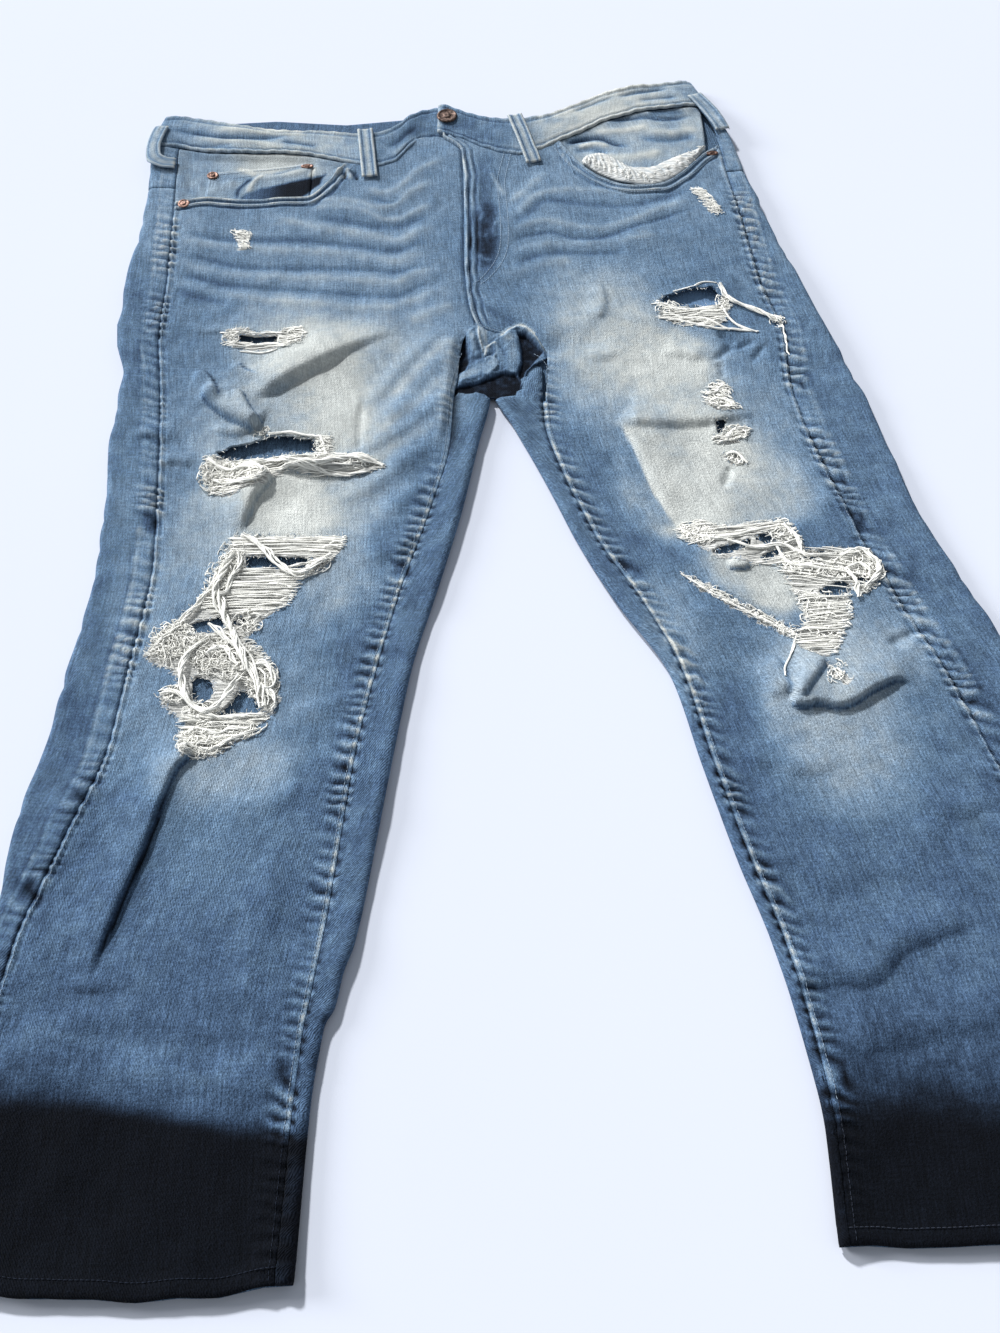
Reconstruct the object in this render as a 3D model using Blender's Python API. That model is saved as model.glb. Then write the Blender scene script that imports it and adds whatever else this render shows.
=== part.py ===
"""Ripped jeans laid flat on a surface, front up, waist toward +Y, hems toward -Y.

Every cut piece of cloth is its own closed wall. Right and left are the wearer's.
Z is the height above the surface the jeans lie on. All lengths are metres.
"""

import math
from collections import namedtuple

import bmesh
import bpy

# ---------------------------------------------------------------- driving dimensions
DENIM = 0.0015           # wall of one layer of denim
BAND = 0.0026            # wall of the folded waistband
THIN = 0.0010            # pocketing, fly and zip tape
HEM_EXTRA = 0.0010       # a turned hem is this much thicker, on its inside
HEM_DEPTH = 0.012        # height of the turned hem
GAP = 0.0003             # clearance between sewn pieces
LAYER = 0.0019           # one layer of cloth stepping under another
CROTCH_DROP = 0.0034     # how far the back's inner edge tucks under the front at the crotch

FLOOR_MID = DENIM / 2    # middle of the cloth that lies on the surface
SEAT_LIFT = 0.0016       # the seat lies on the back pockets
WAIST_LIFT = 0.0006      # the waistband lies on its back belt loop

HEM_RIGHT_Y = -0.470     # where each leg ends
HEM_LEFT_Y = -0.447
GAP_TOP_Y = 0.111        # top of the gap between the legs
CROTCH_Y = 0.162         # where inseams and centre seam meet on the front
FAN_Y = 0.178            # above it the back panels are flat to the centre back
BLEND_Y = 0.250          # above it rows turn to follow the yoke and waist seams
FLY_LAP = 0.010          # how far the right front runs under the left front

FLY_SEAM_TOP_Y = 0.392   # where the fly edge meets the waist seam
BAND_OVERLAP = 0.0031    # how far the right band drops under the left at the button

LOOP_WIDTH = 0.013       # belt loops
LOOP_WALL = 0.0014
LOOP_LIFT = 0.0006       # clearance of a loop above the band and its seam
BACK_LOOP_WALL = 0.0012  # the centre back loop, pressed flat under the band
BACK_LOOP_LOW_Y = 0.382
BACK_LOOP_HIGH_Y = 0.438

RIVET_RADIUS = 0.0048
RIVET_HEIGHT = 0.0012
RIVET_SEGMENTS = 12
BUTTON_RADIUS = 0.0085
BUTTON_HEIGHT = 0.0022
BUTTON_SEGMENTS = 16
BUTTON_X = -0.074
BUTTON_Y = 0.420
SHANK_RADIUS = 0.0013
SHANK_SEGMENTS = 8
SMOOTH_ANGLE = 40        # degrees, on turned metal

FACING_DEPTH = 0.020     # how far a pocket facing reaches below its opening
BAG_BOTTOM_Y = 0.190
SLIDER_WALL = 0.0018
SLIDER_WIDTH = 0.007

LEG_ROWS = 13            # the facets of the walls
SCOOP_ROWS = 4
POCKET_ROWS = 3
BAG_ROWS = 5
BAG_COLUMNS = 4
LOOP_ROWS = 6
BOTTOM_COLUMNS = 3
ROLL_COLUMNS = 4
STRIP_COLUMNS = 2
SEAT_COLUMNS = 2 * STRIP_COLUMNS + 2 * ROLL_COLUMNS + BOTTOM_COLUMNS
LOW_CUTTER = -0.01       # cutters reach well through the front layer
HIGH_CUTTER = 0.04

# ---------------------------------------------------------------- short tables
Side = namedtuple("Side", "y outer outseam")
Inner = namedtuple("Inner", "y inseam inner")
Line = namedtuple("Line", "y x")
Waist = namedtuple("Waist", "x seam top")
Height = namedtuple("Height", "y z")
Fold = namedtuple("Fold", "x0 y0 x1 y1 width height")
Rip = namedtuple("Rip", "panel x y length width angle")
Loop = namedtuple("Loop", "name side x y lean length")
Rivet = namedtuple("Rivet", "name side x y lift")
FlyPiece = namedtuple("FlyPiece", "name start end low high drop material")
Pocket = namedtuple("Pocket", "low_x high_x edge_x bag_low_x bag_high_x bag_top_y drop")
BackPocket = namedtuple("BackPocket", "x tilt")
Spot = namedtuple("Spot", "point out")

# side fold of the garment and the outseam, which lies inboard on the front
RIGHT_SIDE = (
    Side(-0.470, -0.305, -0.298),
    Side(-0.414, -0.308, -0.301),
    Side(-0.354, -0.311, -0.303),
    Side(-0.294, -0.314, -0.299),
    Side(-0.234, -0.314, -0.283),
    Side(-0.174, -0.306, -0.267),
    Side(-0.114, -0.301, -0.263),
    Side(-0.054, -0.297, -0.259),
    Side(0.006, -0.299, -0.263),
    Side(0.066, -0.305, -0.269),
    Side(0.126, -0.305, -0.277),
    Side(0.166, -0.315, -0.283),
    Side(0.226, -0.317, -0.285),
    Side(0.286, -0.315, -0.289),
    Side(0.346, -0.317, -0.294),
    Side(0.386, -0.320, -0.297),
    Side(0.430, -0.313, -0.291),
)
LEFT_SIDE = (
    Side(-0.447, 0.320, 0.312),
    Side(-0.394, 0.321, 0.312),
    Side(-0.344, 0.321, 0.308),
    Side(-0.294, 0.320, 0.300),
    Side(-0.244, 0.317, 0.289),
    Side(-0.184, 0.311, 0.272),
    Side(-0.124, 0.301, 0.254),
    Side(-0.064, 0.281, 0.231),
    Side(-0.014, 0.262, 0.214),
    Side(0.036, 0.250, 0.200),
    Side(0.086, 0.241, 0.188),
    Side(0.126, 0.230, 0.183),
    Side(0.166, 0.219, 0.183),
    Side(0.226, 0.203, 0.171),
    Side(0.286, 0.187, 0.1645),
    Side(0.346, 0.174, 0.158),
    Side(0.406, 0.163, 0.1515),
    Side(0.476, 0.135, 0.122),
)

# inseam on the front of each leg and the leg's inner fold
RIGHT_INNER = (
    Inner(-0.470, -0.138, -0.128),
    Inner(-0.414, -0.138, -0.126),
    Inner(-0.354, -0.133, -0.124),
    Inner(-0.294, -0.128, -0.110),
    Inner(-0.234, -0.122, -0.101),
    Inner(-0.174, -0.116, -0.093),
    Inner(-0.114, -0.106, -0.084),
    Inner(-0.054, -0.093, -0.069),
    Inner(0.006, -0.077, -0.055),
    Inner(0.066, -0.064, -0.044),
    Inner(0.111, -0.062, -0.036),
    Inner(0.136, -0.058, -0.036),
    Inner(0.162, -0.050, -0.037),
)
LEFT_INNER = (
    Inner(-0.447, 0.143, 0.138),
    Inner(-0.394, 0.144, 0.139),
    Inner(-0.344, 0.139, 0.133),
    Inner(-0.294, 0.130, 0.123),
    Inner(-0.244, 0.115, 0.108),
    Inner(-0.184, 0.100, 0.093),
    Inner(-0.124, 0.087, 0.079),
    Inner(-0.064, 0.062, 0.045),
    Inner(-0.014, 0.035, 0.021),
    Inner(0.036, 0.016, 0.001),
    Inner(0.086, 0.003, -0.021),
    Inner(0.111, 0.002, -0.033),
    Inner(0.136, 0.002, -0.035),
    Inner(0.162, -0.020, -0.036),
)

# edge of the left front, which laps over the right front at the fly and below it
FLY_EDGE = (
    Line(0.162, -0.037),
    Line(0.183, -0.048),
    Line(0.202, -0.053),
    Line(0.252, -0.057),
    Line(0.314, -0.058),
    Line(0.376, -0.061),
    Line(0.396, -0.077),
)
CENTRE_BACK = (
    Line(0.162, -0.036),
    Line(0.250, -0.050),
    Line(0.360, -0.070),
    Line(0.440, -0.080),
)

# the waist seam across the front, with the top edge of the front waistband
RIGHT_WAIST = (
    Waist(-0.297, 0.382, 0.423),
    Waist(-0.272, 0.374, 0.416),
    Waist(-0.246, 0.373, 0.408),
    Waist(-0.217, 0.374, 0.402),
    Waist(-0.186, 0.371, 0.402),
    Waist(-0.157, 0.362, 0.398),
    Waist(-0.141, 0.357, 0.397),
    Waist(-0.126, 0.355, 0.402),
    Waist(-0.115, 0.360, 0.411),
    Waist(-0.106, 0.378, 0.424),
    Waist(-0.096, 0.393, 0.434),
    Waist(-0.084, 0.396, 0.438),
    Waist(-0.072, 0.392, 0.436),
    Waist(-0.052, 0.386, 0.428),
)
LEFT_WAIST = (
    Waist(-0.082, 0.402, 0.443),
    Waist(-0.073, 0.399, 0.436),
    Waist(-0.058, 0.391, 0.427),
    Waist(-0.044, 0.381, 0.421),
    Waist(-0.029, 0.374, 0.418),
    Waist(-0.013, 0.371, 0.418),
    Waist(0.007, 0.381, 0.424),
    Waist(0.021, 0.391, 0.431),
    Waist(0.037, 0.401, 0.440),
    Waist(0.057, 0.415, 0.451),
    Waist(0.086, 0.427, 0.461),
    Waist(0.112, 0.432, 0.466),
    Waist(0.133, 0.437, 0.470),
)
# the waist seam across the back, which lies underneath
BACK_WAIST = (
    Waist(-0.320, 0.384, 0.430),
    Waist(-0.267, 0.374, 0.420),
    Waist(-0.220, 0.376, 0.424),
    Waist(-0.160, 0.373, 0.419),
    Waist(-0.110, 0.376, 0.426),
    Waist(-0.080, 0.392, 0.440),
    Waist(-0.052, 0.389, 0.429),
    Waist(-0.030, 0.383, 0.424),
    Waist(0.010, 0.392, 0.432),
    Waist(0.060, 0.412, 0.452),
    Waist(0.110, 0.428, 0.466),
    Waist(0.150, 0.436, 0.476),
)

# the scooped front pocket openings, from the side to the waist seam
RIGHT_SCOOP = (
    Line(0.313, -0.290),
    Line(0.318, -0.264),
    Line(0.316, -0.236),
    Line(0.317, -0.208),
    Line(0.319, -0.186),
    Line(0.337, -0.170),
    Line(0.362, -0.157),
)
LEFT_SCOOP = (
    Line(0.391, 0.021),
    Line(0.362, 0.037),
    Line(0.344, 0.054),
    Line(0.332, 0.080),
    Line(0.334, 0.101),
    Line(0.351, 0.121),
    Line(0.374, 0.140),
    Line(0.384, 0.152),
)

# how high the front layer lies along the garment
CROWN = (
    Height(-0.470, 0.0052),
    Height(-0.440, 0.0048),
    Height(-0.300, 0.0042),
    Height(0.000, 0.0044),
    Height(0.110, 0.0062),
    Height(0.200, 0.0088),
    Height(0.300, 0.0100),
    Height(0.400, 0.0093),
    Height(0.470, 0.0092),
)
EDGE_RISE = 0.0024       # the folded edges stand higher than the middle of a leg
EDGE_REACH = 0.016

# the largest folds of the front layer, as ridges between two points
FOLDS = (
    Fold(-0.105, 0.166, -0.205, 0.100, 0.012, 0.0075),
    Fold(-0.190, 0.070, -0.112, 0.043, 0.009, 0.0050),
    Fold(-0.232, -0.185, -0.260, -0.320, 0.010, 0.0045),
    Fold(-0.208, -0.190, -0.236, -0.310, 0.009, 0.0035),
    Fold(0.172, -0.108, 0.148, -0.150, 0.011, 0.0050),
    Fold(0.150, -0.158, 0.226, -0.136, 0.009, 0.0030),
    Fold(0.128, -0.330, 0.262, -0.288, 0.011, 0.0035),
    Fold(-0.055, 0.164, 0.000, 0.148, 0.013, 0.0060),
    Fold(0.002, 0.150, 0.003, 0.085, 0.010, 0.0050),
    Fold(-0.052, 0.150, -0.070, 0.030, 0.009, 0.0030),
    Fold(-0.290, 0.110, -0.268, 0.050, 0.012, 0.0035),
    Fold(0.205, 0.060, 0.262, -0.080, 0.014, 0.0030),
)

RIPS = (
    Rip("right", -0.210, 0.160, 0.030, 0.008, 3),
    Rip("right", -0.190, 0.058, 0.064, 0.016, 8),
    Rip("right", -0.177, -0.038, 0.042, 0.009, -8),
    Rip("right", -0.217, -0.087, 0.034, 0.010, -14),
    Rip("right", -0.189, -0.145, 0.024, 0.016, 4),
    Rip("left", 0.116, 0.203, 0.046, 0.018, 8),
    Rip("left", 0.122, -0.025, 0.022, 0.009, -14),
    Rip("left", 0.181, -0.032, 0.018, 0.007, -10),
    Rip("left", 0.190, -0.058, 0.024, 0.010, -12),
)

# belt loops that show; lean is radians from upright
LOOPS = (
    Loop("front_right", "right", -0.139, 0.370, 0.12, 0.060),
    Loop("front_left", "left", -0.009, 0.391, 0.26, 0.062),
    Loop("side_right", "right", -0.3050, 0.388, -0.02, 0.058),
    Loop("side_left", "left", 0.1440, 0.428, 0.42, 0.058),
)

# lift is from the middle of the front layer to the rivet's underside
RIVETS = (
    Rivet("rivet_pocket_right", "right", -0.283, 0.310, DENIM / 2 + GAP),
    Rivet("rivet_coin_outer", "right", -0.264, 0.3435, THIN / 2 + GAP - LAYER),
    Rivet("rivet_coin_inner", "right", -0.1895, 0.357, THIN / 2 + GAP - LAYER),
    Rivet("rivet_pocket_left", "left", 0.147, 0.374, DENIM / 2 + GAP),
)

# start and end are measured from the fly edge, drop from the front layer
FLY_PIECES = (
    FlyPiece("fly_facing", 0.0125, 0.040, 0.248, 0.368, 0.0017, "denim"),
    FlyPiece("zip_tape", 0.002, 0.026, 0.256, 0.368, 0.0036, "zip_tape"),
    FlyPiece("fly_shield", -0.006, 0.042, 0.250, 0.374, 0.0050, "denim"),
)
SLIDER = FlyPiece("zip_slider", 0.0105, 0.0175, 0.3685, 0.3765, 0.0034, "brass")

# front pockets: where the facing starts and ends, and the bag that hangs from it
POCKETS = {
    "right": Pocket(-0.297, -0.141, -0.141, -0.276, -0.120, 0.300, LAYER + 0.0013),
    "left": Pocket(0.007, 0.112, 0.143, -0.004, 0.150, 0.315, LAYER),
}
COIN_POCKET = ((-0.268, 0.304), (-0.184, 0.364))
COIN_SLANT = 0.17

# back pockets, a five-sided patch given from its own centre line
BACK_POCKETS = {"right": BackPocket(-0.180, -0.06), "left": BackPocket(0.060, 0.06)}
BACK_POCKET_OUTLINE = (
    Line(0.300, -0.072),
    Line(0.180, -0.066),
    Line(0.158, 0.000),
    Line(0.180, 0.066),
    Line(0.300, 0.072),
)
BACK_POCKET_MID_Y = 0.240

# outline of a hole as shares of its length and width
RIP_OUTLINE = (
    (-0.50, 0.0),
    (-0.25, -0.42),
    (0.05, -0.50),
    (0.30, -0.36),
    (0.50, 0.0),
    (0.25, 0.40),
    (-0.05, 0.50),
    (-0.30, 0.34),
)

# name, colour, roughness, metallic
MATERIALS = {
    "denim": ((0.16, 0.26, 0.40), 0.85, 0.0),
    "pocketing": ((0.70, 0.70, 0.66), 0.90, 0.0),
    "zip_tape": ((0.05, 0.07, 0.12), 0.80, 0.0),
    "copper": ((0.55, 0.30, 0.18), 0.40, 1.0),
    "brass": ((0.45, 0.33, 0.20), 0.42, 1.0),
}


# ---------------------------------------------------------------- numbers from the tables
def smoothstep(low, high, value):
    t = min(max((value - low) / (high - low), 0.0), 1.0)
    return t * t * (3 - 2 * t)


def mix(a, b, t):
    return a + (b - a) * t


def steps(low, high, count):
    return [mix(low, high, k / count) for k in range(count + 1)]


def columns_of(table, key, column):
    rows = sorted(table, key=lambda row: getattr(row, key))
    return [getattr(row, key) for row in rows], [getattr(row, column) for row in rows]


def read_straight(table, key, column, value):
    """A column of a table at a value of its key, on straight lines."""
    keys, data = columns_of(table, key, column)
    value = min(max(value, keys[0]), keys[-1])
    i = max(k for k in range(len(keys) - 1) if keys[k] <= value)
    return mix(data[i], data[i + 1], (value - keys[i]) / (keys[i + 1] - keys[i]))


def read(table, key, column, value):
    """A column of a table at a value of its key, on a smooth curve with no overshoot."""
    keys, data = columns_of(table, key, column)
    value = min(max(value, keys[0]), keys[-1])
    i = max(k for k in range(len(keys) - 1) if keys[k] <= value)
    span = keys[i + 1] - keys[i]
    rise = data[i + 1] - data[i]
    t = (value - keys[i]) / span

    def slope(k):
        if k == 0 or k == len(keys) - 1:
            return rise / span
        before = (data[k] - data[k - 1]) / (keys[k] - keys[k - 1])
        after = (data[k + 1] - data[k]) / (keys[k + 1] - keys[k])
        return 0.0 if before * after <= 0 else 2 * before * after / (before + after)

    a = slope(i) * span
    b = slope(i + 1) * span
    return data[i] + a * t + (3 * rise - 2 * a - b) * t ** 2 + (a + b - 2 * rise) * t ** 3


def fold_height(x, y):
    """Height that the ridges in FOLDS add at a point."""
    total = 0.0
    for fold in FOLDS:
        dx = fold.x1 - fold.x0
        dy = fold.y1 - fold.y0
        length = math.hypot(dx, dy)
        along = ((x - fold.x0) * dx + (y - fold.y0) * dy) / length
        across = ((x - fold.x0) * dy - (y - fold.y0) * dx) / length
        beyond = max(-along, along - length, 0.0)
        away = math.hypot(across, beyond)
        total += fold.height * math.exp(-((away / fold.width) ** 2))
    return total


# ---------------------------------------------------------------- the shape of the garment
SIDES = {"right": RIGHT_SIDE, "left": LEFT_SIDE}
INNERS = {"right": RIGHT_INNER, "left": LEFT_INNER}
WAISTS = {"right": RIGHT_WAIST, "left": LEFT_WAIST}
SCOOPS = {"right": RIGHT_SCOOP, "left": LEFT_SCOOP}
HEMS = {"right": HEM_RIGHT_Y, "left": HEM_LEFT_Y}
OUTWARD = {"right": -1.0, "left": 1.0}
YOKE_SIDE_Y = {"right": 0.330, "left": 0.352}
YOKE_BACK_Y = 0.292
UP = (0.0, 0.0, 1.0)
DOWN = (0.0, 0.0, -1.0)


def side_x(side, column, y):
    return read(SIDES[side], "y", column, y)


def inner_x(side, column, y):
    return read(INNERS[side], "y", column, y)


def top_height(side, x, y):
    """Middle of the front layer of cloth above the surface."""
    edge = abs(x - side_x(side, "outer", y))
    if y < GAP_TOP_Y:
        edge = min(edge, abs(x - inner_x(side, "inner", y)))
    fade = 1 - smoothstep(0.150, 0.300, y)
    rise = EDGE_RISE * fade * math.exp(-((edge / EDGE_REACH) ** 2))
    return read(CROWN, "y", "z", y) + rise + fold_height(x, y)


def floor_height(y):
    """Middle of the layer of cloth that lies on the surface."""
    lift = SEAT_LIFT * smoothstep(0.100, 0.165, y) + WAIST_LIFT * smoothstep(0.330, 0.370, y)
    return FLOOR_MID + lift


def hem_shift(side, x, y):
    """How far the hem's bow or tilt moves a point near it."""
    near = 1 - smoothstep(HEMS[side], HEMS[side] + 0.070, y)
    if side == "right":
        return 0.008 * near * ((x + 0.216) / 0.088) ** 2
    return 0.030 * near * (x - 0.140)


def leg_rows(side):
    """The heights at which a leg is cut into rows, shared by its front and back."""
    hem = HEMS[side]
    turned = [hem, hem + HEM_DEPTH, hem + HEM_DEPTH + 0.0015]
    return turned + steps(hem + 0.040, GAP_TOP_Y, LEG_ROWS) + [0.128, 0.144, 0.158]


def hem_extra(side, y):
    return HEM_EXTRA if y < HEMS[side] + HEM_DEPTH + 0.0005 else 0.0


# ---------------------------------------------------------------- walls of cloth


def new_object(name, bm, material):
    """Close a bmesh into an object of its own, faces pointing out."""
    bmesh.ops.triangulate(bm, faces=bm.faces[:])
    bmesh.ops.recalc_face_normals(bm, faces=bm.faces[:])
    mesh = bpy.data.meshes.new(name)
    bm.to_mesh(mesh)
    bm.free()
    mesh.materials.append(bpy.data.materials[material])
    obj = bpy.data.objects.new(name, mesh)
    bpy.context.scene.collection.objects.link(obj)
    return obj


def wall(name, rows, thickness, material, extras=None):
    """A closed wall round a grid of spots. extras thickens a row on its inside."""
    bm = bmesh.new()
    outer = []
    inner = []
    for k, row in enumerate(rows):
        outside = thickness / 2
        inside = -thickness / 2 - (extras[k] if extras else 0.0)
        for skin, reach in ((outer, outside), (inner, inside)):
            line = []
            for spot in row:
                line.append(bm.verts.new([p + reach * n for p, n in zip(spot.point, spot.out)]))
            skin.append(line)
    last_row = len(rows) - 1
    last_column = len(rows[0]) - 1
    for i in range(last_row):
        for j in range(last_column):
            for skin in (outer, inner):
                bm.faces.new((skin[i][j], skin[i][j + 1], skin[i + 1][j + 1], skin[i + 1][j]))
        for j in (0, last_column):
            bm.faces.new((outer[i][j], outer[i + 1][j], inner[i + 1][j], inner[i][j]))
    for j in range(last_column):
        for i in (0, last_row):
            bm.faces.new((outer[i][j], outer[i][j + 1], inner[i][j + 1], inner[i][j]))
    return new_object(name, bm, material)


def prism(bm, outline, low, high):
    """A closed upright prism in bm over an outline of (x, y) points."""
    rings = [[bm.verts.new((x, y, z)) for x, y in outline] for z in (low, high)]
    bm.faces.new(rings[0])
    bm.faces.new(rings[1])
    for k in range(len(outline)):
        n = (k + 1) % len(outline)
        bm.faces.new((rings[0][k], rings[0][n], rings[1][n], rings[1][k]))


def cut_prism(obj, name, outline):
    """Take an upright prism out of a piece."""
    bm = bmesh.new()
    prism(bm, outline, LOW_CUTTER, HIGH_CUTTER)
    cutter = new_object(name, bm, "denim")
    cutter.hide_render = True
    cutter.display_type = "WIRE"
    cut = obj.modifiers.new(name, "BOOLEAN")
    cut.operation = "DIFFERENCE"
    cut.solver = "EXACT"
    cut.object = cutter


def circle(x, y, radius, segments):
    angles = [2 * math.pi * k / segments for k in range(segments)]
    return [(x + radius * math.cos(angle), y + radius * math.sin(angle)) for angle in angles]


# ---------------------------------------------------------------- back of the garment
def roll(edge, sense, high, low, y):
    """Half round from the front layer down to the back layer at a folded edge."""
    half = (high - low) / 2
    bulge = half * 1.15
    centre = edge - sense * (bulge + DENIM / 2)
    spots = []
    for k in range(ROLL_COLUMNS + 1):
        angle = math.pi / 2 - math.pi * k / ROLL_COLUMNS
        x = centre + sense * bulge * math.cos(angle)
        z = low + half + half * math.sin(angle)
        spots.append(Spot((x, y, z), (sense * math.cos(angle), 0.0, math.sin(angle))))
    return spots


def strip(side, x0, x1, y, drop):
    """The part of a back panel that is folded over onto the front, without its roll."""
    return [Spot((x, y, top_height(side, x, y) - drop), UP) for x in steps(x0, x1, STRIP_COLUMNS)]


def outer_part(side, y):
    """From the outseam over the side fold to the back layer."""
    sense = OUTWARD[side]
    edge = side_x(side, "outer", y)
    curve = roll(edge, sense, top_height(side, edge, y), floor_height(y), y)
    seam = side_x(side, "outseam", y) + sense * GAP / 2
    return strip(side, seam, curve[0].point[0], y, 0.0)[:-1] + curve


def inner_part(side, y):
    """From the back layer over a leg's inner fold to the inseam."""
    sense = -OUTWARD[side]
    edge = inner_x(side, "inner", y)
    drop = CROTCH_DROP * smoothstep(0.122, 0.152, y)
    curve = roll(edge, sense, top_height(side, edge, y) - drop, floor_height(y), y)[::-1]
    seam = inner_x(side, "inseam", y) + sense * GAP / 2
    return curve + strip(side, curve[-1].point[0], seam, y, drop)[1:]


def leg_section(side, y):
    """A row of a back panel round a leg, from the outseam to the inseam."""
    start = outer_part(side, y)
    end = inner_part(side, y)
    flat = steps(start[-1].point[0], end[0].point[0], BOTTOM_COLUMNS)[1:-1]
    return start + [Spot((x, y, floor_height(y)), DOWN) for x in flat] + end


def seat_section(side, y):
    """A row of the seat, from the outseam under to the centre back."""
    start = outer_part(side, y)
    end = read(CENTRE_BACK, "y", "x", y) + OUTWARD[side] * GAP / 2
    count = BOTTOM_COLUMNS + ROLL_COLUMNS + STRIP_COLUMNS
    flat = steps(start[-1].point[0], end, count)[1:]
    return start + [Spot((x, y, floor_height(y)), DOWN) for x in flat]


def seat_row(side, height_of):
    """A row of the seat that slants: height_of gives its y at each column."""
    row = []
    for column in range(SEAT_COLUMNS + 1):
        row.append(seat_section(side, height_of(column))[column])
    return row


def yoke_seam(side, column):
    """The yoke seam, high at the side and low at the centre back."""
    first = STRIP_COLUMNS + ROLL_COLUMNS
    return mix(YOKE_SIDE_Y[side], YOKE_BACK_Y, smoothstep(first, SEAT_COLUMNS, column))


def waist_line(side, column, edge):
    """The waist seam, or the waistband's top edge, over the side and across the back."""
    table = WAISTS[side]
    row = table[0] if side == "right" else table[-1]
    front = getattr(row, edge)
    x = seat_section(side, front)[column].point[0]
    back = read_straight(BACK_WAIST, "x", edge, x)
    return mix(front, back, smoothstep(STRIP_COLUMNS, STRIP_COLUMNS + ROLL_COLUMNS, column))


def build_back_panel(side):
    rows = []
    extras = []
    for y in leg_rows(side):
        row = []
        for spot in leg_section(side, y):
            x, _, z = spot.point
            row.append(Spot((x, y + hem_shift(side, x, y), z), spot.out))
        rows.append(row)
        extras.append(hem_extra(side, y))
    for y in (FAN_Y, 0.205, BLEND_Y):
        rows.append(seat_section(side, y))
    for share in (0.5, 1.0):
        rows.append(seat_row(side, lambda c: mix(BLEND_Y, yoke_seam(side, c) - GAP / 2, share)))
    extras += [0.0] * (len(rows) - len(extras))
    wall("back_panel_" + side, rows, DENIM, "denim", extras)


def build_yoke(side):
    rows = []
    for share in (0.0, 0.5, 1.0):
        rows.append(seat_row(side, lambda c: mix(
            yoke_seam(side, c) + GAP / 2, waist_line(side, c, "seam") - GAP / 2, share)))
    wall("back_yoke_" + side, rows, DENIM, "denim")


def build_back_pocket(side):
    """A five-sided patch pocket, under the seat when the jeans lie front up."""
    place = BACK_POCKETS[side]
    outline = []
    for y, x in BACK_POCKET_OUTLINE:
        across = place.x + x + place.tilt * (y - BACK_POCKET_MID_Y)
        outline.append((across, y - place.tilt * x))
    bm = bmesh.new()
    prism(bm, outline, 0.0, FLOOR_MID + SEAT_LIFT - DENIM / 2 - GAP)
    new_object("back_pocket_" + side, bm, "denim")


# ---------------------------------------------------------------- front of the garment
def front_edge(side, y):
    """Inner edge of a front panel: its inseam, then the centre front."""
    if y <= CROTCH_Y:
        return inner_x(side, "inseam", y) + OUTWARD[side] * GAP / 2
    lap = FLY_LAP if side == "right" else 0.0
    start = inner_x(side, "inseam", CROTCH_Y)
    edge = read(FLY_EDGE, "y", "x", y) + lap
    return mix(start, edge, smoothstep(CROTCH_Y, FAN_Y, y))


def front_top(side):
    """Top edge of a front panel, from the outseam to the fly, as (x, y) points."""
    scoop = [(row.x, row.y) for row in SCOOPS[side]]
    fly = read(FLY_EDGE, "y", "x", FLY_SEAM_TOP_Y)
    if side == "right":
        inner_xs = [row.x for row in WAISTS[side] if scoop[-1][0] + 0.004 < row.x < fly - 0.006]
        inner_xs += [fly - 0.002, fly + FLY_LAP]
    else:
        scoop = scoop[::-1]
        inner_xs = [row.x for row in WAISTS[side] if fly < row.x < scoop[-1][0] - 0.004]
        inner_xs = inner_xs[::-1] + [fly]
    seam = [(x, read_straight(WAISTS[side], "x", "seam", x)) for x in inner_xs]
    if side == "right":
        seam[-2:] = [(x, y - 0.002) for x, y in seam[-2:]]
    return scoop + seam


def front_fraction(side, top, j, y):
    """Where column j of a front panel stands between its outseam and inner edge."""
    even = j / (len(top) - 1)
    wide = (top[j][0] - top[0][0]) / (top[-1][0] - top[0][0])
    return mix(even, wide, smoothstep(0.0, BLEND_Y, y))


def front_spot(side, top, j, y, share):
    """A spot of a front panel. share runs from 0 at BLEND_Y to 1 at its top edge."""
    outer = side_x(side, "outseam", y) - OUTWARD[side] * GAP / 2
    inner = front_edge(side, y)
    last = len(top) - 1
    x = mix(outer, inner, front_fraction(side, top, j, y))
    lapped = smoothstep(CROTCH_Y, FAN_Y, y) if side == "right" else 0.0
    if j == last - 1:
        x = mix(x, inner - FLY_LAP - 0.002, lapped)
    if 0 < j < last - 1:
        goal = mix(side_x(side, "outseam", top[j][1]), front_edge(side, top[j][1]),
                   front_fraction(side, top, j, top[j][1]))
        x += share * (top[j][0] - goal)
    under = LAYER * lapped if j >= last - 1 else 0.0
    z = top_height(side, x, y) - under
    return Spot((x, y + hem_shift(side, x, y), z), UP)


def build_front_panel(side):
    top = front_top(side)
    rows = []
    extras = []
    for y in leg_rows(side) + [FAN_Y, 0.205, BLEND_Y]:
        rows.append([front_spot(side, top, j, y, 0.0) for j in range(len(top))])
        extras.append(hem_extra(side, y))
    for k in range(1, SCOOP_ROWS + 1):
        share = k / SCOOP_ROWS
        row = []
        for j, (_, high) in enumerate(top):
            row.append(front_spot(side, top, j, mix(BLEND_Y, high - GAP / 2, share), share))
        rows.append(row)
        extras.append(0.0)
    panel = wall("front_panel_" + side, rows, DENIM, "denim", extras)
    cut_rips(panel, side)


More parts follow.
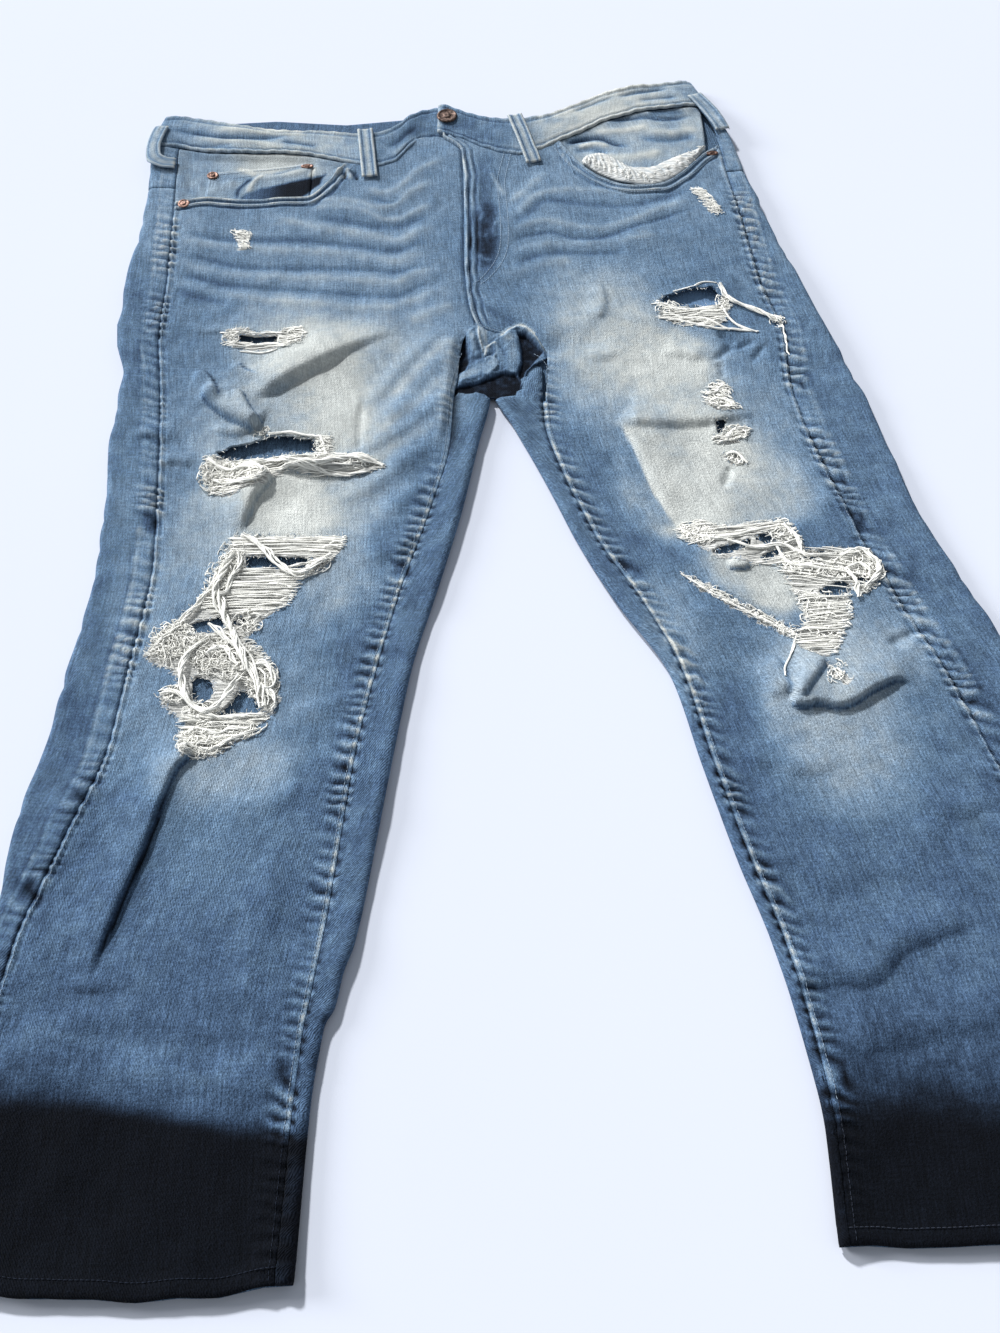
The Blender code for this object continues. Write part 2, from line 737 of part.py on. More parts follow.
def cut_rips(panel, side):
    """Holes torn right through the front, each a spindle with a ragged waist."""
    for number, rip in enumerate(rip for rip in RIPS if rip.panel == side):
        turn = math.radians(rip.angle)
        outline = []
        for share, width in RIP_OUTLINE:
            x = share * rip.length
            y = width * rip.width
            across = rip.x + x * math.cos(turn) - y * math.sin(turn)
            outline.append((across, rip.y + x * math.sin(turn) + y * math.cos(turn)))
        cut_prism(panel, "rip_cutter_%s_%d" % (side, number), outline)


def build_waistband(side):
    """One half of the band, from the fly round the side to the centre back."""
    table = WAISTS[side]
    front = table[1:] if side == "right" else table[:-1]
    front = front[::-1] if side == "right" else front
    rows = []
    for share in (0.0, 0.5, 1.0):
        row = []
        for place in front:
            y = mix(place.seam + GAP / 2, place.top, share)
            lapped = smoothstep(-0.108, -0.092, place.x) if side == "right" else 0.0
            under = BAND_OVERLAP * lapped
            row.append(Spot((place.x, y, top_height(side, place.x, y) - under), UP))
        row += seat_row(side, lambda c: mix(
            waist_line(side, c, "seam") + GAP / 2, waist_line(side, c, "top"), share))
        rows.append(row)
    band = wall("waistband_" + side, rows, BAND, "denim")
    if side == "left":
        radius = SHANK_RADIUS + 2 * GAP
        cut_prism(band, "buttonhole", circle(BUTTON_X, BUTTON_Y, radius, SHANK_SEGMENTS))


def turned(name, x, y, base, profile, segments, material):
    """A closed turned piece from a profile of (radius, height) points above base."""
    bm = bmesh.new()
    rings = []
    for radius, height in profile:
        ring = circle(x, y, radius, segments)
        rings.append([bm.verts.new((*spot, base + height)) for spot in ring])
    bm.faces.new(rings[0])
    bm.faces.new(rings[-1])
    for low, high in zip(rings, rings[1:]):
        for k in range(segments):
            n = (k + 1) % segments
            bm.faces.new((low[k], low[n], high[n], high[k]))
    obj = new_object(name, bm, material)
    obj.data.shade_smooth()
    obj.data.set_sharp_from_angle(angle=math.radians(SMOOTH_ANGLE))


def build_button():
    """The head on the band, with its shank through the buttonhole to the band below."""
    surface = top_height("left", BUTTON_X, BUTTON_Y)
    base = surface - BAND / 2 + GAP
    head = surface + BAND / 2 + GAP - base
    profile = ((SHANK_RADIUS, 0.0), (SHANK_RADIUS, head), (BUTTON_RADIUS * 0.94, head),
               (BUTTON_RADIUS, head + BUTTON_HEIGHT * 0.4), (BUTTON_RADIUS * 0.8, head + BUTTON_HEIGHT),
               (BUTTON_RADIUS * 0.45, head + BUTTON_HEIGHT * 0.8))
    turned("top_button", BUTTON_X, BUTTON_Y, base, profile, BUTTON_SEGMENTS, "brass")


def build_rivet(rivet):
    base = top_height(rivet.side, rivet.x, rivet.y) + rivet.lift
    profile = ((RIVET_RADIUS, 0.0), (RIVET_RADIUS, RIVET_HEIGHT * 0.3),
               (RIVET_RADIUS * 0.6, RIVET_HEIGHT), (RIVET_RADIUS * 0.25, RIVET_HEIGHT * 0.6))
    turned(rivet.name, rivet.x, rivet.y, base, profile, RIVET_SEGMENTS, "copper")


def build_pocket(side):
    """The facing behind a scooped opening, and the pocket bag that hangs from it."""
    pocket = POCKETS[side]
    xs = [row.x for row in WAISTS[side] if pocket.low_x <= row.x <= pocket.high_x]
    if pocket.edge_x > pocket.high_x:
        xs.append(pocket.edge_x)
    rows = []
    for share in steps(0.0, 1.0, POCKET_ROWS):
        row = []
        for x in xs:
            low = read_straight(SCOOPS[side], "x", "y", x) - FACING_DEPTH
            high = read_straight(WAISTS[side], "x", "seam", x) - GAP / 2
            y = mix(low, high, share)
            limit = side_x(side, "outseam", y) - OUTWARD[side] * GAP / 2
            place = max(x, limit) if side == "right" else min(x, limit)
            row.append(Spot((place, y, top_height(side, place, y) - pocket.drop), UP))
        rows.append(row)
    wall("pocket_facing_" + side, rows, THIN, "denim")
    build_bag(side, pocket)


def build_bag(side, pocket):
    """From the facing's lower edge down to the back layer."""
    rows = []
    for y in steps(BAG_BOTTOM_Y, pocket.bag_top_y, BAG_ROWS):
        share = smoothstep(0.22, 0.30, y)
        row = []
        for x in steps(pocket.bag_low_x, pocket.bag_high_x, BAG_COLUMNS):
            low = floor_height(y) + (DENIM + THIN) / 2 + GAP
            high = top_height(side, x, y) - pocket.drop - THIN - 2 * GAP
            row.append(Spot((x, y, mix(low, high, share)), UP))
        rows.append(row)
    wall("pocket_bag_" + side, rows, THIN, "pocketing")


def build_coin_pocket():
    (x0, low), (x1, high) = COIN_POCKET
    rows = []
    for share in steps(0.0, 1.0, POCKET_ROWS):
        row = []
        for x in steps(x0, x1, BAG_ROWS):
            y = mix(low, high + COIN_SLANT * (x - x1), share)
            row.append(Spot((x, y, top_height("right", x, y) - LAYER), UP))
        rows.append(row)
    wall("coin_pocket", rows, THIN, "denim")


def build_fly_piece(piece, thickness, row_count):
    """A flat piece behind the left edge of the front."""
    rows = []
    for y in steps(piece.low, piece.high, row_count):
        edge = read(FLY_EDGE, "y", "x", y)
        xs = steps(edge + piece.start, edge + piece.end, 2)
        rows.append([Spot((x, y, top_height("left", x, y) - piece.drop), UP) for x in xs])
    wall(piece.name, rows, thickness, piece.material)


def build_loop(loop):
    """A belt loop on the front of the band, its ends lying on the cloth."""
    lift = (BAND + LOOP_WALL) / 2 + LOOP_LIFT
    rows = []
    for share in steps(-0.5, 0.5, LOOP_ROWS):
        row = []
        for across in (-LOOP_WIDTH / 2, 0.0, LOOP_WIDTH / 2):
            along = share * loop.length
            x = loop.x + across * math.cos(loop.lean) - along * math.sin(loop.lean)
            y = loop.y + across * math.sin(loop.lean) + along * math.cos(loop.lean)
            row.append(Spot((x, y, top_height(loop.side, x, y) + lift), UP))
        rows.append(row)
    wall("belt_loop_" + loop.name, rows, LOOP_WALL, "denim")


def build_back_loop():
    """The centre back loop, under the band."""
    mid_y = (BACK_LOOP_LOW_Y + BACK_LOOP_HIGH_Y) / 2
    mid = read(CENTRE_BACK, "y", "x", mid_y)
    z = floor_height(mid_y) - BAND / 2 - GAP - BACK_LOOP_WALL / 2
    rows = []
    for y in steps(BACK_LOOP_LOW_Y, BACK_LOOP_HIGH_Y, POCKET_ROWS):
        rows.append([Spot((x, y, z), UP) for x in (mid - LOOP_WIDTH / 2, mid + LOOP_WIDTH / 2)])
    wall("belt_loop_back", rows, BACK_LOOP_WALL, "denim")


# ---------------------------------------------------------------- the whole garment
def clear_scene():
    for obj in list(bpy.data.objects):
        bpy.data.objects.remove(obj, do_unlink=True)


def make_materials():
    for name, (colour, roughness, metallic) in MATERIALS.items():
        material = bpy.data.materials.new(name)
        material.use_nodes = True
        shader = material.node_tree.nodes["Principled BSDF"]
        shader.inputs["Base Color"].default_value = (*colour, 1.0)
        shader.inputs["Roughness"].default_value = roughness
        shader.inputs["Metallic"].default_value = metallic


def main():
    clear_scene()
    make_materials()
    for side in ("right", "left"):
        build_back_panel(side)
        build_yoke(side)
        build_back_pocket(side)
        build_front_panel(side)
        build_pocket(side)
        build_waistband(side)
    build_coin_pocket()
    for piece in FLY_PIECES:
        build_fly_piece(piece, THIN, BAG_ROWS)
    build_fly_piece(SLIDER, SLIDER_WALL, 1)
    for loop in LOOPS:
        build_loop(loop)
    build_back_loop()
    build_button()
    for rivet in RIVETS:
        build_rivet(rivet)


main()
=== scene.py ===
"""Looks of the ripped jeans that lie flat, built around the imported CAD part.

Lengths are metres in the part's frame. Marks on the cloth are placed in centimetres on a
plan of the garment whose origin lies PLAN_X, PLAN_Y from the frame's; at() turns one into
the other. Right and left are the wearer's.
"""

import math
from collections import namedtuple

import bpy
import mathutils
import numpy as np
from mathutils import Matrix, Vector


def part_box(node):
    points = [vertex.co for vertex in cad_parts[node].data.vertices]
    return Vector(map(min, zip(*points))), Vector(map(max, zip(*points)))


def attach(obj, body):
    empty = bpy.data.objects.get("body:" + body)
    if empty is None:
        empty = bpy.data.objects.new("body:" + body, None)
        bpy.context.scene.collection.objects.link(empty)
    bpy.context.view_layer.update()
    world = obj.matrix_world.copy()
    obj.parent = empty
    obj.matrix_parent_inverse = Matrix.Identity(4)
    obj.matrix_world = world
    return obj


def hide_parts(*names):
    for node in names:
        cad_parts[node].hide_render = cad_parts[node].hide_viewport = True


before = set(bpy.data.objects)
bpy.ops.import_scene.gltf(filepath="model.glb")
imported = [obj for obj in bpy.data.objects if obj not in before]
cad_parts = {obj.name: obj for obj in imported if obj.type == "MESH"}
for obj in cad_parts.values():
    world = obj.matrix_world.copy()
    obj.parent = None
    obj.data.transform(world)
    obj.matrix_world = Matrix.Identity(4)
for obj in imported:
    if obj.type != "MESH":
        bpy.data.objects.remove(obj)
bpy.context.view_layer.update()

# ---------------------------------------------------------------- sizes, as in the CAD part
DENIM = 0.0015
BAND = 0.0026
THIN = 0.0010
LAYER = 0.0019
CROTCH_DROP = 0.0034
FLOOR_MID = DENIM / 2
SEAT_LIFT = 0.0016
WAIST_LIFT = 0.0006
HEMS = {"right": -0.470, "left": -0.447}
GAP_TOP_Y = 0.111
CROTCH_Y = 0.162
FAN_Y = 0.178
BLEND_Y = 0.250
FLY_LAP = 0.010
OUTWARD = {"right": -1.0, "left": 1.0}
YOKE_SIDE_Y = {"right": 0.330, "left": 0.352}
YOKE_BACK_Y = 0.292
EDGE_RISE = 0.0024
EDGE_REACH = 0.016
PLAN_X = 2.9
PLAN_Y = 49.4
CM = 0.01
MM = 0.001
FOLD_POINTS = 24         # points of the smooth line of a low fold
NOISE_SIZE = 128         # cells before the noise repeats

# each row: y, side fold of the garment, outseam on the front
SIDES = {
    "right": ((-0.470, -0.305, -0.298), (-0.414, -0.308, -0.301), (-0.354, -0.311, -0.303),
              (-0.294, -0.314, -0.299), (-0.234, -0.314, -0.283), (-0.174, -0.306, -0.267),
              (-0.114, -0.301, -0.263), (-0.054, -0.297, -0.259), (0.006, -0.299, -0.263),
              (0.066, -0.305, -0.269), (0.126, -0.305, -0.277), (0.166, -0.315, -0.283),
              (0.226, -0.317, -0.285), (0.286, -0.315, -0.289), (0.346, -0.317, -0.294),
              (0.386, -0.320, -0.297), (0.430, -0.313, -0.291)),
    "left": ((-0.447, 0.320, 0.312), (-0.394, 0.321, 0.312), (-0.344, 0.321, 0.308),
             (-0.294, 0.320, 0.300), (-0.244, 0.317, 0.289), (-0.184, 0.311, 0.272),
             (-0.124, 0.301, 0.254), (-0.064, 0.281, 0.231), (-0.014, 0.262, 0.214),
             (0.036, 0.250, 0.200), (0.086, 0.241, 0.188), (0.126, 0.230, 0.183),
             (0.166, 0.219, 0.183), (0.226, 0.203, 0.171), (0.286, 0.187, 0.1645),
             (0.346, 0.174, 0.158), (0.406, 0.163, 0.1515), (0.476, 0.135, 0.122)),
}
# each row: y, inseam on the front, the leg's inner fold
INNERS = {
    "right": ((-0.470, -0.138, -0.129), (-0.414, -0.1375, -0.1285), (-0.377, -0.1365, -0.1276),
              (-0.352, -0.135, -0.1252), (-0.338, -0.134, -0.1232), (-0.329, -0.1325, -0.1185),
              (-0.310, -0.130, -0.1150), (-0.294, -0.128, -0.110), (-0.234, -0.122, -0.101),
              (-0.174, -0.116, -0.093),
              (-0.114, -0.106, -0.084), (-0.054, -0.093, -0.069), (0.006, -0.077, -0.055),
              (0.066, -0.064, -0.044), (0.111, -0.062, -0.036), (0.136, -0.058, -0.036),
              (0.162, -0.050, -0.037)),
    "left": ((-0.447, 0.143, 0.138), (-0.394, 0.144, 0.139), (-0.344, 0.139, 0.133),
             (-0.294, 0.130, 0.123), (-0.244, 0.115, 0.108), (-0.184, 0.100, 0.093),
             (-0.124, 0.087, 0.079), (-0.064, 0.062, 0.045), (-0.014, 0.035, 0.021),
             (0.036, 0.016, 0.001), (0.086, 0.003, -0.021), (0.111, 0.002, -0.033),
             (0.136, 0.002, -0.035), (0.162, -0.020, -0.036)),
}
# each row: y, x
FLY_EDGE = ((0.162, -0.037), (0.183, -0.048), (0.202, -0.053), (0.252, -0.057),
            (0.314, -0.058), (0.376, -0.061), (0.396, -0.077))
CENTRE_BACK = ((0.162, -0.036), (0.250, -0.050), (0.360, -0.070), (0.440, -0.080))
# each row: x, waist seam, top edge of the band
WAISTS = {
    "right": ((-0.297, 0.382, 0.423), (-0.272, 0.374, 0.416), (-0.246, 0.373, 0.408),
              (-0.217, 0.374, 0.402), (-0.186, 0.371, 0.402), (-0.157, 0.362, 0.398),
              (-0.141, 0.357, 0.397), (-0.126, 0.355, 0.402), (-0.115, 0.360, 0.411),
              (-0.106, 0.378, 0.424), (-0.096, 0.393, 0.434), (-0.084, 0.396, 0.438),
              (-0.072, 0.392, 0.436), (-0.052, 0.386, 0.428)),
    "left": ((-0.082, 0.402, 0.443), (-0.073, 0.399, 0.436), (-0.058, 0.391, 0.427),
             (-0.044, 0.381, 0.421), (-0.029, 0.374, 0.418), (-0.013, 0.371, 0.418),
             (0.007, 0.381, 0.424), (0.021, 0.391, 0.431), (0.037, 0.401, 0.440),
             (0.057, 0.415, 0.451), (0.086, 0.427, 0.461), (0.112, 0.432, 0.466),
             (0.133, 0.437, 0.470)),
}
BACK_WAIST = ((-0.320, 0.384, 0.430), (-0.267, 0.374, 0.420), (-0.220, 0.376, 0.424),
              (-0.160, 0.373, 0.419), (-0.110, 0.376, 0.426), (-0.080, 0.392, 0.440),
              (-0.052, 0.389, 0.429), (-0.030, 0.383, 0.424), (0.010, 0.392, 0.432),
              (0.060, 0.412, 0.452), (0.110, 0.428, 0.466), (0.150, 0.436, 0.476))
# each row: x, y of the scooped pocket opening
SCOOPS = {
    "right": ((-0.290, 0.313), (-0.264, 0.318), (-0.236, 0.316), (-0.208, 0.317),
              (-0.186, 0.319), (-0.170, 0.337), (-0.157, 0.362)),
    "left": ((0.021, 0.391), (0.037, 0.362), (0.054, 0.344), (0.080, 0.332), (0.101, 0.334),
             (0.121, 0.351), (0.140, 0.374), (0.152, 0.384)),
}
# each row: y, height of the front layer
CROWN = ((-0.470, 0.0052), (-0.440, 0.0048), (-0.300, 0.0042), (0.000, 0.0044),
         (0.110, 0.0062), (0.200, 0.0088), (0.300, 0.0100), (0.400, 0.0093), (0.470, 0.0092))


# ---------------------------------------------------------------- numbers
def at(x, y):
    """A place on the plan, in centimetres, as a point of the frame."""
    return (np.asarray(x, float) - PLAN_X) * CM, (np.asarray(y, float) - PLAN_Y) * CM


def places(points):
    """A list of plan places as an array of frame points."""
    x, y = at(*zip(*points))
    return np.stack([x, y], 1)


def ease(low, high, value):
    t = np.clip((value - low) / (high - low), 0.0, 1.0)
    return t * t * (3 - 2 * t)


def mix(a, b, t):
    return a + (b - a) * t


def bell(away, width):
    """1 at no distance, dying away over a width."""
    return np.exp(-(away / width) ** 2)


def between(share, start, end):
    """1 along a course, rising over its first share and dying over its last."""
    return ease(0, start, share) * ease(0, end, 1 - share)


def read(table, value, column=1):
    """A column of a table at a value of its first column, on a curve with no overshoot."""
    rows = np.array(sorted(table), float)
    key = rows[:, 0]
    data = rows[:, column]
    value = np.clip(value, key[0], key[-1])
    i = np.clip(np.searchsorted(key, value, side="right") - 1, 0, len(key) - 2)
    span = np.diff(key)
    secant = np.diff(data) / span
    before, after = secant[:-1], secant[1:]
    total = np.where(before * after > 0, before + after, 1.0)
    middle = np.where(before * after > 0, 2 * before * after / total, 0.0)
    slope = np.concatenate([secant[:1], middle, secant[-1:]])
    t = (value - key[i]) / span[i]
    rise = data[i + 1] - data[i]
    a = slope[i] * span[i]
    b = slope[i + 1] * span[i]
    return data[i] + a * t + (3 * rise - 2 * a - b) * t ** 2 + (a + b - 2 * rise) * t ** 3


def read_straight(table, value, column=1):
    rows = np.array(sorted(table), float)
    return np.interp(value, rows[:, 0], rows[:, column])


def noise(x, y, cell, seed):
    """Smooth noise from -1 to 1 with cells of one size; the seed picks its pattern."""
    size = NOISE_SIZE
    grid = np.random.default_rng(seed).uniform(-1, 1, (size, size))
    u = np.asarray(x) / cell + 57.3
    v = np.asarray(y) / cell + 31.7
    i = np.floor(u).astype(int)
    j = np.floor(v).astype(int)
    fu = u - i
    fv = v - j
    fu = fu * fu * (3 - 2 * fu)
    fv = fv * fv * (3 - 2 * fv)

    def corner(a, b):
        return grid[(i + a) % size, (j + b) % size]

    low = mix(corner(0, 0), corner(1, 0), fu)
    high = mix(corner(0, 1), corner(1, 1), fu)
    return mix(low, high, fv)


def smooth_line(points, count):
    """A list of frame points joined by a smooth curve, as count points."""
    p = np.asarray(points, float)
    if len(p) == 2:
        t = np.linspace(0, 1, count)[:, None]
        return p[0] + (p[1] - p[0]) * t
    p = np.vstack([2 * p[0] - p[1], p, 2 * p[-1] - p[-2]])
    t = np.linspace(0, len(p) - 3, count)
    i = np.minimum(t.astype(int), len(p) - 4)
    f = (t - i)[:, None]
    a, b, c, d = p[i], p[i + 1], p[i + 2], p[i + 3]
    return 0.5 * (2 * b + (c - a) * f + (2 * a - 5 * b + 4 * c - d) * f ** 2
                  + (3 * b - a - 3 * c + d) * f ** 3)


def closed(outline):
    """An outline with its first point again at its end."""
    return np.vstack([outline, outline[:1]])


def runs(line):
    """How far along a line each of its points is."""
    return np.concatenate([[0], np.cumsum(np.hypot(*np.diff(line, axis=0).T))])


def length_of(line):
    return np.hypot(*np.diff(line, axis=0).T).sum()


def course(line):
    """The direction of a line at each of its points."""
    ahead = np.gradient(line, axis=0)
    return ahead / np.linalg.norm(ahead, axis=1, keepdims=True)


def near_box(line, reach, x, y):
    """Which points are within reach of the box round a line."""
    return ((x > line[:, 0].min() - reach) & (x < line[:, 0].max() + reach)
            & (y > line[:, 1].min() - reach) & (y < line[:, 1].max() + reach))


def off_line(points, x, y):
    """How far (x, y) is from a line of points, positive to the right of its course, and the
    share of the course at the nearest spot."""
    best = np.full(np.shape(x), 1e9)
    share = np.zeros(np.shape(x))
    signed = np.zeros(np.shape(x))
    steps = np.diff(points, axis=0)
    lengths = np.hypot(steps[:, 0], steps[:, 1])
    total = lengths.sum()
    run = 0.0
    for (px, py), (dx, dy), length in zip(points[:-1], steps, lengths):
        ux, uy = dx / length, dy / length
        along = np.clip((x - px) * ux + (y - py) * uy, 0, length)
        away = np.hypot(x - px - along * ux, y - py - along * uy)
        nearer = away < best
        side = np.sign((x - px) * uy - (y - py) * ux)
        best = np.where(nearer, away, best)
        signed = np.where(nearer, away * side, signed)
        share = np.where(nearer, (run + along) / total, share)
        run += length
    return signed, share


def inside(outline, x, y):
    """Whether points are inside a closed outline."""
    found = np.zeros(np.shape(x), bool)
    for (ax, ay), (bx, by) in zip(outline, np.roll(outline, -1, axis=0)):
        crosses = (ay > y) != (by > y)
        reach = ax + (y - ay) / (by - ay + 1e-12) * (bx - ax)
        found ^= crosses & (x < reach)
    return found


def depth_in(outline, x, y):
    """How far points are inside a closed outline, below 0 outside it."""
    away, _ = off_line(closed(outline), x, y)
    return np.where(inside(outline, x, y), np.abs(away), -np.abs(away))


def fold_wave(points, width, ends, x, y):
    """1 along a line of plan places, dying away over a width in centimetres and over a share
    of the line at each end."""
    away, share = off_line(smooth_line(places(points), FOLD_POINTS), x, y)
    return between(share, ends, ends) * bell(away, CM * width)


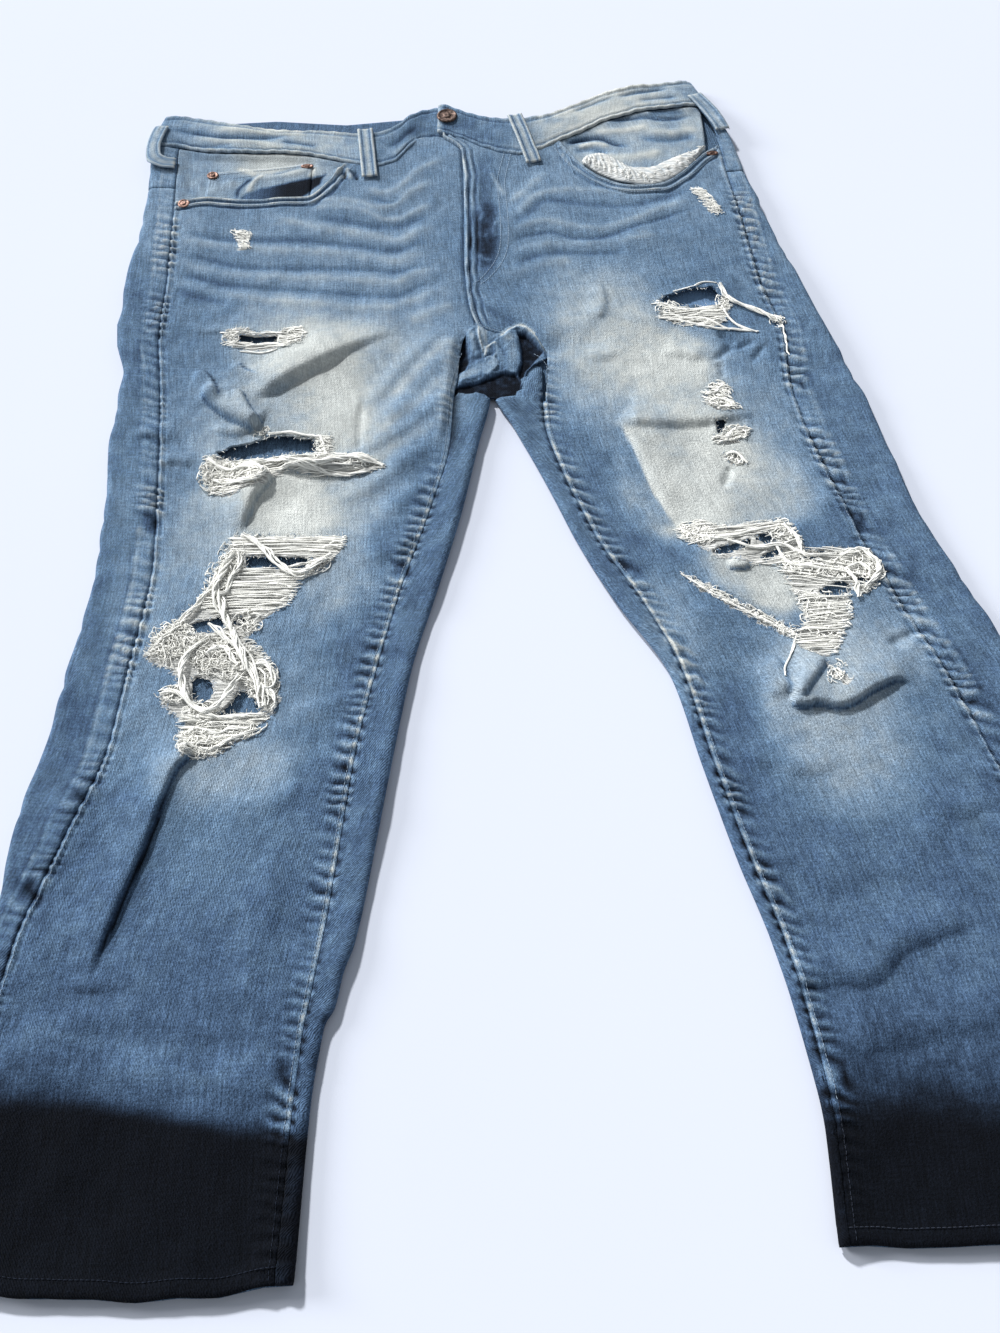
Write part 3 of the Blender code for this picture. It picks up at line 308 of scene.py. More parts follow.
# ---------------------------------------------------------------- creases of the cloth
# points are places on the plan; height is millimetres; left and right are how wide, in
# centimetres, each side of the ridge is, as seen along its course, and a minus sign marks a
# side that ends in a sharp foot; start and end are the shares over which it rises and dies;
# shade is painted shade that darkens the colour at the sharp foot, and lean is how many
# millimetres the ridge hangs over it
Crease = namedtuple("Crease", "points height left right start end shade lean",
                    defaults=(0.0, 0.0))
CREASES = (
    # right leg: the long fold over the thigh, and the twisted cloth at its low end
    Crease(((-7.0, 66.7), (-9.0, 66.2), (-11.3, 65.1), (-12.6, 64.1), (-14.0, 63.2),
            (-15.6, 62.0), (-17.0, 60.9), (-18.2, 60.2)), 7.4, -0.92, 2.4, 0.60, 0.16, 0.06, 1.0),
    Crease(((-18.9, 60.5), (-18.4, 59.4), (-17.8, 58.3), (-17.1, 57.4)),
           6.0, -0.32, 1.0, 0.05, 0.05, 0.50, 1.2),
    Crease(((-21.6, 60.9), (-20.6, 59.7), (-19.4, 58.6), (-18.2, 57.8), (-17.2, 57.3)),
           6.6, 1.3, -0.55, 0.20, 0.05, 0.34, 1.0),
    Crease(((-22.6, 62.5), (-21.8, 62.3), (-21.1, 61.5), (-20.5, 60.3), (-20.0, 59.2)),
           4.6, -0.28, 1.0, 0.25, 0.25, 0.55, 0.6),
    Crease(((-19.4, 63.5), (-18.9, 62.7), (-18.0, 62.1), (-17.4, 61.9)), 2.4, -0.25, 0.6, 0.2,
           0.5, 0.5),
    Crease(((-20.6, 57.3), (-19.4, 57.0), (-18.0, 56.9)), 2.0, 0.5, -0.5, 0.3, 0.3, 0.1),
    # below the second tear
    Crease(((-16.0, 53.2), (-16.6, 52.2), (-17.2, 51.1), (-17.45, 49.6), (-17.5, 47.9)),
           6.5, -0.50, 1.5, 0.02, 0.40, 0.26, 1.8),
    Crease(((-8.0, 54.2), (-10.5, 53.9), (-13.0, 53.8), (-15.6, 54.0)), 4.6, -0.55, 1.0, 0.3, 0.1,
           0.30, 0.8),
    # the long fold down the right shin
    Crease(((-18.5, 32.2), (-19.7, 30.8), (-20.3, 28.6), (-20.9, 25.8), (-21.8, 22.6),
            (-22.4, 19.8), (-22.7, 17.4)), 6.0, -0.42, 1.7, 0.03, 0.30, 0.42, 2.0),
    Crease(((-23.6, 18.2), (-22.8, 17.8), (-21.8, 17.7), (-20.6, 17.2)), 1.6, 0.5, -0.5, 0.3, 0.4,
           0.1),
    Crease(((-26.5, 15.9), (-25.0, 15.3), (-23.0, 15.5), (-20.5, 16.2)), 2.0, -0.9, 0.9, 0.3, 0.4),
    Crease(((-28.0, 14.0), (-24.0, 13.6), (-20.0, 13.0), (-15.0, 12.8), (-10.0, 12.6)),
           2.4, -1.6, 1.2, 0.2, 0.2),
    Crease(((-24.0, 32.0), (-25.5, 27.0), (-27.0, 21.0)), 1.8, 0.9, 1.2, 0.4, 0.4),
    Crease(((-12.0, 26.0), (-13.5, 21.0), (-14.0, 15.5)), 1.6, 0.9, 1.2, 0.4, 0.4),
    Crease(((-22.0, 17.4), (-18.0, 15.4), (-13.0, 15.0)), 1.6, -0.8, 1.0, 0.3, 0.4),
    # ripples that run down from the crotch over the right thigh
    Crease(((-3.4, 67.6), (-6.0, 64.6), (-8.6, 60.8), (-9.8, 58.8)), 2.6, 0.7, 0.9, 0.3, 0.4),
    Crease(((-3.6, 64.6), (-5.6, 62.0), (-7.5, 58.8), (-10.0, 56.8)), 2.8, 0.7, 0.9, 0.2, 0.4),
    Crease(((-3.8, 60.6), (-5.6, 58.4), (-8.0, 56.2), (-10.5, 54.6)), 2.6, 0.6, 0.9, 0.2, 0.4),
    Crease(((-4.2, 56.8), (-6.5, 54.4), (-9.0, 52.2), (-12.0, 50.6)), 2.4, 0.7, 0.9, 0.3, 0.4),
    Crease(((-4.8, 52.6), (-7.0, 50.6), (-9.4, 49.4)), 2.0, 0.7, 0.9, 0.3, 0.4),
    Crease(((-5.4, 48.6), (-7.6, 46.6), (-10.0, 45.6)), 1.8, 0.7, 0.9, 0.3, 0.4),
    Crease(((-9.8, 60.8), (-9.95, 58.0), (-9.9, 55.2)), -1.6, 0.2, 0.25, 0.4, 0.1),
    Crease(((-26.2, 56.4), (-24.2, 56.8), (-22.6, 55.6)), 2.4, 0.7, -0.5, 0.3, 0.4),
    Crease(((-24.0, 53.9), (-22.6, 54.4), (-21.2, 53.9)), 2.2, 0.6, -0.4, 0.3, 0.3),
    Crease(((-23.4, 67.0), (-22.0, 66.4), (-20.4, 66.8)), 1.6, 0.6, -0.5, 0.3, 0.3),
    Crease(((-11.0, 30.0), (-14.0, 28.4), (-17.0, 28.8)), 1.8, 0.9, -0.9, 0.4, 0.4),
    Crease(((-9.5, 36.0), (-11.6, 34.6), (-14.0, 34.8)), 1.6, 0.8, -0.8, 0.4, 0.4),
    # left leg: the sag across the thigh and the lengthwise crease beside it
    Crease(((8.6, 57.9), (11.0, 57.8), (13.0, 57.9), (15.0, 58.1), (17.5, 58.6), (19.5, 59.2)),
           3.6, 2.0, -0.6, 0.12, 0.5, 0.05),
    Crease(((7.9, 57.8), (8.8, 57.4), (9.5, 56.3), (10.1, 54.5), (11.2, 51.5), (12.0, 48.6)),
           2.6, 1.4, -0.5, 0.1, 0.4),
    Crease(((7.5, 71.8), (7.85, 69.6), (7.35, 67.4)), 2.6, -0.35, 0.9, 0.3, 0.15, 0.12),
    Crease(((15.9, 66.6), (17.2, 65.5), (16.3, 64.2), (15.3, 63.4)), -3.2, 0.3, 0.3, 0.2, 0.3),
    Crease(((17.2, 64.7), (18.4, 65.4), (19.2, 65.7)), -2.2, 0.25, 0.3, 0.3, 0.4),
    Crease(((18.5, 63.4), (19.0, 64.3), (19.8, 65.3)), -2.4, 0.25, 0.3, 0.3, 0.4),
    Crease(((11.5, 64.3), (13.5, 64.4), (15.4, 63.7)), 2.2, 1.0, -0.6, 0.4, 0.3),
    Crease(((15.9, 63.4), (16.3, 62.7), (16.2, 61.8)), -1.8, 0.2, 0.25, 0.2, 0.2),
    Crease(((16.1, 54.0), (15.8, 53.0), (15.4, 51.9)), -2.2, 0.25, 0.3, 0.1, 0.3),
    Crease(((5.6, 64.6), (7.4, 64.0), (9.4, 64.8)), 1.4, 0.8, -0.6, 0.4, 0.4),
    # the pouch below the left knee
    Crease(((17.9, 35.4), (18.8, 35.2), (19.5, 35.4), (20.1, 35.3), (20.9, 35.1), (21.8, 35.4),
            (22.8, 36.1), (23.9, 36.7), (24.9, 37.0), (26.2, 36.5)), 6.5, 2.6, -0.40, 0.05, 0.25,
           0.45, 1.6),
    Crease(((18.3, 35.6), (18.9, 36.6), (19.7, 37.6), (20.4, 38.6)), 4.5, 1.4, -0.55, 0.10, 0.15,
           0.25, 0.8),
    Crease(((17.3, 38.8), (17.4, 36.9), (17.6, 35.4)), 2.8, -0.6, 0.9, 0.3, 0.2, 0.20),
    Crease(((15.0, 45.6), (15.7, 45.4), (16.7, 45.7)), 3.0, 0.9, -0.22, 0.2, 0.2, 0.6, 0.6),
    Crease(((24.4, 39.3), (26.0, 40.1), (27.4, 40.6)), -2.6, 0.3, 0.4, 0.3, 0.4),
    Crease(((19.2, 40.4), (18.0, 41.4), (15.0, 43.3), (12.6, 44.6)), 2.0, -0.35, 1.0, 0.2, 0.3,
           0.1),
    # left shin
    Crease(((15.2, 17.0), (16.9, 18.2), (18.7, 18.5), (20.5, 18.6), (22.5, 20.4), (27.9, 21.9)),
           3.2, 1.5, -0.9, 0.2, 0.3, 0.06),
    Crease(((14.4, 33.0), (16.0, 31.6), (18.5, 31.0), (21.0, 31.4)), 2.0, 1.0, -0.9, 0.3, 0.4),
    Crease(((15.5, 14.6), (21.0, 15.0), (26.0, 16.2), (30.0, 16.0)), 2.0, 1.2, -0.9, 0.3, 0.3),
    Crease(((14.0, 28.0), (17.0, 24.6), (22.0, 23.4)), 1.8, 1.3, -1.1, 0.4, 0.4),
    Crease(((23.0, 30.0), (26.0, 28.4), (30.0, 28.8)), 1.6, 1.0, -0.9, 0.4, 0.4),
    Crease(((4.4, 52.0), (7.2, 48.0), (10.4, 44.4)), 1.8, 0.8, 0.8, 0.3, 0.3),
    Crease(((22.0, 52.0), (23.6, 50.0), (24.0, 47.6)), 1.6, 0.6, 0.8, 0.3, 0.4),
    # the left thigh's inner edge stands up over the crotch
    Crease(((-1.6, 70.2), (0.0, 68.9), (1.2, 67.9), (2.4, 66.9), (3.3, 65.6), (3.9, 64.2)),
           4.0, 1.6, -0.8, 0.2, 0.25, 0.08),
    Crease(((-3.3, 67.4), (-3.7, 64.0), (-4.1, 59.0), (-4.6, 54.0)), 3.0, -0.6, 1.4, 0.2, 0.4),
    # slits where the right pocket's edge meets the band
    Crease(((-13.2, 84.9), (-12.8, 84.2), (-12.6, 83.4)), -2.4, 0.22, 0.25, 0.3, 0.3),
    Crease(((-12.3, 84.9), (-11.8, 84.0), (-11.7, 83.2)), -2.2, 0.20, 0.25, 0.3, 0.3),
    Crease(((-14.2, 83.4), (-13.4, 83.2), (-12.9, 82.4)), -1.8, 0.20, 0.25, 0.3, 0.3),
)
WHISKER_RISE = 0.0062    # height of ridge for each share of fading in a whisker
LEAST_WIDTH = 0.45       # how wide a crease is where it dies, as a share of its width
SHARPNESS = 1.5          # how straight the side that ends in a sharp foot is
PAINTED_SHADE_SOFT = 0.0006      # how far the painted shade reaches past the foot
# height, cell and seed of the slow waves of the cloth
SWAYS = ((0.0013, 0.055, 1), (0.0008, 0.022, 2), (0.0003, 0.009, 3))


def crease_reach(crease, x, y):
    """The points near a crease, then for each how far it is from the ridge, how strong the
    crease is, whether it is on a sharp side, how wide that side is, and the share of the
    course; last the course itself."""
    line = smooth_line(places(crease.points), 5 * len(crease.points))
    near = near_box(line, 3.0 * CM * max(abs(crease.left), abs(crease.right)), x, y)
    away, share = off_line(line, x[near], y[near])
    life = between(share, crease.start, crease.end)
    side = np.where(away > 0, crease.right, crease.left)
    width = CM * np.abs(side) * mix(LEAST_WIDTH, 1.0, life)
    return near, away, life, side < 0, width, share, line


def crease_height(x, y):
    total = np.zeros(np.shape(x))
    for crease in CREASES:
        near, away, life, sharp, width, _, _ = crease_reach(crease, x, y)
        far = np.abs(away) / width
        foot = np.maximum(1 - far ** SHARPNESS, 0)
        form = np.where(sharp, foot, np.exp(-far ** 2))
        total[near] += MM * crease.height * life * form
    return total


def crease_painted_shade(x, y):
    """Painted shade: how much darker the colour is made at the sharp foot of a crease."""
    total = np.zeros(np.shape(x))
    for crease in CREASES:
        if not crease.shade:
            continue
        near, away, life, sharp, width, _, _ = crease_reach(crease, x, y)
        far = np.abs(away)
        foot = np.where(far < width, ease(0.35, 0.9, far / width), bell(far - width, PAINTED_SHADE_SOFT))
        total[near] += crease.shade * life * sharp * foot
    return total


def crease_lean(x, y):
    """How far the cloth moves sideways where a ridge hangs over its foot."""
    move = np.zeros((*np.shape(x), 2))
    for crease in CREASES:
        if not crease.lean:
            continue
        near, away, life, _, width, share, line = crease_reach(crease, x, y)
        toward = 1.0 if crease.right < 0 else -1.0
        ahead = course(line)
        number = np.arange(len(line))
        ux, uy = (np.interp(share * number[-1], number, ahead[:, k]) for k in (0, 1))
        push = MM * crease.lean * life * bell(np.abs(away), width) * toward
        move[near, 0] += push * uy
        move[near, 1] -= push * ux
    return move


EDGE_WAVE = 0.0026       # how far the side folds wander
EDGE_WAVE_CELL = 0.021
EDGE_SEED = {"right": 22, "left": 27}


def side_x(side, y, column):
    """x of the side fold (column 1) or of the outseam (column 2)."""
    x = read(SIDES[side], y, column)
    if column == 1:
        wave = np.abs(noise(0.0, y, EDGE_WAVE_CELL, EDGE_SEED[side])) - 0.4
        x = x + EDGE_WAVE * OUTWARD[side] * wave * (1 - ease(0.33, 0.37, y))
    return x


def inner_x(side, y, column):
    """x of the inseam (column 1) or of the leg's inner fold (column 2)."""
    return read(INNERS[side], y, column)


ROPE_PITCH = 0.0084      # from one ripple beside a seam to the next
ROPE_SLANT = 0.28
CROTCH_CALM = {"right": 0.65, "left": 0.0}   # share of the inseam's ripples lost at the crotch
# seam, how far the ripples reach past it and before it, their height, the seed
ROPING = (("outseam", 0.0130, 0.0060, 0.00130, 5), ("inseam", 0.0030, 0.0120, 0.00110, 9))

def ripple(x, y, seed):
    """Uneven waves across a seam, -1 in the furrows to 1 on the tops, gathered in clusters."""
    turn = 2 * math.pi * (y + ROPE_SLANT * x) / ROPE_PITCH + 6.0 * noise(0.0, y, 0.020, seed)
    wave = np.sin(turn + 1.2 * noise(x, y, 0.006, seed + 1))
    tops = np.exp(-((1 - wave) / 0.45)) - 0.9 * np.exp(-((1 + wave) / 0.50))
    gather = np.clip(0.88 + 0.8 * noise(x * 0.15, y, 0.030, seed + 2), 0.25, 1.2)
    return tops * gather


def crotch_calm(side, y):
    """How much of the inseam's ripples is left towards the crotch."""
    return 1 - CROTCH_CALM[side] * ease(0.010, 0.060, y)


def roping(side, x, y):
    """For each seam of a leg: its name, how far past it a place is from the middle of the
    leg, how high its ripples are, the ripples, and their strength."""
    for seam, outer, inner, height, seed in ROPING:
        if seam == "outseam":
            away = (x - side_x(side, y, 2)) * OUTWARD[side]
            life = 1 - 0.75 * ease(0.30, 0.36, y)
        else:
            away = (inner_x(side, y, 1) - x) * OUTWARD[side]
            life = (1 - ease(CROTCH_Y - 0.012, CROTCH_Y + 0.01, y)) * crotch_calm(side, y)
        width = np.where(away > 0, outer, inner)
        yield seam, away, height, ripple(x, y, seed), life * np.exp(-(away / width) ** 4)


def pucker(side, x, y):
    """Height of the ripples across the outseam and the inseam."""
    total = np.zeros(np.shape(x))
    for _, _, height, wave, life in roping(side, x, y):
        total += height * wave * life
    return total


def skin(side, x, y):
    """Middle of the front layer above the surface, with all its creases."""
    x, y = np.broadcast_arrays(np.asarray(x, float), np.asarray(y, float))
    edge = np.abs(x - side_x(side, y, 1))
    fold = np.abs(x - inner_x(side, y, 2))
    edge = np.where(y < GAP_TOP_Y, np.minimum(edge, fold), edge)
    rise = EDGE_RISE * (1 - ease(0.150, 0.300, y)) * bell(edge, EDGE_REACH)
    sway = sum(height * noise(x, y, cell, seed) for height, cell, seed in SWAYS)
    folds = crease_height(x, y) + WHISKER_RISE * whisker_fade(x, y)
    return read(CROWN, y) + rise + folds + pucker(side, x, y) + sway


def floor_height(y):
    lift = SEAT_LIFT * ease(0.100, 0.165, y) + WAIST_LIFT * ease(0.330, 0.370, y)
    return FLOOR_MID + lift


def hem_shift(side, x, y):
    """How far a leg's end moves along it, for it isn't cut straight."""
    near = 1 - ease(HEMS[side], HEMS[side] + 0.070, y)
    low = 1 - ease(HEMS[side], HEMS[side] + 0.030, y)
    wave = HEM_WAVE * low * noise(x, 0.0, 0.020, 35)
    if side == "right":
        return 0.008 * near * ((x + 0.216) / 0.088) ** 2 + wave
    return 0.030 * near * (x - 0.140) + wave


# ---------------------------------------------------------------- tears
# outlines on the plan; a hole goes right through, bare cloth has lost its blue warp
Tear = namedtuple("Tear", "side outline")
HOLES = (
    Tear("right", ((-19.5, 66.2), (-18.1, 66.05), (-16.6, 66.05), (-16.5, 65.15), (-18.0, 65.1),
                   (-19.4, 65.3))),
    Tear("right", ((-19.9, 55.0), (-18.9, 55.5), (-17.6, 55.9), (-16.8, 56.2), (-16.3, 56.5),
                   (-15.1, 56.45), (-13.0, 56.2), (-12.8, 55.0), (-13.7, 54.7), (-14.9, 54.8),
                   (-15.8, 54.6), (-17.0, 54.5), (-18.1, 54.3), (-19.3, 54.4))),
    Tear("right", ((-16.9, 46.25), (-15.7, 46.2), (-14.6, 46.15), (-12.6, 46.1), (-13.0, 45.3),
                   (-14.1, 45.25), (-15.6, 45.25), (-16.8, 45.3))),
    Tear("right", ((-20.2, 40.7), (-19.5, 41.3), (-18.1, 41.5), (-17.6, 40.7), (-18.6, 40.3),
                   (-19.4, 40.2), (-20.0, 40.3))),
    Tear("right", ((-17.3, 41.4), (-16.3, 41.5), (-16.5, 40.9), (-17.2, 40.9))),
    Tear("right", ((-19.3, 36.9), (-18.9, 37.2), (-18.1, 36.8), (-17.8, 36.0), (-18.1, 35.3),
                   (-18.6, 35.1), (-19.1, 35.6))),
    Tear("right", ((-16.2, 36.2), (-16.7, 35.3), (-17.4, 34.3), (-16.2, 34.4), (-14.7, 34.6),
                   (-15.2, 35.4), (-15.6, 36.0))),
    Tear("left", ((12.0, 69.7), (13.2, 70.4), (14.8, 71.0), (16.3, 71.0), (16.8, 70.2),
                  (16.6, 69.3), (15.4, 69.0), (14.2, 69.2), (12.9, 69.1))),
    Tear("left", ((15.3, 57.9), (16.1, 58.0), (15.9, 57.0), (15.4, 56.8))),
    Tear("left", ((14.1, 46.6), (14.9, 47.2), (16.8, 47.8), (16.8, 47.3), (15.8, 46.8),
                  (14.6, 46.4))),
    Tear("left", ((17.1, 47.8), (17.4, 48.1), (18.9, 48.4), (18.7, 47.6), (17.8, 47.3))),
    Tear("left", ((17.3, 46.3), (18.6, 47.1), (18.9, 46.8), (17.7, 46.0))),
    Tear("left", ((19.9, 45.9), (20.5, 46.7), (21.8, 46.75), (21.0, 46.1))),
    Tear("left", ((20.8, 43.5), (21.6, 44.2), (22.7, 44.4), (23.1, 43.8), (22.3, 43.1),
                  (21.9, 43.2), (21.3, 43.1))),
    Tear("left", ((23.3, 44.6), (24.2, 44.8), (24.4, 44.2), (23.5, 43.9))),
    Tear("left", ((19.8, 43.2), (20.1, 42.8), (20.7, 42.7), (20.3, 42.4), (19.8, 42.6))),
)
BARE = (
    Tear("right", ((-20.5, 66.3), (-19.7, 66.7), (-18.1, 66.3), (-16.4, 66.4), (-15.0, 66.8),
                   (-14.5, 65.7), (-15.8, 64.8), (-17.8, 64.6), (-19.4, 64.8), (-20.4, 65.1))),
    Tear("right", ((-20.6, 54.7), (-19.4, 54.5), (-17.9, 54.4), (-16.2, 54.7), (-14.6, 54.5),
                   (-12.8, 54.7), (-12.6, 55.6), (-13.0, 56.4), (-12.1, 56.5), (-11.8, 54.9),
                   (-9.6, 54.8), (-8.0, 53.8), (-9.8, 53.2), (-12.0, 53.1), (-14.6, 53.5),
                   (-15.9, 53.0), (-16.2, 52.2), (-17.6, 51.8), (-18.3, 51.2), (-19.7, 51.4),
                   (-20.2, 53.0))),
    Tear("right", ((-17.9, 48.0), (-10.5, 47.9), (-10.6, 47.0), (-11.2, 46.0), (-12.1, 45.0),
                   (-13.2, 44.2), (-13.8, 42.5), (-15.4, 41.1), (-16.1, 39.7), (-14.9, 38.6),
                   (-14.0, 36.9), (-13.7, 35.5), (-14.3, 34.1), (-15.8, 32.7), (-17.4, 31.4),
                   (-19.1, 31.6), (-19.5, 33.0), (-19.4, 33.9), (-21.0, 35.1), (-20.9, 35.8),
                   (-20.0, 36.9), (-20.7, 37.6), (-22.5, 38.4), (-22.4, 39.3), (-21.4, 40.8),
                   (-20.2, 42.1), (-19.1, 43.7), (-18.7, 45.5), (-18.2, 46.6))),
    Tear("left", ((11.8, 69.5), (13.4, 68.9), (14.6, 68.8), (16.5, 69.2), (16.9, 70.4),
                  (17.4, 70.2), (17.3, 69.0), (16.8, 67.6), (15.6, 66.9), (13.4, 67.4),
                  (12.0, 67.9), (12.8, 68.6))),
    Tear("left", ((14.7, 60.2), (15.4, 60.9), (16.1, 61.6), (16.6, 60.9), (16.3, 60.2),
                  (17.1, 59.0), (15.6, 58.9), (14.8, 59.4))),
    Tear("left", ((15.2, 56.6), (15.9, 56.3), (16.5, 57.2), (17.6, 57.5), (17.5, 56.7),
                  (16.2, 56.0), (15.3, 56.1))),
    Tear("left", ((12.0, 48.6), (13.5, 49.2), (15.0, 48.7), (17.3, 49.2), (19.3, 49.3),
                  (20.0, 47.8), (20.2, 46.8), (22.5, 47.0), (24.3, 46.8), (25.1, 45.5),
                  (24.6, 44.1), (23.6, 43.2), (22.9, 43.6), (22.6, 41.6), (21.8, 40.1),
                  (21.1, 38.7), (20.4, 38.5), (19.2, 39.2), (19.0, 40.1), (19.9, 41.4),
                  (19.4, 43.2), (18.8, 44.8), (18.6, 45.8), (16.5, 45.8), (14.5, 46.2),
                  (13.0, 47.2))),
    Tear("left", ((11.8, 44.9), (13.4, 44.0), (15.0, 42.9), (16.6, 41.9), (18.0, 41.1),
                  (19.0, 40.2), (18.9, 39.8), (17.8, 40.6), (16.4, 41.4), (14.8, 42.5),
                  (13.2, 43.6))),
    Tear("left", ((20.4, 37.9), (21.4, 37.4), (21.9, 36.5), (21.4, 36.3), (20.8, 37.1))),
    Tear("left", ((15.7, 55.1), (16.6, 55.3), (17.3, 54.2), (16.6, 54.0), (16.0, 54.3))),
    Tear("right", ((-21.2, 77.4), (-19.8, 77.1), (-20.0, 76.2), (-19.6, 75.4), (-20.3, 75.1),
                   (-20.5, 76.2))),
    Tear("left", ((15.6, 82.2), (16.4, 82.3), (16.9, 81.0), (17.7, 79.3), (17.0, 79.2),
                  (16.3, 80.6))),
)
RAGGED = 0.0022          # how far a bare patch's border wanders
RAGGED_CELL = 0.0035
RAGGED_REACH = 0.006


def bareness(side, x, y):
    """1 where only the white weft is left, 0 on whole cloth."""
    shake_x = x + RAGGED * noise(x, y, RAGGED_CELL, 21)
    shake_y = y + 0.6 * RAGGED * noise(x, y, RAGGED_CELL, 22)
    total = np.zeros(np.shape(x))
    for tear in BARE:
        if tear.side == side:
            outline = places(tear.outline)
            near = near_box(outline, RAGGED_REACH, x, y)
            bare = inside(outline, shake_x[near], shake_y[near])
            total[near] = np.maximum(total[near], bare)
    return total


# ---------------------------------------------------------------- colour of the cloth
# how faded, then the red, green and blue that shows on a screen
BRIGHT = 1.34            # how much more light falls than the colours are given for
FADE = ((0.00, 12, 16, 24), (0.15, 50, 67, 90), (0.30, 80, 104, 134), (0.45, 104, 131, 159),
        (0.60, 130, 155, 180), (0.75, 159, 177, 193), (0.90, 188, 198, 203),
        (1.00, 211, 216, 214), (1.20, 238, 241, 236))
# y on the plan, how faded the leg is there before the rest is laid on it
GROUND = {
    "right": ((0, 0.30), (10, 0.28), (14, 0.29), (18, 0.32), (22, 0.345), (28, 0.35),
              (34, 0.34), (42, 0.36), (50, 0.38), (60, 0.40), (70, 0.42), (80, 0.49), (90, 0.54)),
    # the left leg darkens over its lowest rows, where the painted shadow over its end begins
    "left": ((0, 0.12), (13, 0.17), (15.4, 0.23), (18, 0.34), (24, 0.345), (33, 0.335),
             (42, 0.37), (52, 0.41), (62, 0.42), (70, 0.44), (78, 0.52), (92, 0.58)),
}
Patch = namedtuple("Patch", "side x y across along turn level edge share")
PATCHES = (
    # turn is degrees; edge is how soft the border is, as a share of the patch
    # right thigh, above and below the long fold
    Patch("right", -15.0, 68.6, 7.6, 3.8, 0, 0.54, 0.65, 0.80),
    Patch("right", -11.0, 64.0, 8.5, 8.0, 20, 0.80, 0.60, 0.75),
    Patch("right", -13.8, 59.5, 6.2, 8.5, 10, 1.06, 0.50, 0.97),
    Patch("right", -9.6, 62.8, 2.8, 4.2, 0, 1.06, 0.50, 0.90),
    Patch("right", -18.5, 57.0, 4.4, 6.0, 0, 0.72, 0.60, 0.70),
    Patch("right", -13.8, 51.0, 4.8, 4.4, 0, 1.17, 0.50, 0.98),
    Patch("right", -18.6, 48.5, 3.6, 4.6, 0, 0.94, 0.55, 0.85),
    Patch("right", -9.5, 52.6, 3.0, 3.6, 0, 0.72, 0.60, 0.70),
    # round the big tear
    Patch("right", -11.6, 44.6, 3.2, 3.4, 0, 0.84, 0.55, 0.80),
    Patch("right", -13.6, 38.6, 2.8, 7.4, 10, 0.60, 0.60, 0.75),
    Patch("right", -21.5, 43.6, 3.8, 6.5, -15, 0.66, 0.65, 0.75),
    Patch("right", -21.2, 36.0, 3.0, 4.6, -10, 0.54, 0.65, 0.70),
    Patch("right", -17.2, 31.4, 3.6, 4.2, 0, 0.74, 0.65, 0.80),
    Patch("right", -16.0, 26.0, 4.0, 3.6, 0, 0.46, 0.65, 0.60),
    Patch("right", -6.8, 60.0, 2.4, 6.0, 20, 0.52, 0.70, 0.60),
    Patch("right", -25.6, 78.5, 2.6, 6.5, 0, 0.64, 0.60, 0.80),
    # painted shadow: darkens the right leg just above the shadow painted over its end
    Patch("right", -24.6, 12.3, 4.2, 1.5, 5, 0.16, 0.60, 0.70),
    Patch("right", -24.6, 52.0, 2.4, 9.0, 0, 0.54, 0.65, 0.60),
    Patch("right", -15.0, 77.5, 9.0, 5.0, 0, 0.60, 0.60, 0.50),
    Patch("right", -15.2, 51.4, 2.2, 3.0, 0, 1.17, 0.50, 0.95),
    Patch("right", -16.3, 30.6, 3.4, 2.0, 5, 0.76, 0.65, 0.80),
    Patch("right", -10.6, 69.8, 4.4, 2.0, 0, 0.46, 0.70, 0.60),
    Patch("right", -21.0, 62.8, 2.0, 2.4, 0, 0.46, 0.65, 0.55),
    # left thigh, down to the tear at the knee
    Patch("left", 7.4, 69.5, 4.6, 4.0, 10, 0.82, 0.60, 0.85),
    Patch("left", 8.8, 63.6, 4.6, 6.0, 0, 0.94, 0.55, 0.88),
    Patch("left", 12.6, 61.4, 4.2, 6.0, 10, 1.05, 0.50, 0.96),
    Patch("left", 15.4, 57.2, 4.4, 4.6, 0, 0.88, 0.50, 0.85),
    Patch("left", 19.2, 58.0, 2.8, 6.0, 10, 0.62, 0.60, 0.70),
    Patch("left", 14.0, 52.8, 4.8, 5.4, 25, 1.15, 0.45, 0.98),
    Patch("left", 18.4, 51.8, 3.4, 3.2, 20, 0.90, 0.55, 0.80),
    Patch("left", 10.0, 56.0, 2.6, 5.0, 20, 0.60, 0.60, 0.60),
    Patch("left", 16.8, 44.3, 3.8, 2.3, -30, 1.08, 0.35, 0.97),
    Patch("left", 23.6, 41.0, 3.6, 4.0, 0, 0.62, 0.65, 0.75),
    Patch("left", 19.4, 37.0, 3.4, 4.0, -10, 0.88, 0.50, 0.90),
    Patch("left", 23.0, 38.6, 3.4, 3.4, 0, 0.74, 0.60, 0.75),
    Patch("left", 21.0, 32.8, 4.2, 4.4, 5, 0.80, 0.65, 0.85),
    Patch("left", 15.5, 39.6, 2.4, 3.6, 20, 0.54, 0.60, 0.50),
    Patch("left", 12.4, 42.0, 3.0, 4.6, 0, 0.52, 0.60, 0.50),
    Patch("left", 12.0, 50.8, 1.9, 3.0, 20, 1.12, 0.50, 0.90),
    Patch("left", 11.3, 40.2, 1.9, 4.6, 10, 0.66, 0.60, 0.75),
    Patch("left", 19.0, 68.8, 4.2, 2.4, 0, 0.46, 0.70, 0.50),
    # worn dark cloth beside the fly
    Patch("left", -1.2, 84.0, 0.9, 2.6, 0, 0.34, 0.60, 0.70),
    Patch("left", -1.15, 77.0, 0.95, 4.2, 0, 0.08, 0.45, 0.95),
    Patch("left", -2.6, 77.4, 0.7, 2.8, 0, 0.26, 0.50, 0.70),
    Patch("right", -8.0, 78.0, 3.0, 8.0, 0, 0.56, 0.60, 0.50),
)
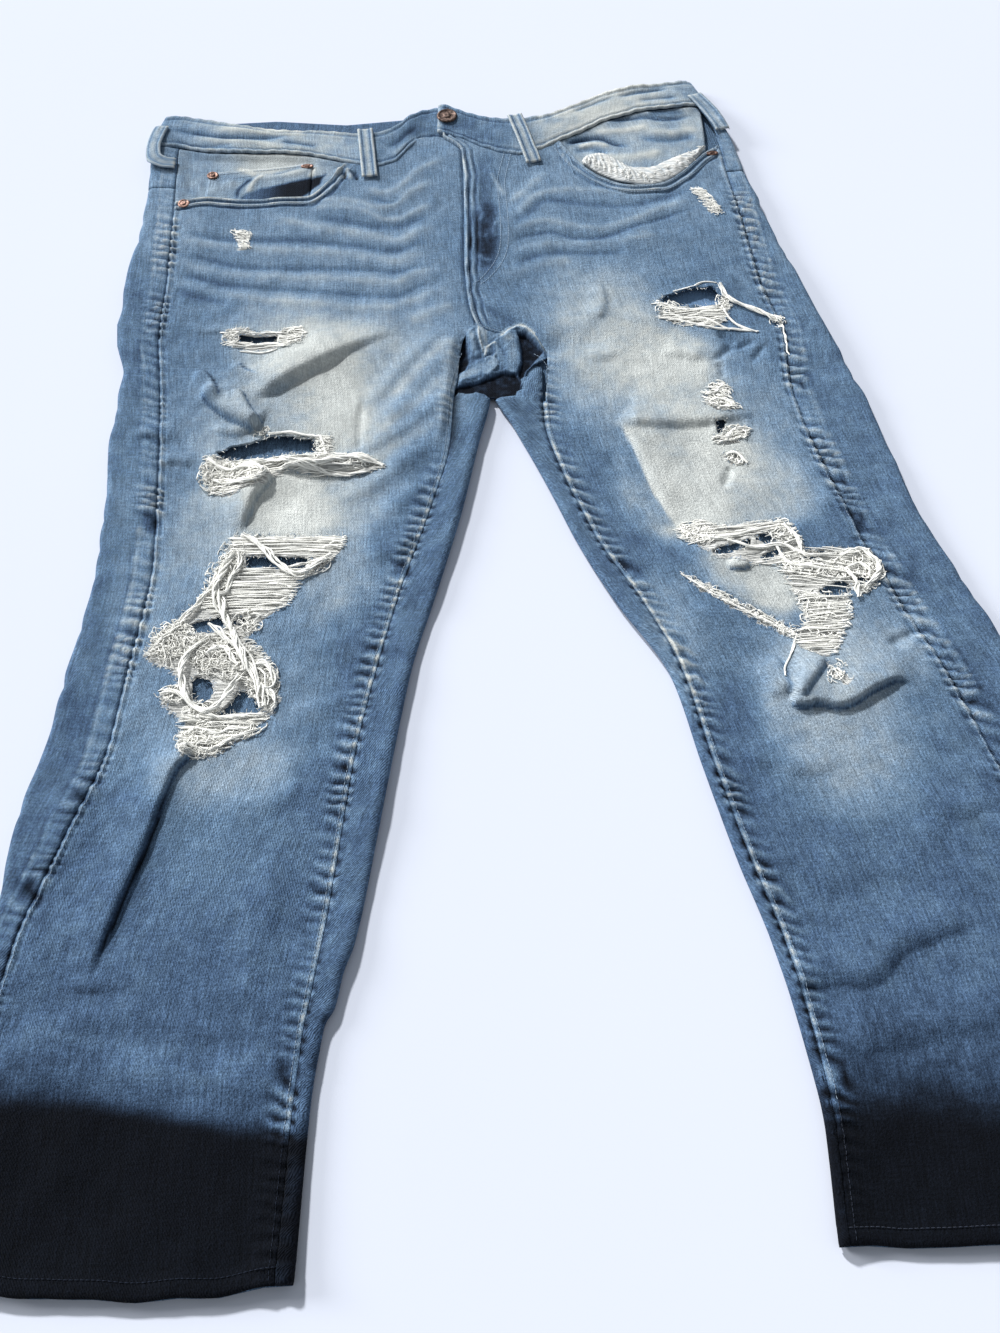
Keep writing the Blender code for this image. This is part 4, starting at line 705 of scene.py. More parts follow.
# the crease at which the pale cloth of the left thigh stops, and the fading on each side
PALE_BORDER = ((7.9, 57.8), (8.6, 57.2), (9.3, 55.5), (10.0, 53.3), (10.6, 51.5), (11.3, 50.0),
               (12.0, 48.5))
BORDER_PALE = 1.06
BORDER_BLUE = 0.52
# the painted shadow over the end of each leg: x on the plan and the y below which it is
# darkest, then how far up it takes to die away
HEM_SHADOWS = {
    "right": (((-26.5, 10.9), (-21.9, 11.0), (-18.4, 10.5), (-15.2, 9.9), (-11.9, 9.5),
               (-9.4, 9.2)), 1.5),
    "left": (((13.0, 9.4), (16.7, 9.7), (21.8, 10.4), (25.4, 9.6), (34.0, 9.4)), 3.4),
}
# width is centimetres, amount is how much paler or darker
Whisker = namedtuple("Whisker", "points width amount")
WHISKERS = (
    # right hip, pale then dark
    Whisker(((-11.3, 82.5), (-10.3, 81.9), (-9.2, 81.6), (-8.0, 82.6), (-6.8, 84.3),
             (-5.6, 85.3), (-4.7, 86.2)), 0.45, 0.13),
    Whisker(((-16.0, 80.6), (-13.0, 80.9), (-11.3, 80.5), (-9.8, 79.9), (-8.4, 80.4),
             (-7.4, 81.6), (-6.2, 82.6), (-5.2, 83.4)), 0.42, 0.13),
    Whisker(((-16.0, 79.8), (-13.0, 80.0), (-11.0, 79.6), (-9.5, 78.7), (-8.0, 78.7),
             (-7.0, 79.4), (-6.0, 80.2), (-5.0, 80.7)), 0.34, 0.13),
    Whisker(((-19.0, 78.6), (-17.0, 78.3), (-14.0, 77.5), (-11.5, 77.1), (-9.5, 76.5),
             (-8.0, 76.2), (-6.8, 77.0), (-5.6, 77.6), (-4.7, 77.3)), 0.55, 0.15),
    Whisker(((-26.0, 76.4), (-22.0, 75.6), (-19.0, 75.2), (-16.0, 75.0), (-13.0, 74.8),
             (-10.0, 74.2), (-8.0, 73.8), (-6.6, 74.6), (-5.0, 75.1)), 0.55, 0.13),
    Whisker(((-26.0, 74.0), (-23.0, 73.0), (-21.0, 72.5), (-18.0, 72.2), (-14.0, 72.0),
             (-10.0, 71.7), (-8.0, 71.5), (-6.5, 72.5), (-4.5, 72.9), (-3.0, 72.7)), 0.50, 0.12),
    Whisker(((-26.0, 72.0), (-23.0, 71.0), (-21.0, 70.3), (-18.0, 69.8), (-14.0, 69.3),
             (-9.0, 68.9), (-7.0, 69.5), (-5.3, 70.4), (-3.0, 70.8)), 0.45, 0.12),
    Whisker(((-7.0, 67.3), (-5.0, 68.6), (-3.2, 69.0)), 0.5, 0.10),
    Whisker(((-10.5, 81.2), (-8.8, 80.5), (-8.0, 81.3)), 0.28, -0.12),
    Whisker(((-15.0, 78.7), (-12.5, 78.4), (-10.0, 77.8), (-8.0, 77.9), (-6.5, 78.7),
             (-5.2, 78.9)), 0.40, -0.14),
    Whisker(((-25.5, 77.2), (-22.0, 76.4), (-19.0, 76.3), (-15.0, 76.1), (-12.0, 75.7),
             (-9.5, 75.2), (-7.8, 75.1), (-6.2, 76.0), (-4.7, 76.0)), 0.36, -0.14),
    Whisker(((-26.0, 74.8), (-23.5, 74.3), (-22.0, 73.9), (-20.5, 73.4), (-18.0, 73.1),
             (-14.0, 73.1), (-10.0, 72.9), (-8.0, 72.6), (-6.5, 73.2), (-4.5, 73.5)), 0.30, -0.13),
    Whisker(((-26.0, 72.7), (-23.5, 72.2), (-22.0, 71.6), (-20.0, 71.2), (-16.0, 70.8),
             (-12.0, 70.4), (-8.0, 70.1), (-6.2, 71.2), (-4.0, 71.7)), 0.30, -0.12),
    Whisker(((-25.0, 70.8), (-22.5, 69.9), (-20.5, 69.4)), 0.35, -0.10),
    Whisker(((-13.6, 84.9), (-13.2, 84.3), (-13.4, 83.7)), 0.22, 0.34),
    Whisker(((-12.6, 84.9), (-12.4, 84.1), (-12.1, 83.2)), 0.16, 0.30),
    Whisker(((-12.9, 84.6), (-12.75, 84.0), (-12.5, 83.2)), 0.14, -0.40),
    Whisker(((-12.0, 84.5), (-11.8, 83.8), (-11.6, 83.2)), 0.14, -0.36),
    # left hip
    Whisker(((0.5, 80.3), (1.5, 81.4), (3.0, 83.5), (4.0, 84.6)), 0.45, 0.11),
    Whisker(((0.3, 78.4), (1.5, 79.4), (2.8, 81.3), (4.0, 82.0), (6.0, 82.2), (9.0, 82.0),
             (12.0, 82.0), (15.0, 83.5)), 0.42, 0.12),
    Whisker(((0.3, 76.2), (2.0, 77.8), (4.0, 78.3), (6.0, 77.8), (8.0, 77.6), (10.0, 78.2),
             (12.0, 79.3), (14.0, 80.3), (16.0, 81.0)), 0.45, 0.13),
    Whisker(((0.3, 74.7), (2.0, 75.3), (4.0, 75.8), (7.0, 75.8), (10.0, 76.3), (13.0, 77.0)),
            0.5, 0.11),
    Whisker(((0.2, 72.2), (2.0, 73.0), (4.0, 73.8), (6.0, 74.3)), 0.5, 0.10),
    Whisker(((0.8, 77.6), (2.0, 78.8), (3.5, 80.8), (6.0, 80.6), (10.0, 80.2), (13.0, 81.0),
             (16.0, 82.6)), 0.40, -0.13),
    Whisker(((0.8, 75.6), (2.0, 76.6), (4.0, 77.0), (6.0, 76.4), (8.0, 76.6), (10.0, 77.4),
             (12.0, 78.2), (14.0, 79.2), (16.0, 79.8)), 0.24, -0.13),
    Whisker(((1.0, 73.6), (4.0, 74.8), (7.0, 74.7), (10.0, 75.0)), 0.30, -0.10),
    # white mottles in the worn dark cloth beside the fly, and the streak over it
    Whisker(((-1.7, 80.2), (-1.4, 79.2), (-1.6, 78.2)), 0.18, 0.16),
    Whisker(((-0.2, 78.4), (-0.5, 77.4), (-0.3, 76.3)), 0.16, 0.18),
    Whisker(((-1.7, 74.6), (-1.2, 74.0), (-0.5, 73.9)), 0.16, 0.16),
    Whisker(((-1.0, 76.9), (-1.25, 76.3)), 0.14, 0.12),
    Whisker(((-0.8, 84.5), (-0.2, 82.8), (0.5, 81.3)), 0.22, 0.16),
    # crotch
    Whisker(((-3.4, 66.4), (-3.6, 64.0), (-3.9, 60.0), (-4.4, 55.0)), 0.5, 0.10),
    Whisker(((-3.5, 66.0), (-6.0, 62.8), (-8.0, 60.0)), 0.5, 0.12),
    Whisker(((-4.0, 62.0), (-6.2, 59.4), (-9.0, 56.5)), 0.5, 0.12),
    Whisker(((-4.5, 58.0), (-7.0, 55.8), (-10.0, 53.6)), 0.5, 0.12),
    # shins
    Whisker(((-26.5, 15.0), (-23.0, 14.9), (-19.0, 14.3), (-14.0, 14.0), (-10.0, 13.9)),
            0.6, 0.04),
    Whisker(((-26.5, 13.0), (-20.0, 12.9), (-10.0, 12.5)), 0.7, 0.05),
    Whisker(((-22.0, 44.0), (-22.8, 36.0), (-23.4, 28.0)), 1.2, 0.06),
    Whisker(((26.0, 42.0), (27.5, 34.0), (28.5, 26.0)), 1.2, 0.05),
)
WHISKER_FADE = 1.35
SEAM_PALE = {"outseam": 0.19, "inseam": 0.44}    # wear on the raised edge beside a seam
SEAM_DARK = {"outseam": 0.25, "inseam": 0.22}    # the furrow at it
FELL_PALE = 0.19         # the edge of the cloth turned in under the outseam
ROPE_PALE = 0.34         # the tops of the ripples beside a seam, and their hollows
# distance from the fly's edge, how much paler or darker, width
FLY_MARKS = ((0.0012, 0.32, 0.0014), (0.0068, 0.15, 0.0015), (0.0118, 0.08, 0.0013),
             (0.0042, -0.26, 0.0012), (0.0096, -0.20, 0.0011))
LAP_PAINTED_SHADE = 0.20          # painted shade: how much darker the cloth is made where the fly laps over it and just beside its edge
# how strong the wear on a pocket opening's ridges and the painted shade in its furrows are
SCOOP_WEAR_AND_SHADE = {"right": 1.3, "left": 0.6}
DARKEST = 0.02
PALEST = 1.2


def linear(screen):
    """Colour of light from a screen colour of 0 to 255."""
    c = np.asarray(screen, float) / 255
    return np.where(c <= 0.04045, c / 12.92, ((c + 0.055) / 1.055) ** 2.4)


def fade_colour(fade):
    rows = np.array(FADE)
    screen = [np.interp(fade, rows[:, 0], rows[:, k]) for k in (1, 2, 3)]
    return linear(np.stack(screen, -1)) / BRIGHT


def whisker_fade(x, y):
    total = np.zeros(np.shape(x))
    for mark in WHISKERS:
        line = smooth_line(places(mark.points), 4 * len(mark.points))
        width = CM * mark.width
        near = near_box(line, 3 * width, x, y)
        if near.any():
            away, share = off_line(line, x[near], y[near])
            total[near] += mark.amount * between(share, 0.15, 0.15) * bell(away, width)
    return total


def seam_fade(side, x, y):
    """Pale wear along the seams and on the tops of the ripples beside them."""
    total = 0.05 * noise(x, y, 0.0032, 46)
    for seam, away, _, wave, life in roping(side, x, y):
        worn = (life > 0.01) * (0.8 + 0.5 * noise(0.0 * x, y, 0.012, 47))
        calm = crotch_calm(side, y) if seam == "inseam" else 1
        edge = bell(away + 0.0016, 0.0012)
        groove = bell(away - 0.0008, 0.0012)
        total += worn * (SEAM_PALE[seam] * calm * edge - SEAM_DARK[seam] * groove)
        if seam == "outseam":
            turned = bell(away - 0.0118, 0.0011)
            behind = bell(away - 0.0140, 0.0012)
            total += worn * FELL_PALE * (turned - 0.6 * behind)
        total += ROPE_PALE * life * wave
    return total


def hem_shadow(side, x, y):
    """Painted shadow over the end of a leg: 0 where it is darkest, 1 above it."""
    line, reach = HEM_SHADOWS[side]
    points = places(line)
    order = np.argsort(points[:, 0])
    low = np.interp(x, points[order, 0], points[order, 1])
    low = low + 0.0012 * noise(x, y, 0.02, 31)
    return ease(0, CM * reach, y - low)


def fly_wear_and_shade(side, x, y):
    """Pale ridges and dark furrows at the fly's edge and its stitching, and painted shade on the
    right front beside the fly's edge.
    """
    life = ease(CROTCH_Y + 0.004, CROTCH_Y + 0.02, y) * (0.8 + 0.4 * noise(x * 0.2, y, 0.01, 45))
    if side == "right":
        inner = np.abs(x - front_edge(side, y))
        # painted shade beside the edge of the fly
        return -LAP_PAINTED_SHADE * life * ease(FLY_LAP + 0.004, FLY_LAP - 0.001, inner)
    away = np.abs(x - read(FLY_EDGE, y)) + fly_wander(y)
    marks = sum(pale * bell(away - line, width) for line, pale, width in FLY_MARKS)
    return life * (1 + 0.5 * noise(x, y, 0.008, 52)) * marks


def scoop_wear_and_shade(side, x, y):
    """The worn double edge of a pocket opening, with painted shade in the furrows at its stitching.
    """
    depth = below_scoop(side, x, y)
    total = np.zeros(np.shape(x))
    for line, rise, width in SCOOP_RIDGES:
        total = total + (360 if rise > 0 else 280) * rise * bell(depth - line, width)
    return SCOOP_WEAR_AND_SHADE[side] * total * (0.85 + 0.5 * noise(x, y, 0.006, 48))


def border_fade(x, y, fade):
    """The left thigh's pale cloth stops sharply along a crease: blue before it, pale past it."""
    away, share = off_line(smooth_line(places(PALE_BORDER), FOLD_POINTS), x, y)
    life = between(share, 0.15, 0.10)
    past = ease(0.0012, -0.0012, away)
    pale = past * (1 - ease(-0.014, -0.036, away))
    blue = (1 - past) * (1 - ease(0.004, 0.020, away))
    fade = mix(fade, np.maximum(fade, BORDER_PALE), 0.8 * life * pale)
    return mix(fade, np.minimum(fade, BORDER_BLUE), 0.75 * life * blue)


def patch_fade(side, x, y, fade):
    """A fading with the patches of one side laid over it, one after the other."""
    shake = 0.10 * noise(x, y, 0.012, 41)
    for patch in PATCHES:
        if patch.side != side:
            continue
        px, py = at(patch.x, patch.y)
        turn = math.radians(patch.turn)
        u = ((x - px) * math.cos(turn) + (y - py) * math.sin(turn)) / (CM * patch.across)
        v = ((y - py) * math.cos(turn) - (x - px) * math.sin(turn)) / (CM * patch.along)
        past = ease(1 - patch.edge, 1 + patch.edge, np.hypot(u, v) + shake)
        fade = mix(fade, patch.level, patch.share * (1 - past))
    return fade


def fading_and_shading(side, x, y):
    """How faded the cloth is: 0 is unworn, 1 bleached, and a little more is white; painted shade at
    creases, the fly and the pocket openings, and the painted shadow over the legs' ends, are laid
    on it.
    """
    fade = patch_fade(side, x, y, np.interp(y / CM + PLAN_Y, *np.array(GROUND[side]).T))
    if side == "left":
        fade = border_fade(x, y, fade)
    fade = fade + WHISKER_FADE * whisker_fade(x, y) + seam_fade(side, x, y)
    # painted shade at the feet of creases, beside the fly's edge and in the furrows below the
    # pocket openings
    fade = fade - crease_painted_shade(x, y) + fly_wear_and_shade(side, x, y) + scoop_wear_and_shade(side, x, y)
    fade = fade + 0.035 * noise(x, y, 0.011, 42) + 0.03 * noise(x, y, 0.03, 43)
    # the painted shadow over the ends of the legs
    return np.clip(fade, DARKEST, PALEST) * hem_shadow(side, x, y)


# ---------------------------------------------------------------- materials
INSIDE_FADE = 0.42       # the inner face of the denim
BAND_INSIDE_FADE = 0.36
FLY_PIECE_FADE = 0.34
WHITE = linear((230, 230, 226))
CLOTH_GLOSS = 0.06
METAL_GLOSS = 0.5
BLEACHED_CALM = 0.60     # how much of the grain the palest cloth has lost
THREAD_SPREAD = 0.12     # how much lighter or darker a thread is from place to place
SOFT_EDGE = 0.45         # how far a cut edge is rounded, as a share of the wall
THREAD_TAPER = 0.5       # how much thinner a thread is at its ends


class Look:
    """A new material, and the nodes that are put in it."""

    def __init__(self, name, roughness, metallic=0.0, sheen=0.0):
        self.material = bpy.data.materials.new(name)
        self.material.use_nodes = True
        self.shader = self.material.node_tree.nodes["Principled BSDF"]
        self.feed(self.shader, {
            "Roughness": roughness, "Metallic": metallic, "Sheen Weight": sheen,
            "Sheen Roughness": 0.6, "Specular IOR Level": METAL_GLOSS if metallic else CLOTH_GLOSS})

    def feed(self, node, inputs):
        """Set a node's inputs, each to a value or to the output of another node."""
        for key, value in inputs.items():
            if isinstance(value, bpy.types.NodeSocket):
                self.material.node_tree.links.new(value, node.inputs[key])
            else:
                node.inputs[key].default_value = value

    def add(self, kind, inputs, **settings):
        """The outputs of a new node."""
        node = self.material.node_tree.nodes.new("ShaderNode" + kind)
        for key, value in settings.items():
            setattr(node, key, value)
        self.feed(node, inputs)
        return node.outputs

    def on_cloth(self, scale):
        """Where a point is on its cloth, (across, along) in metres, times a scale."""
        place = self.add("UVMap", {}, uv_map="cloth")["UV"]
        return self.add("VectorMath", {0: place, 1: (*scale, 1.0)}, operation="MULTIPLY")[0]

    def grain(self, scale, detail=2.0, rough=0.6):
        """Noise from 0 to 1 over the cloth, scale being its cells to the metre each way."""
        inputs = {"Scale": 1.0, "Detail": detail, "Roughness": rough,
                  "Vector": self.on_cloth(scale)}
        return self.add("TexNoise", inputs, noise_dimensions="2D")["Fac"]

    def solid_noise(self, scale, detail=2.0):
        """Noise from 0 to 1 through a piece, scale being its cells to the metre."""
        place = self.add("TexCoord", {})["Object"]
        return self.add("TexNoise", {"Scale": scale, "Detail": detail, "Vector": place})["Fac"]

    def field(self, name):
        """A value kept at the points of the mesh."""
        return self.add("Attribute", {}, attribute_name=name)

    def maths(self, operation, *values):
        """One operation on two values, and its result with the next, and so on."""
        total = values[0]
        for value in values[1:]:
            total = self.add("Math", {0: total, 1: value}, operation=operation)[0]
        return total

    def spread(self, value, low, high, from_low=0.3, from_high=0.7):
        """A value taken from one span to another, and kept in it."""
        return self.add("MapRange", {"Value": value, "From Min": from_low, "From Max": from_high,
                                     "To Min": low, "To Max": high})["Result"]

    def blend(self, mode, share, first, second):
        return self.add("Mix", {0: share, 6: first, 7: second}, data_type="RGBA",
                        blend_type=mode)[2]

    def shaded(self, colour, shade):
        """A colour times a shade of grey."""
        grey = self.add("CombineColor", {0: shade, 1: shade, 2: shade})[0]
        return self.blend("MULTIPLY", 1.0, colour, grey)

    def finish(self, colour, height, reach):
        """The material, with its colour and with the relief of its surface."""
        normal = self.add("Bump", {"Strength": 1.0, "Distance": reach, "Height": height})
        self.feed(self.shader, {"Base Color": colour, "Normal": normal["Normal"]})
        return self.material


def make_denim(name, contrast, reach):
    """Twill in a dyed warp over a white weft: slubs along the leg, mottling, bare threads."""
    look = Look(name, roughness=0.9, sheen=0.01)
    # the cloth's colour, with painted light, shade and shadow laid into it
    dyed = look.field("dye")["Color"]
    bare = look.field("bare")["Fac"]
    slub = look.grain((760.0, 52.0), 4.0, 0.7)
    fine = look.grain((820.0, 640.0), 2.0, 0.7)
    across = look.grain((64.0, 760.0), 3.0, 0.7)
    cloud = look.grain((110.0, 80.0), 4.0, 0.65)
    shade = look.spread(slub, 1.0 - 0.32 * contrast, 1.0 + 0.36 * contrast)
    speck = look.spread(fine, 1.0 - 0.34 * contrast, 1.0 + 0.38 * contrast)
    thread = look.spread(across, 1.0 - 0.13 * contrast, 1.0 + 0.14 * contrast)
    mottle = look.spread(cloud, 0.88, 1.12)
    factor = look.maths("MULTIPLY", shade, speck, thread, mottle)
    # bleached cloth shows less of it
    paleness = look.add("RGBToBW", {0: dyed})[0]
    calm = look.spread(paleness, 0.0, BLEACHED_CALM, 0.10, 0.46)
    spared = look.maths("SUBTRACT", 1.0, calm)
    away = look.maths("MULTIPLY", look.maths("SUBTRACT", factor, 1.0), spared)
    blue = look.shaded(dyed, look.maths("ADD", 1.0, away))
    # bare weft lies across the leg in fine bars with dark between them
    bars = look.grain((75.0, 1150.0), 2.0, 0.6)
    white = look.shaded((*WHITE, 1.0), look.spread(bars, 0.50, 1.06, 0.34, 0.60))
    twill = look.add("TexWave", {"Scale": 1.0, "Distortion": 1.5, "Detail": 1.0,
                                 "Vector": look.on_cloth((420.0, 260.0))},
                     wave_type="BANDS", bands_direction="DIAGONAL")["Fac"]
    weave = look.maths("ADD", look.maths("MULTIPLY", twill, 0.35),
                       look.maths("MULTIPLY", fine, 0.8), look.maths("MULTIPLY", slub, 0.5))
    strands = look.maths("MULTIPLY", bars, 3.0)
    height = look.add("Mix", {0: bare, 2: weave, 3: strands})[0]
    return look.finish(look.blend("MIX", bare, blue, white), height, reach)


def make_thread(name, screen):
    """Loose or sewn cotton thread."""
    look = Look(name, roughness=0.8, sheen=0.1)
    shade = look.spread(look.solid_noise(260.0), 1.0 - THREAD_SPREAD, 1.0 + THREAD_SPREAD)
    twist = look.solid_noise(1600.0)
    return look.finish(look.shaded((*linear(screen), 1.0), shade), twist, 0.0002)


def make_weave(name, screen):
    """Plain fine cotton, for pocket bags and tape."""
    look = Look(name, roughness=0.9, sheen=0.08)
    total = look.maths("ADD", look.grain((1400.0, 90.0)), look.grain((90.0, 1400.0)))
    cloud = look.spread(look.grain((70.0, 70.0)), 0.92, 1.06)
    shade = look.maths("MULTIPLY", look.spread(total, 0.86, 1.10, 0.7, 1.3), cloud)
    return look.finish(look.shaded((*linear(screen), 1.0), shade), total, 0.0003)


def make_metal(name, screen, dull, roughness):
    """Worn metal, darker in patches."""
    look = Look(name, roughness=roughness, metallic=0.85)
    wear = look.solid_noise(420.0, 4.0)
    share = look.spread(wear, 0.0, 1.0, 0.40, 0.62)
    rough = look.spread(wear, roughness - 0.1, roughness + 0.2)
    look.feed(look.shader, {"Roughness": rough})
    colour = look.blend("MIX", share, (*linear(screen), 1.0), (*linear(dull), 1.0))
    return look.finish(colour, wear, 0.00012)


DENIM_LOOK = make_denim("denim_cloth", 1.0, 0.0008)
FRAY_LOOK = make_denim("fray_roll", 0.6, 0.0005)
LOOSE_THREAD = make_thread("weft_thread", (240, 239, 233))
BLUE_THREAD = make_thread("warp_thread", (120, 148, 178))
STITCH_THREAD = make_thread("sewing_thread", (150, 168, 186))
# thread for the stitches that lie in the painted shadow over the legs' ends
STITCH_IN_PAINTED_SHADOW = make_thread("sewing_thread_in_shade", (30, 38, 54))
POCKETING = make_weave("pocketing_cotton", (38, 54, 84))
# a lighter copy of the pocketing for the left bag, painted lighter where it shows pale through the
# tear above it
POCKETING_PAINTED_LIGHTER = make_weave("pocketing_cotton_painted_lighter", (106, 136, 170))
TAPE = make_weave("zip_tape_cotton", (36, 46, 70))
COPPER = make_metal("worn_copper", (150, 120, 108), (84, 64, 57), 0.55)
BRASS = make_metal("worn_brass", (110, 92, 84), (60, 50, 47), 0.62)


# ---------------------------------------------------------------- meshes
def new_mesh(name, points, faces, look, fields=None, cloth=None):
    """A smooth mesh object. fields are values at the points, cloth is where each one is on
    its cloth."""
    points = np.asarray(points, np.float32)
    faces = np.asarray(faces, np.int32)
    count, sides = faces.shape
    mesh = bpy.data.meshes.new(name)
    mesh.vertices.add(len(points))
    mesh.vertices.foreach_set("co", points.ravel())
    mesh.loops.add(count * sides)
    mesh.loops.foreach_set("vertex_index", faces.ravel())
    mesh.polygons.add(count)
    mesh.polygons.foreach_set("loop_start", np.arange(0, count * sides, sides, dtype=np.int32))
    mesh.polygons.foreach_set("use_smooth", np.ones(count, bool))
    mesh.update(calc_edges=True)
    for key, values in (fields or {}).items():
        values = np.asarray(values, np.float32)
        if values.ndim == 1:
            mesh.attributes.new(key, "FLOAT", "POINT").data.foreach_set("value", values)
        else:
            colours = np.ones((len(values), 4), np.float32)
            colours[:, :3] = values
            made = mesh.attributes.new(key, "FLOAT_COLOR", "POINT")
            made.data.foreach_set("color", colours.ravel())
    if cloth is not None:
        layer = mesh.uv_layers.new(name="cloth")
        layer.data.foreach_set("uv", np.asarray(cloth, np.float32)[faces.ravel()].ravel())
    mesh.materials.append(look)
    obj = bpy.data.objects.new(name, mesh)
    bpy.context.scene.collection.objects.link(obj)
    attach(obj, "root")
    return obj


def grid_faces(rows, columns, flip=False):
    k = np.arange(rows * columns).reshape(rows, columns)
    corners = [k[:-1, :-1], k[:-1, 1:], k[1:, 1:], k[1:, :-1]]
    if flip:
        corners = corners[::-1]
    return np.stack([c.ravel() for c in corners], 1)


def ring_faces(rows, sides):
    """The faces of a tube whose points are rows of rings."""
    k = np.arange(rows * sides).reshape(rows, sides)
    beside = np.roll(k, -1, axis=1)
    return np.stack([k[:-1], beside[:-1], beside[1:], k[1:]], -1).reshape(-1, 4)


def shares(rows, columns):
    """How far up each row and how far across each column of a grid is, 0 to 1."""
    return np.linspace(0, 1, rows)[:, None], np.linspace(0, 1, columns)[None, :]


def outward(points, sense):
    """Unit normals of a grid of points."""
    across = np.gradient(points, axis=1)
    along = np.gradient(points, axis=0)
    normal = np.cross(across, along) * sense
    return normal / np.maximum(np.linalg.norm(normal, axis=2, keepdims=True), 1e-12)


def border_distance(points):
    """How far each point of a grid is from the grid's border, along the cloth."""
    across = np.linalg.norm(np.diff(points, axis=1), axis=2)
    along = np.linalg.norm(np.diff(points, axis=0), axis=2)
    from_left = np.concatenate([np.zeros((len(points), 1)), np.cumsum(across, 1)], 1)
    from_low = np.concatenate([np.zeros((1, points.shape[1])), np.cumsum(along, 0)], 0)
    return np.minimum(np.minimum(from_left, from_left[:, -1:] - from_left),
                      np.minimum(from_low, from_low[-1:] - from_low))


def rounding(distance, radius):
    """How far a rounded edge drops, as a share of its radius."""
    t = 1 - np.clip(distance / radius, 0, 1)
    return 1 - np.sqrt(np.maximum(1 - t * t, 0))


def shell(name, middle, wall, look, fields, sense=1.0, inside_fields=None, soft=None):
    """A closed wall of cloth round a grid of its middle points, its edges rounded off.
    soft is the rounding's radius, and inside_fields are the fields of the inner face."""
    rows, columns = middle.shape[:2]
    count = rows * columns
    normal = outward(middle, sense)
    soft = SOFT_EDGE * wall if soft is None else soft
    drop = rounding(border_distance(middle), 2.2 * soft)
    half = wall / 2 * (1 - 0.75 * drop)[..., None]
    skins = np.concatenate([(middle + half * normal).reshape(-1, 3),
                            (middle - half * normal).reshape(-1, 3)])
    flip = sense < 0
    outer = grid_faces(rows, columns, flip)
    inner = grid_faces(rows, columns, not flip) + count
    k = np.arange(count).reshape(rows, columns)
    ring = np.concatenate([k[0, :], k[1:, -1], k[-1, -2::-1], k[-2:0:-1, 0]])
    after = np.roll(ring, -1)
    edge = np.stack([ring, ring + count, after + count, after], 1)
    if flip:
        edge = edge[:, ::-1]
    both = {}
    for key, values in fields.items():
        under = values if inside_fields is None else inside_fields[key]
        flat = (count, *values.shape[2:])
        both[key] = np.concatenate([values.reshape(flat), under.reshape(flat)])
    across = np.linalg.norm(np.diff(middle, axis=1), axis=2)
    cloth = np.stack([np.concatenate([np.zeros((rows, 1)), np.cumsum(across, 1)], 1),
                      middle[..., 1]], -1).reshape(-1, 2)
    faces = np.concatenate([outer, inner, edge])
    return new_mesh(name, skins, faces, look, both, np.concatenate([cloth, cloth]))


def wear_and_shading_fields(fade, low=DARKEST, high=1.0):
    """The colour fields of whole cloth that is faded so much, painted light and shade included,
    kept between two limits.
    """
    return {"dye": fade_colour(np.clip(fade, low, high)), "bare": np.zeros(np.shape(fade))}


def plain_fields(x, y, side):
    """The colour fields of a piece that takes its colour, painted shade and shadow included, from
    where it is.
    """
    return wear_and_shading_fields(fading_and_shading(side, x, y) + 0.04 * noise(x, y, 0.006, 51), 0.0)


def even_fields(shape, fade):
    """The colour fields of a piece that is faded alike all over."""
    return {"dye": np.broadcast_to(fade_colour(fade), (*shape, 3)).copy(),
            "bare": np.zeros(shape)}


def tubes(name, lines, radii, look, sides=3):
    """Threads: lines is (count, points, 3), radii one for each line."""
    lines = np.asarray(lines, float)
    count, steps, _ = lines.shape
    ahead = np.gradient(lines, axis=1)
    ahead /= np.maximum(np.linalg.norm(ahead, axis=2, keepdims=True), 1e-12)
    side = np.cross(ahead, (0.0, 0.0, 1.0))
    length = np.linalg.norm(side, axis=2, keepdims=True)
    side = np.where(length > 0.05, side / np.maximum(length, 1e-12), (1.0, 0.0, 0.0))
    up = np.cross(side, ahead)
    t = np.linspace(0, 1, steps)
    slim = 1 - THREAD_TAPER * (1 - np.minimum(1, 6 * np.minimum(t, 1 - t)))
    radius = np.asarray(radii, float)[:, None, None, None] * slim[None, :, None, None]
    angles = 2 * math.pi * np.arange(sides) / sides
    ring = (np.cos(angles)[None, None, :, None] * side[:, :, None, :]
            + np.sin(angles)[None, None, :, None] * up[:, :, None, :])
    points = lines[:, :, None, :] + radius * ring
    k = np.arange(count * steps * sides).reshape(count, steps, sides)
    beside = np.roll(k, -1, axis=2)
    faces = np.stack([k[:, :-1], k[:, 1:], beside[:, 1:], beside[:, :-1]], -1).reshape(-1, 4)
    return new_mesh(name, points.reshape(-1, 3), faces[:, ::-1], look)


# ---------------------------------------------------------------- front panels
FRONT_COLUMNS = 124
LOW_ROWS = 440           # rows of a front panel below BLEND_Y
HIGH_ROWS = 96           # and above it
TOP_TRIES = 25
SKIRT = 0.0014           # how far the cloth's edge reaches down
HOLE_SNAP = 0.0011       # how near a hole's outline points are moved onto it
HOLE_REACH = 0.06        # farther than any hole's edge is from its middle
HOLE_CURL = 0.0016       # how far the cloth curls up round a hole
HOLE_STEP = 0.0012       # from one point of a hole's outline to the next
HOLE_SHAKE = 0.0004
HOLE_SEED = 70
SLACK = 0.0007           # how far bare weft hangs down
HEM_DEPTH = 0.0085       # from the hem's edge to its stitching
HEM_WAVE = 0.0016        # how far the hem's edge wanders up and down
HEM_THICK = 0.0009
HEM_FURROW = 0.0007
HEM_ROUND = 0.0016       # how far the end is rounded down


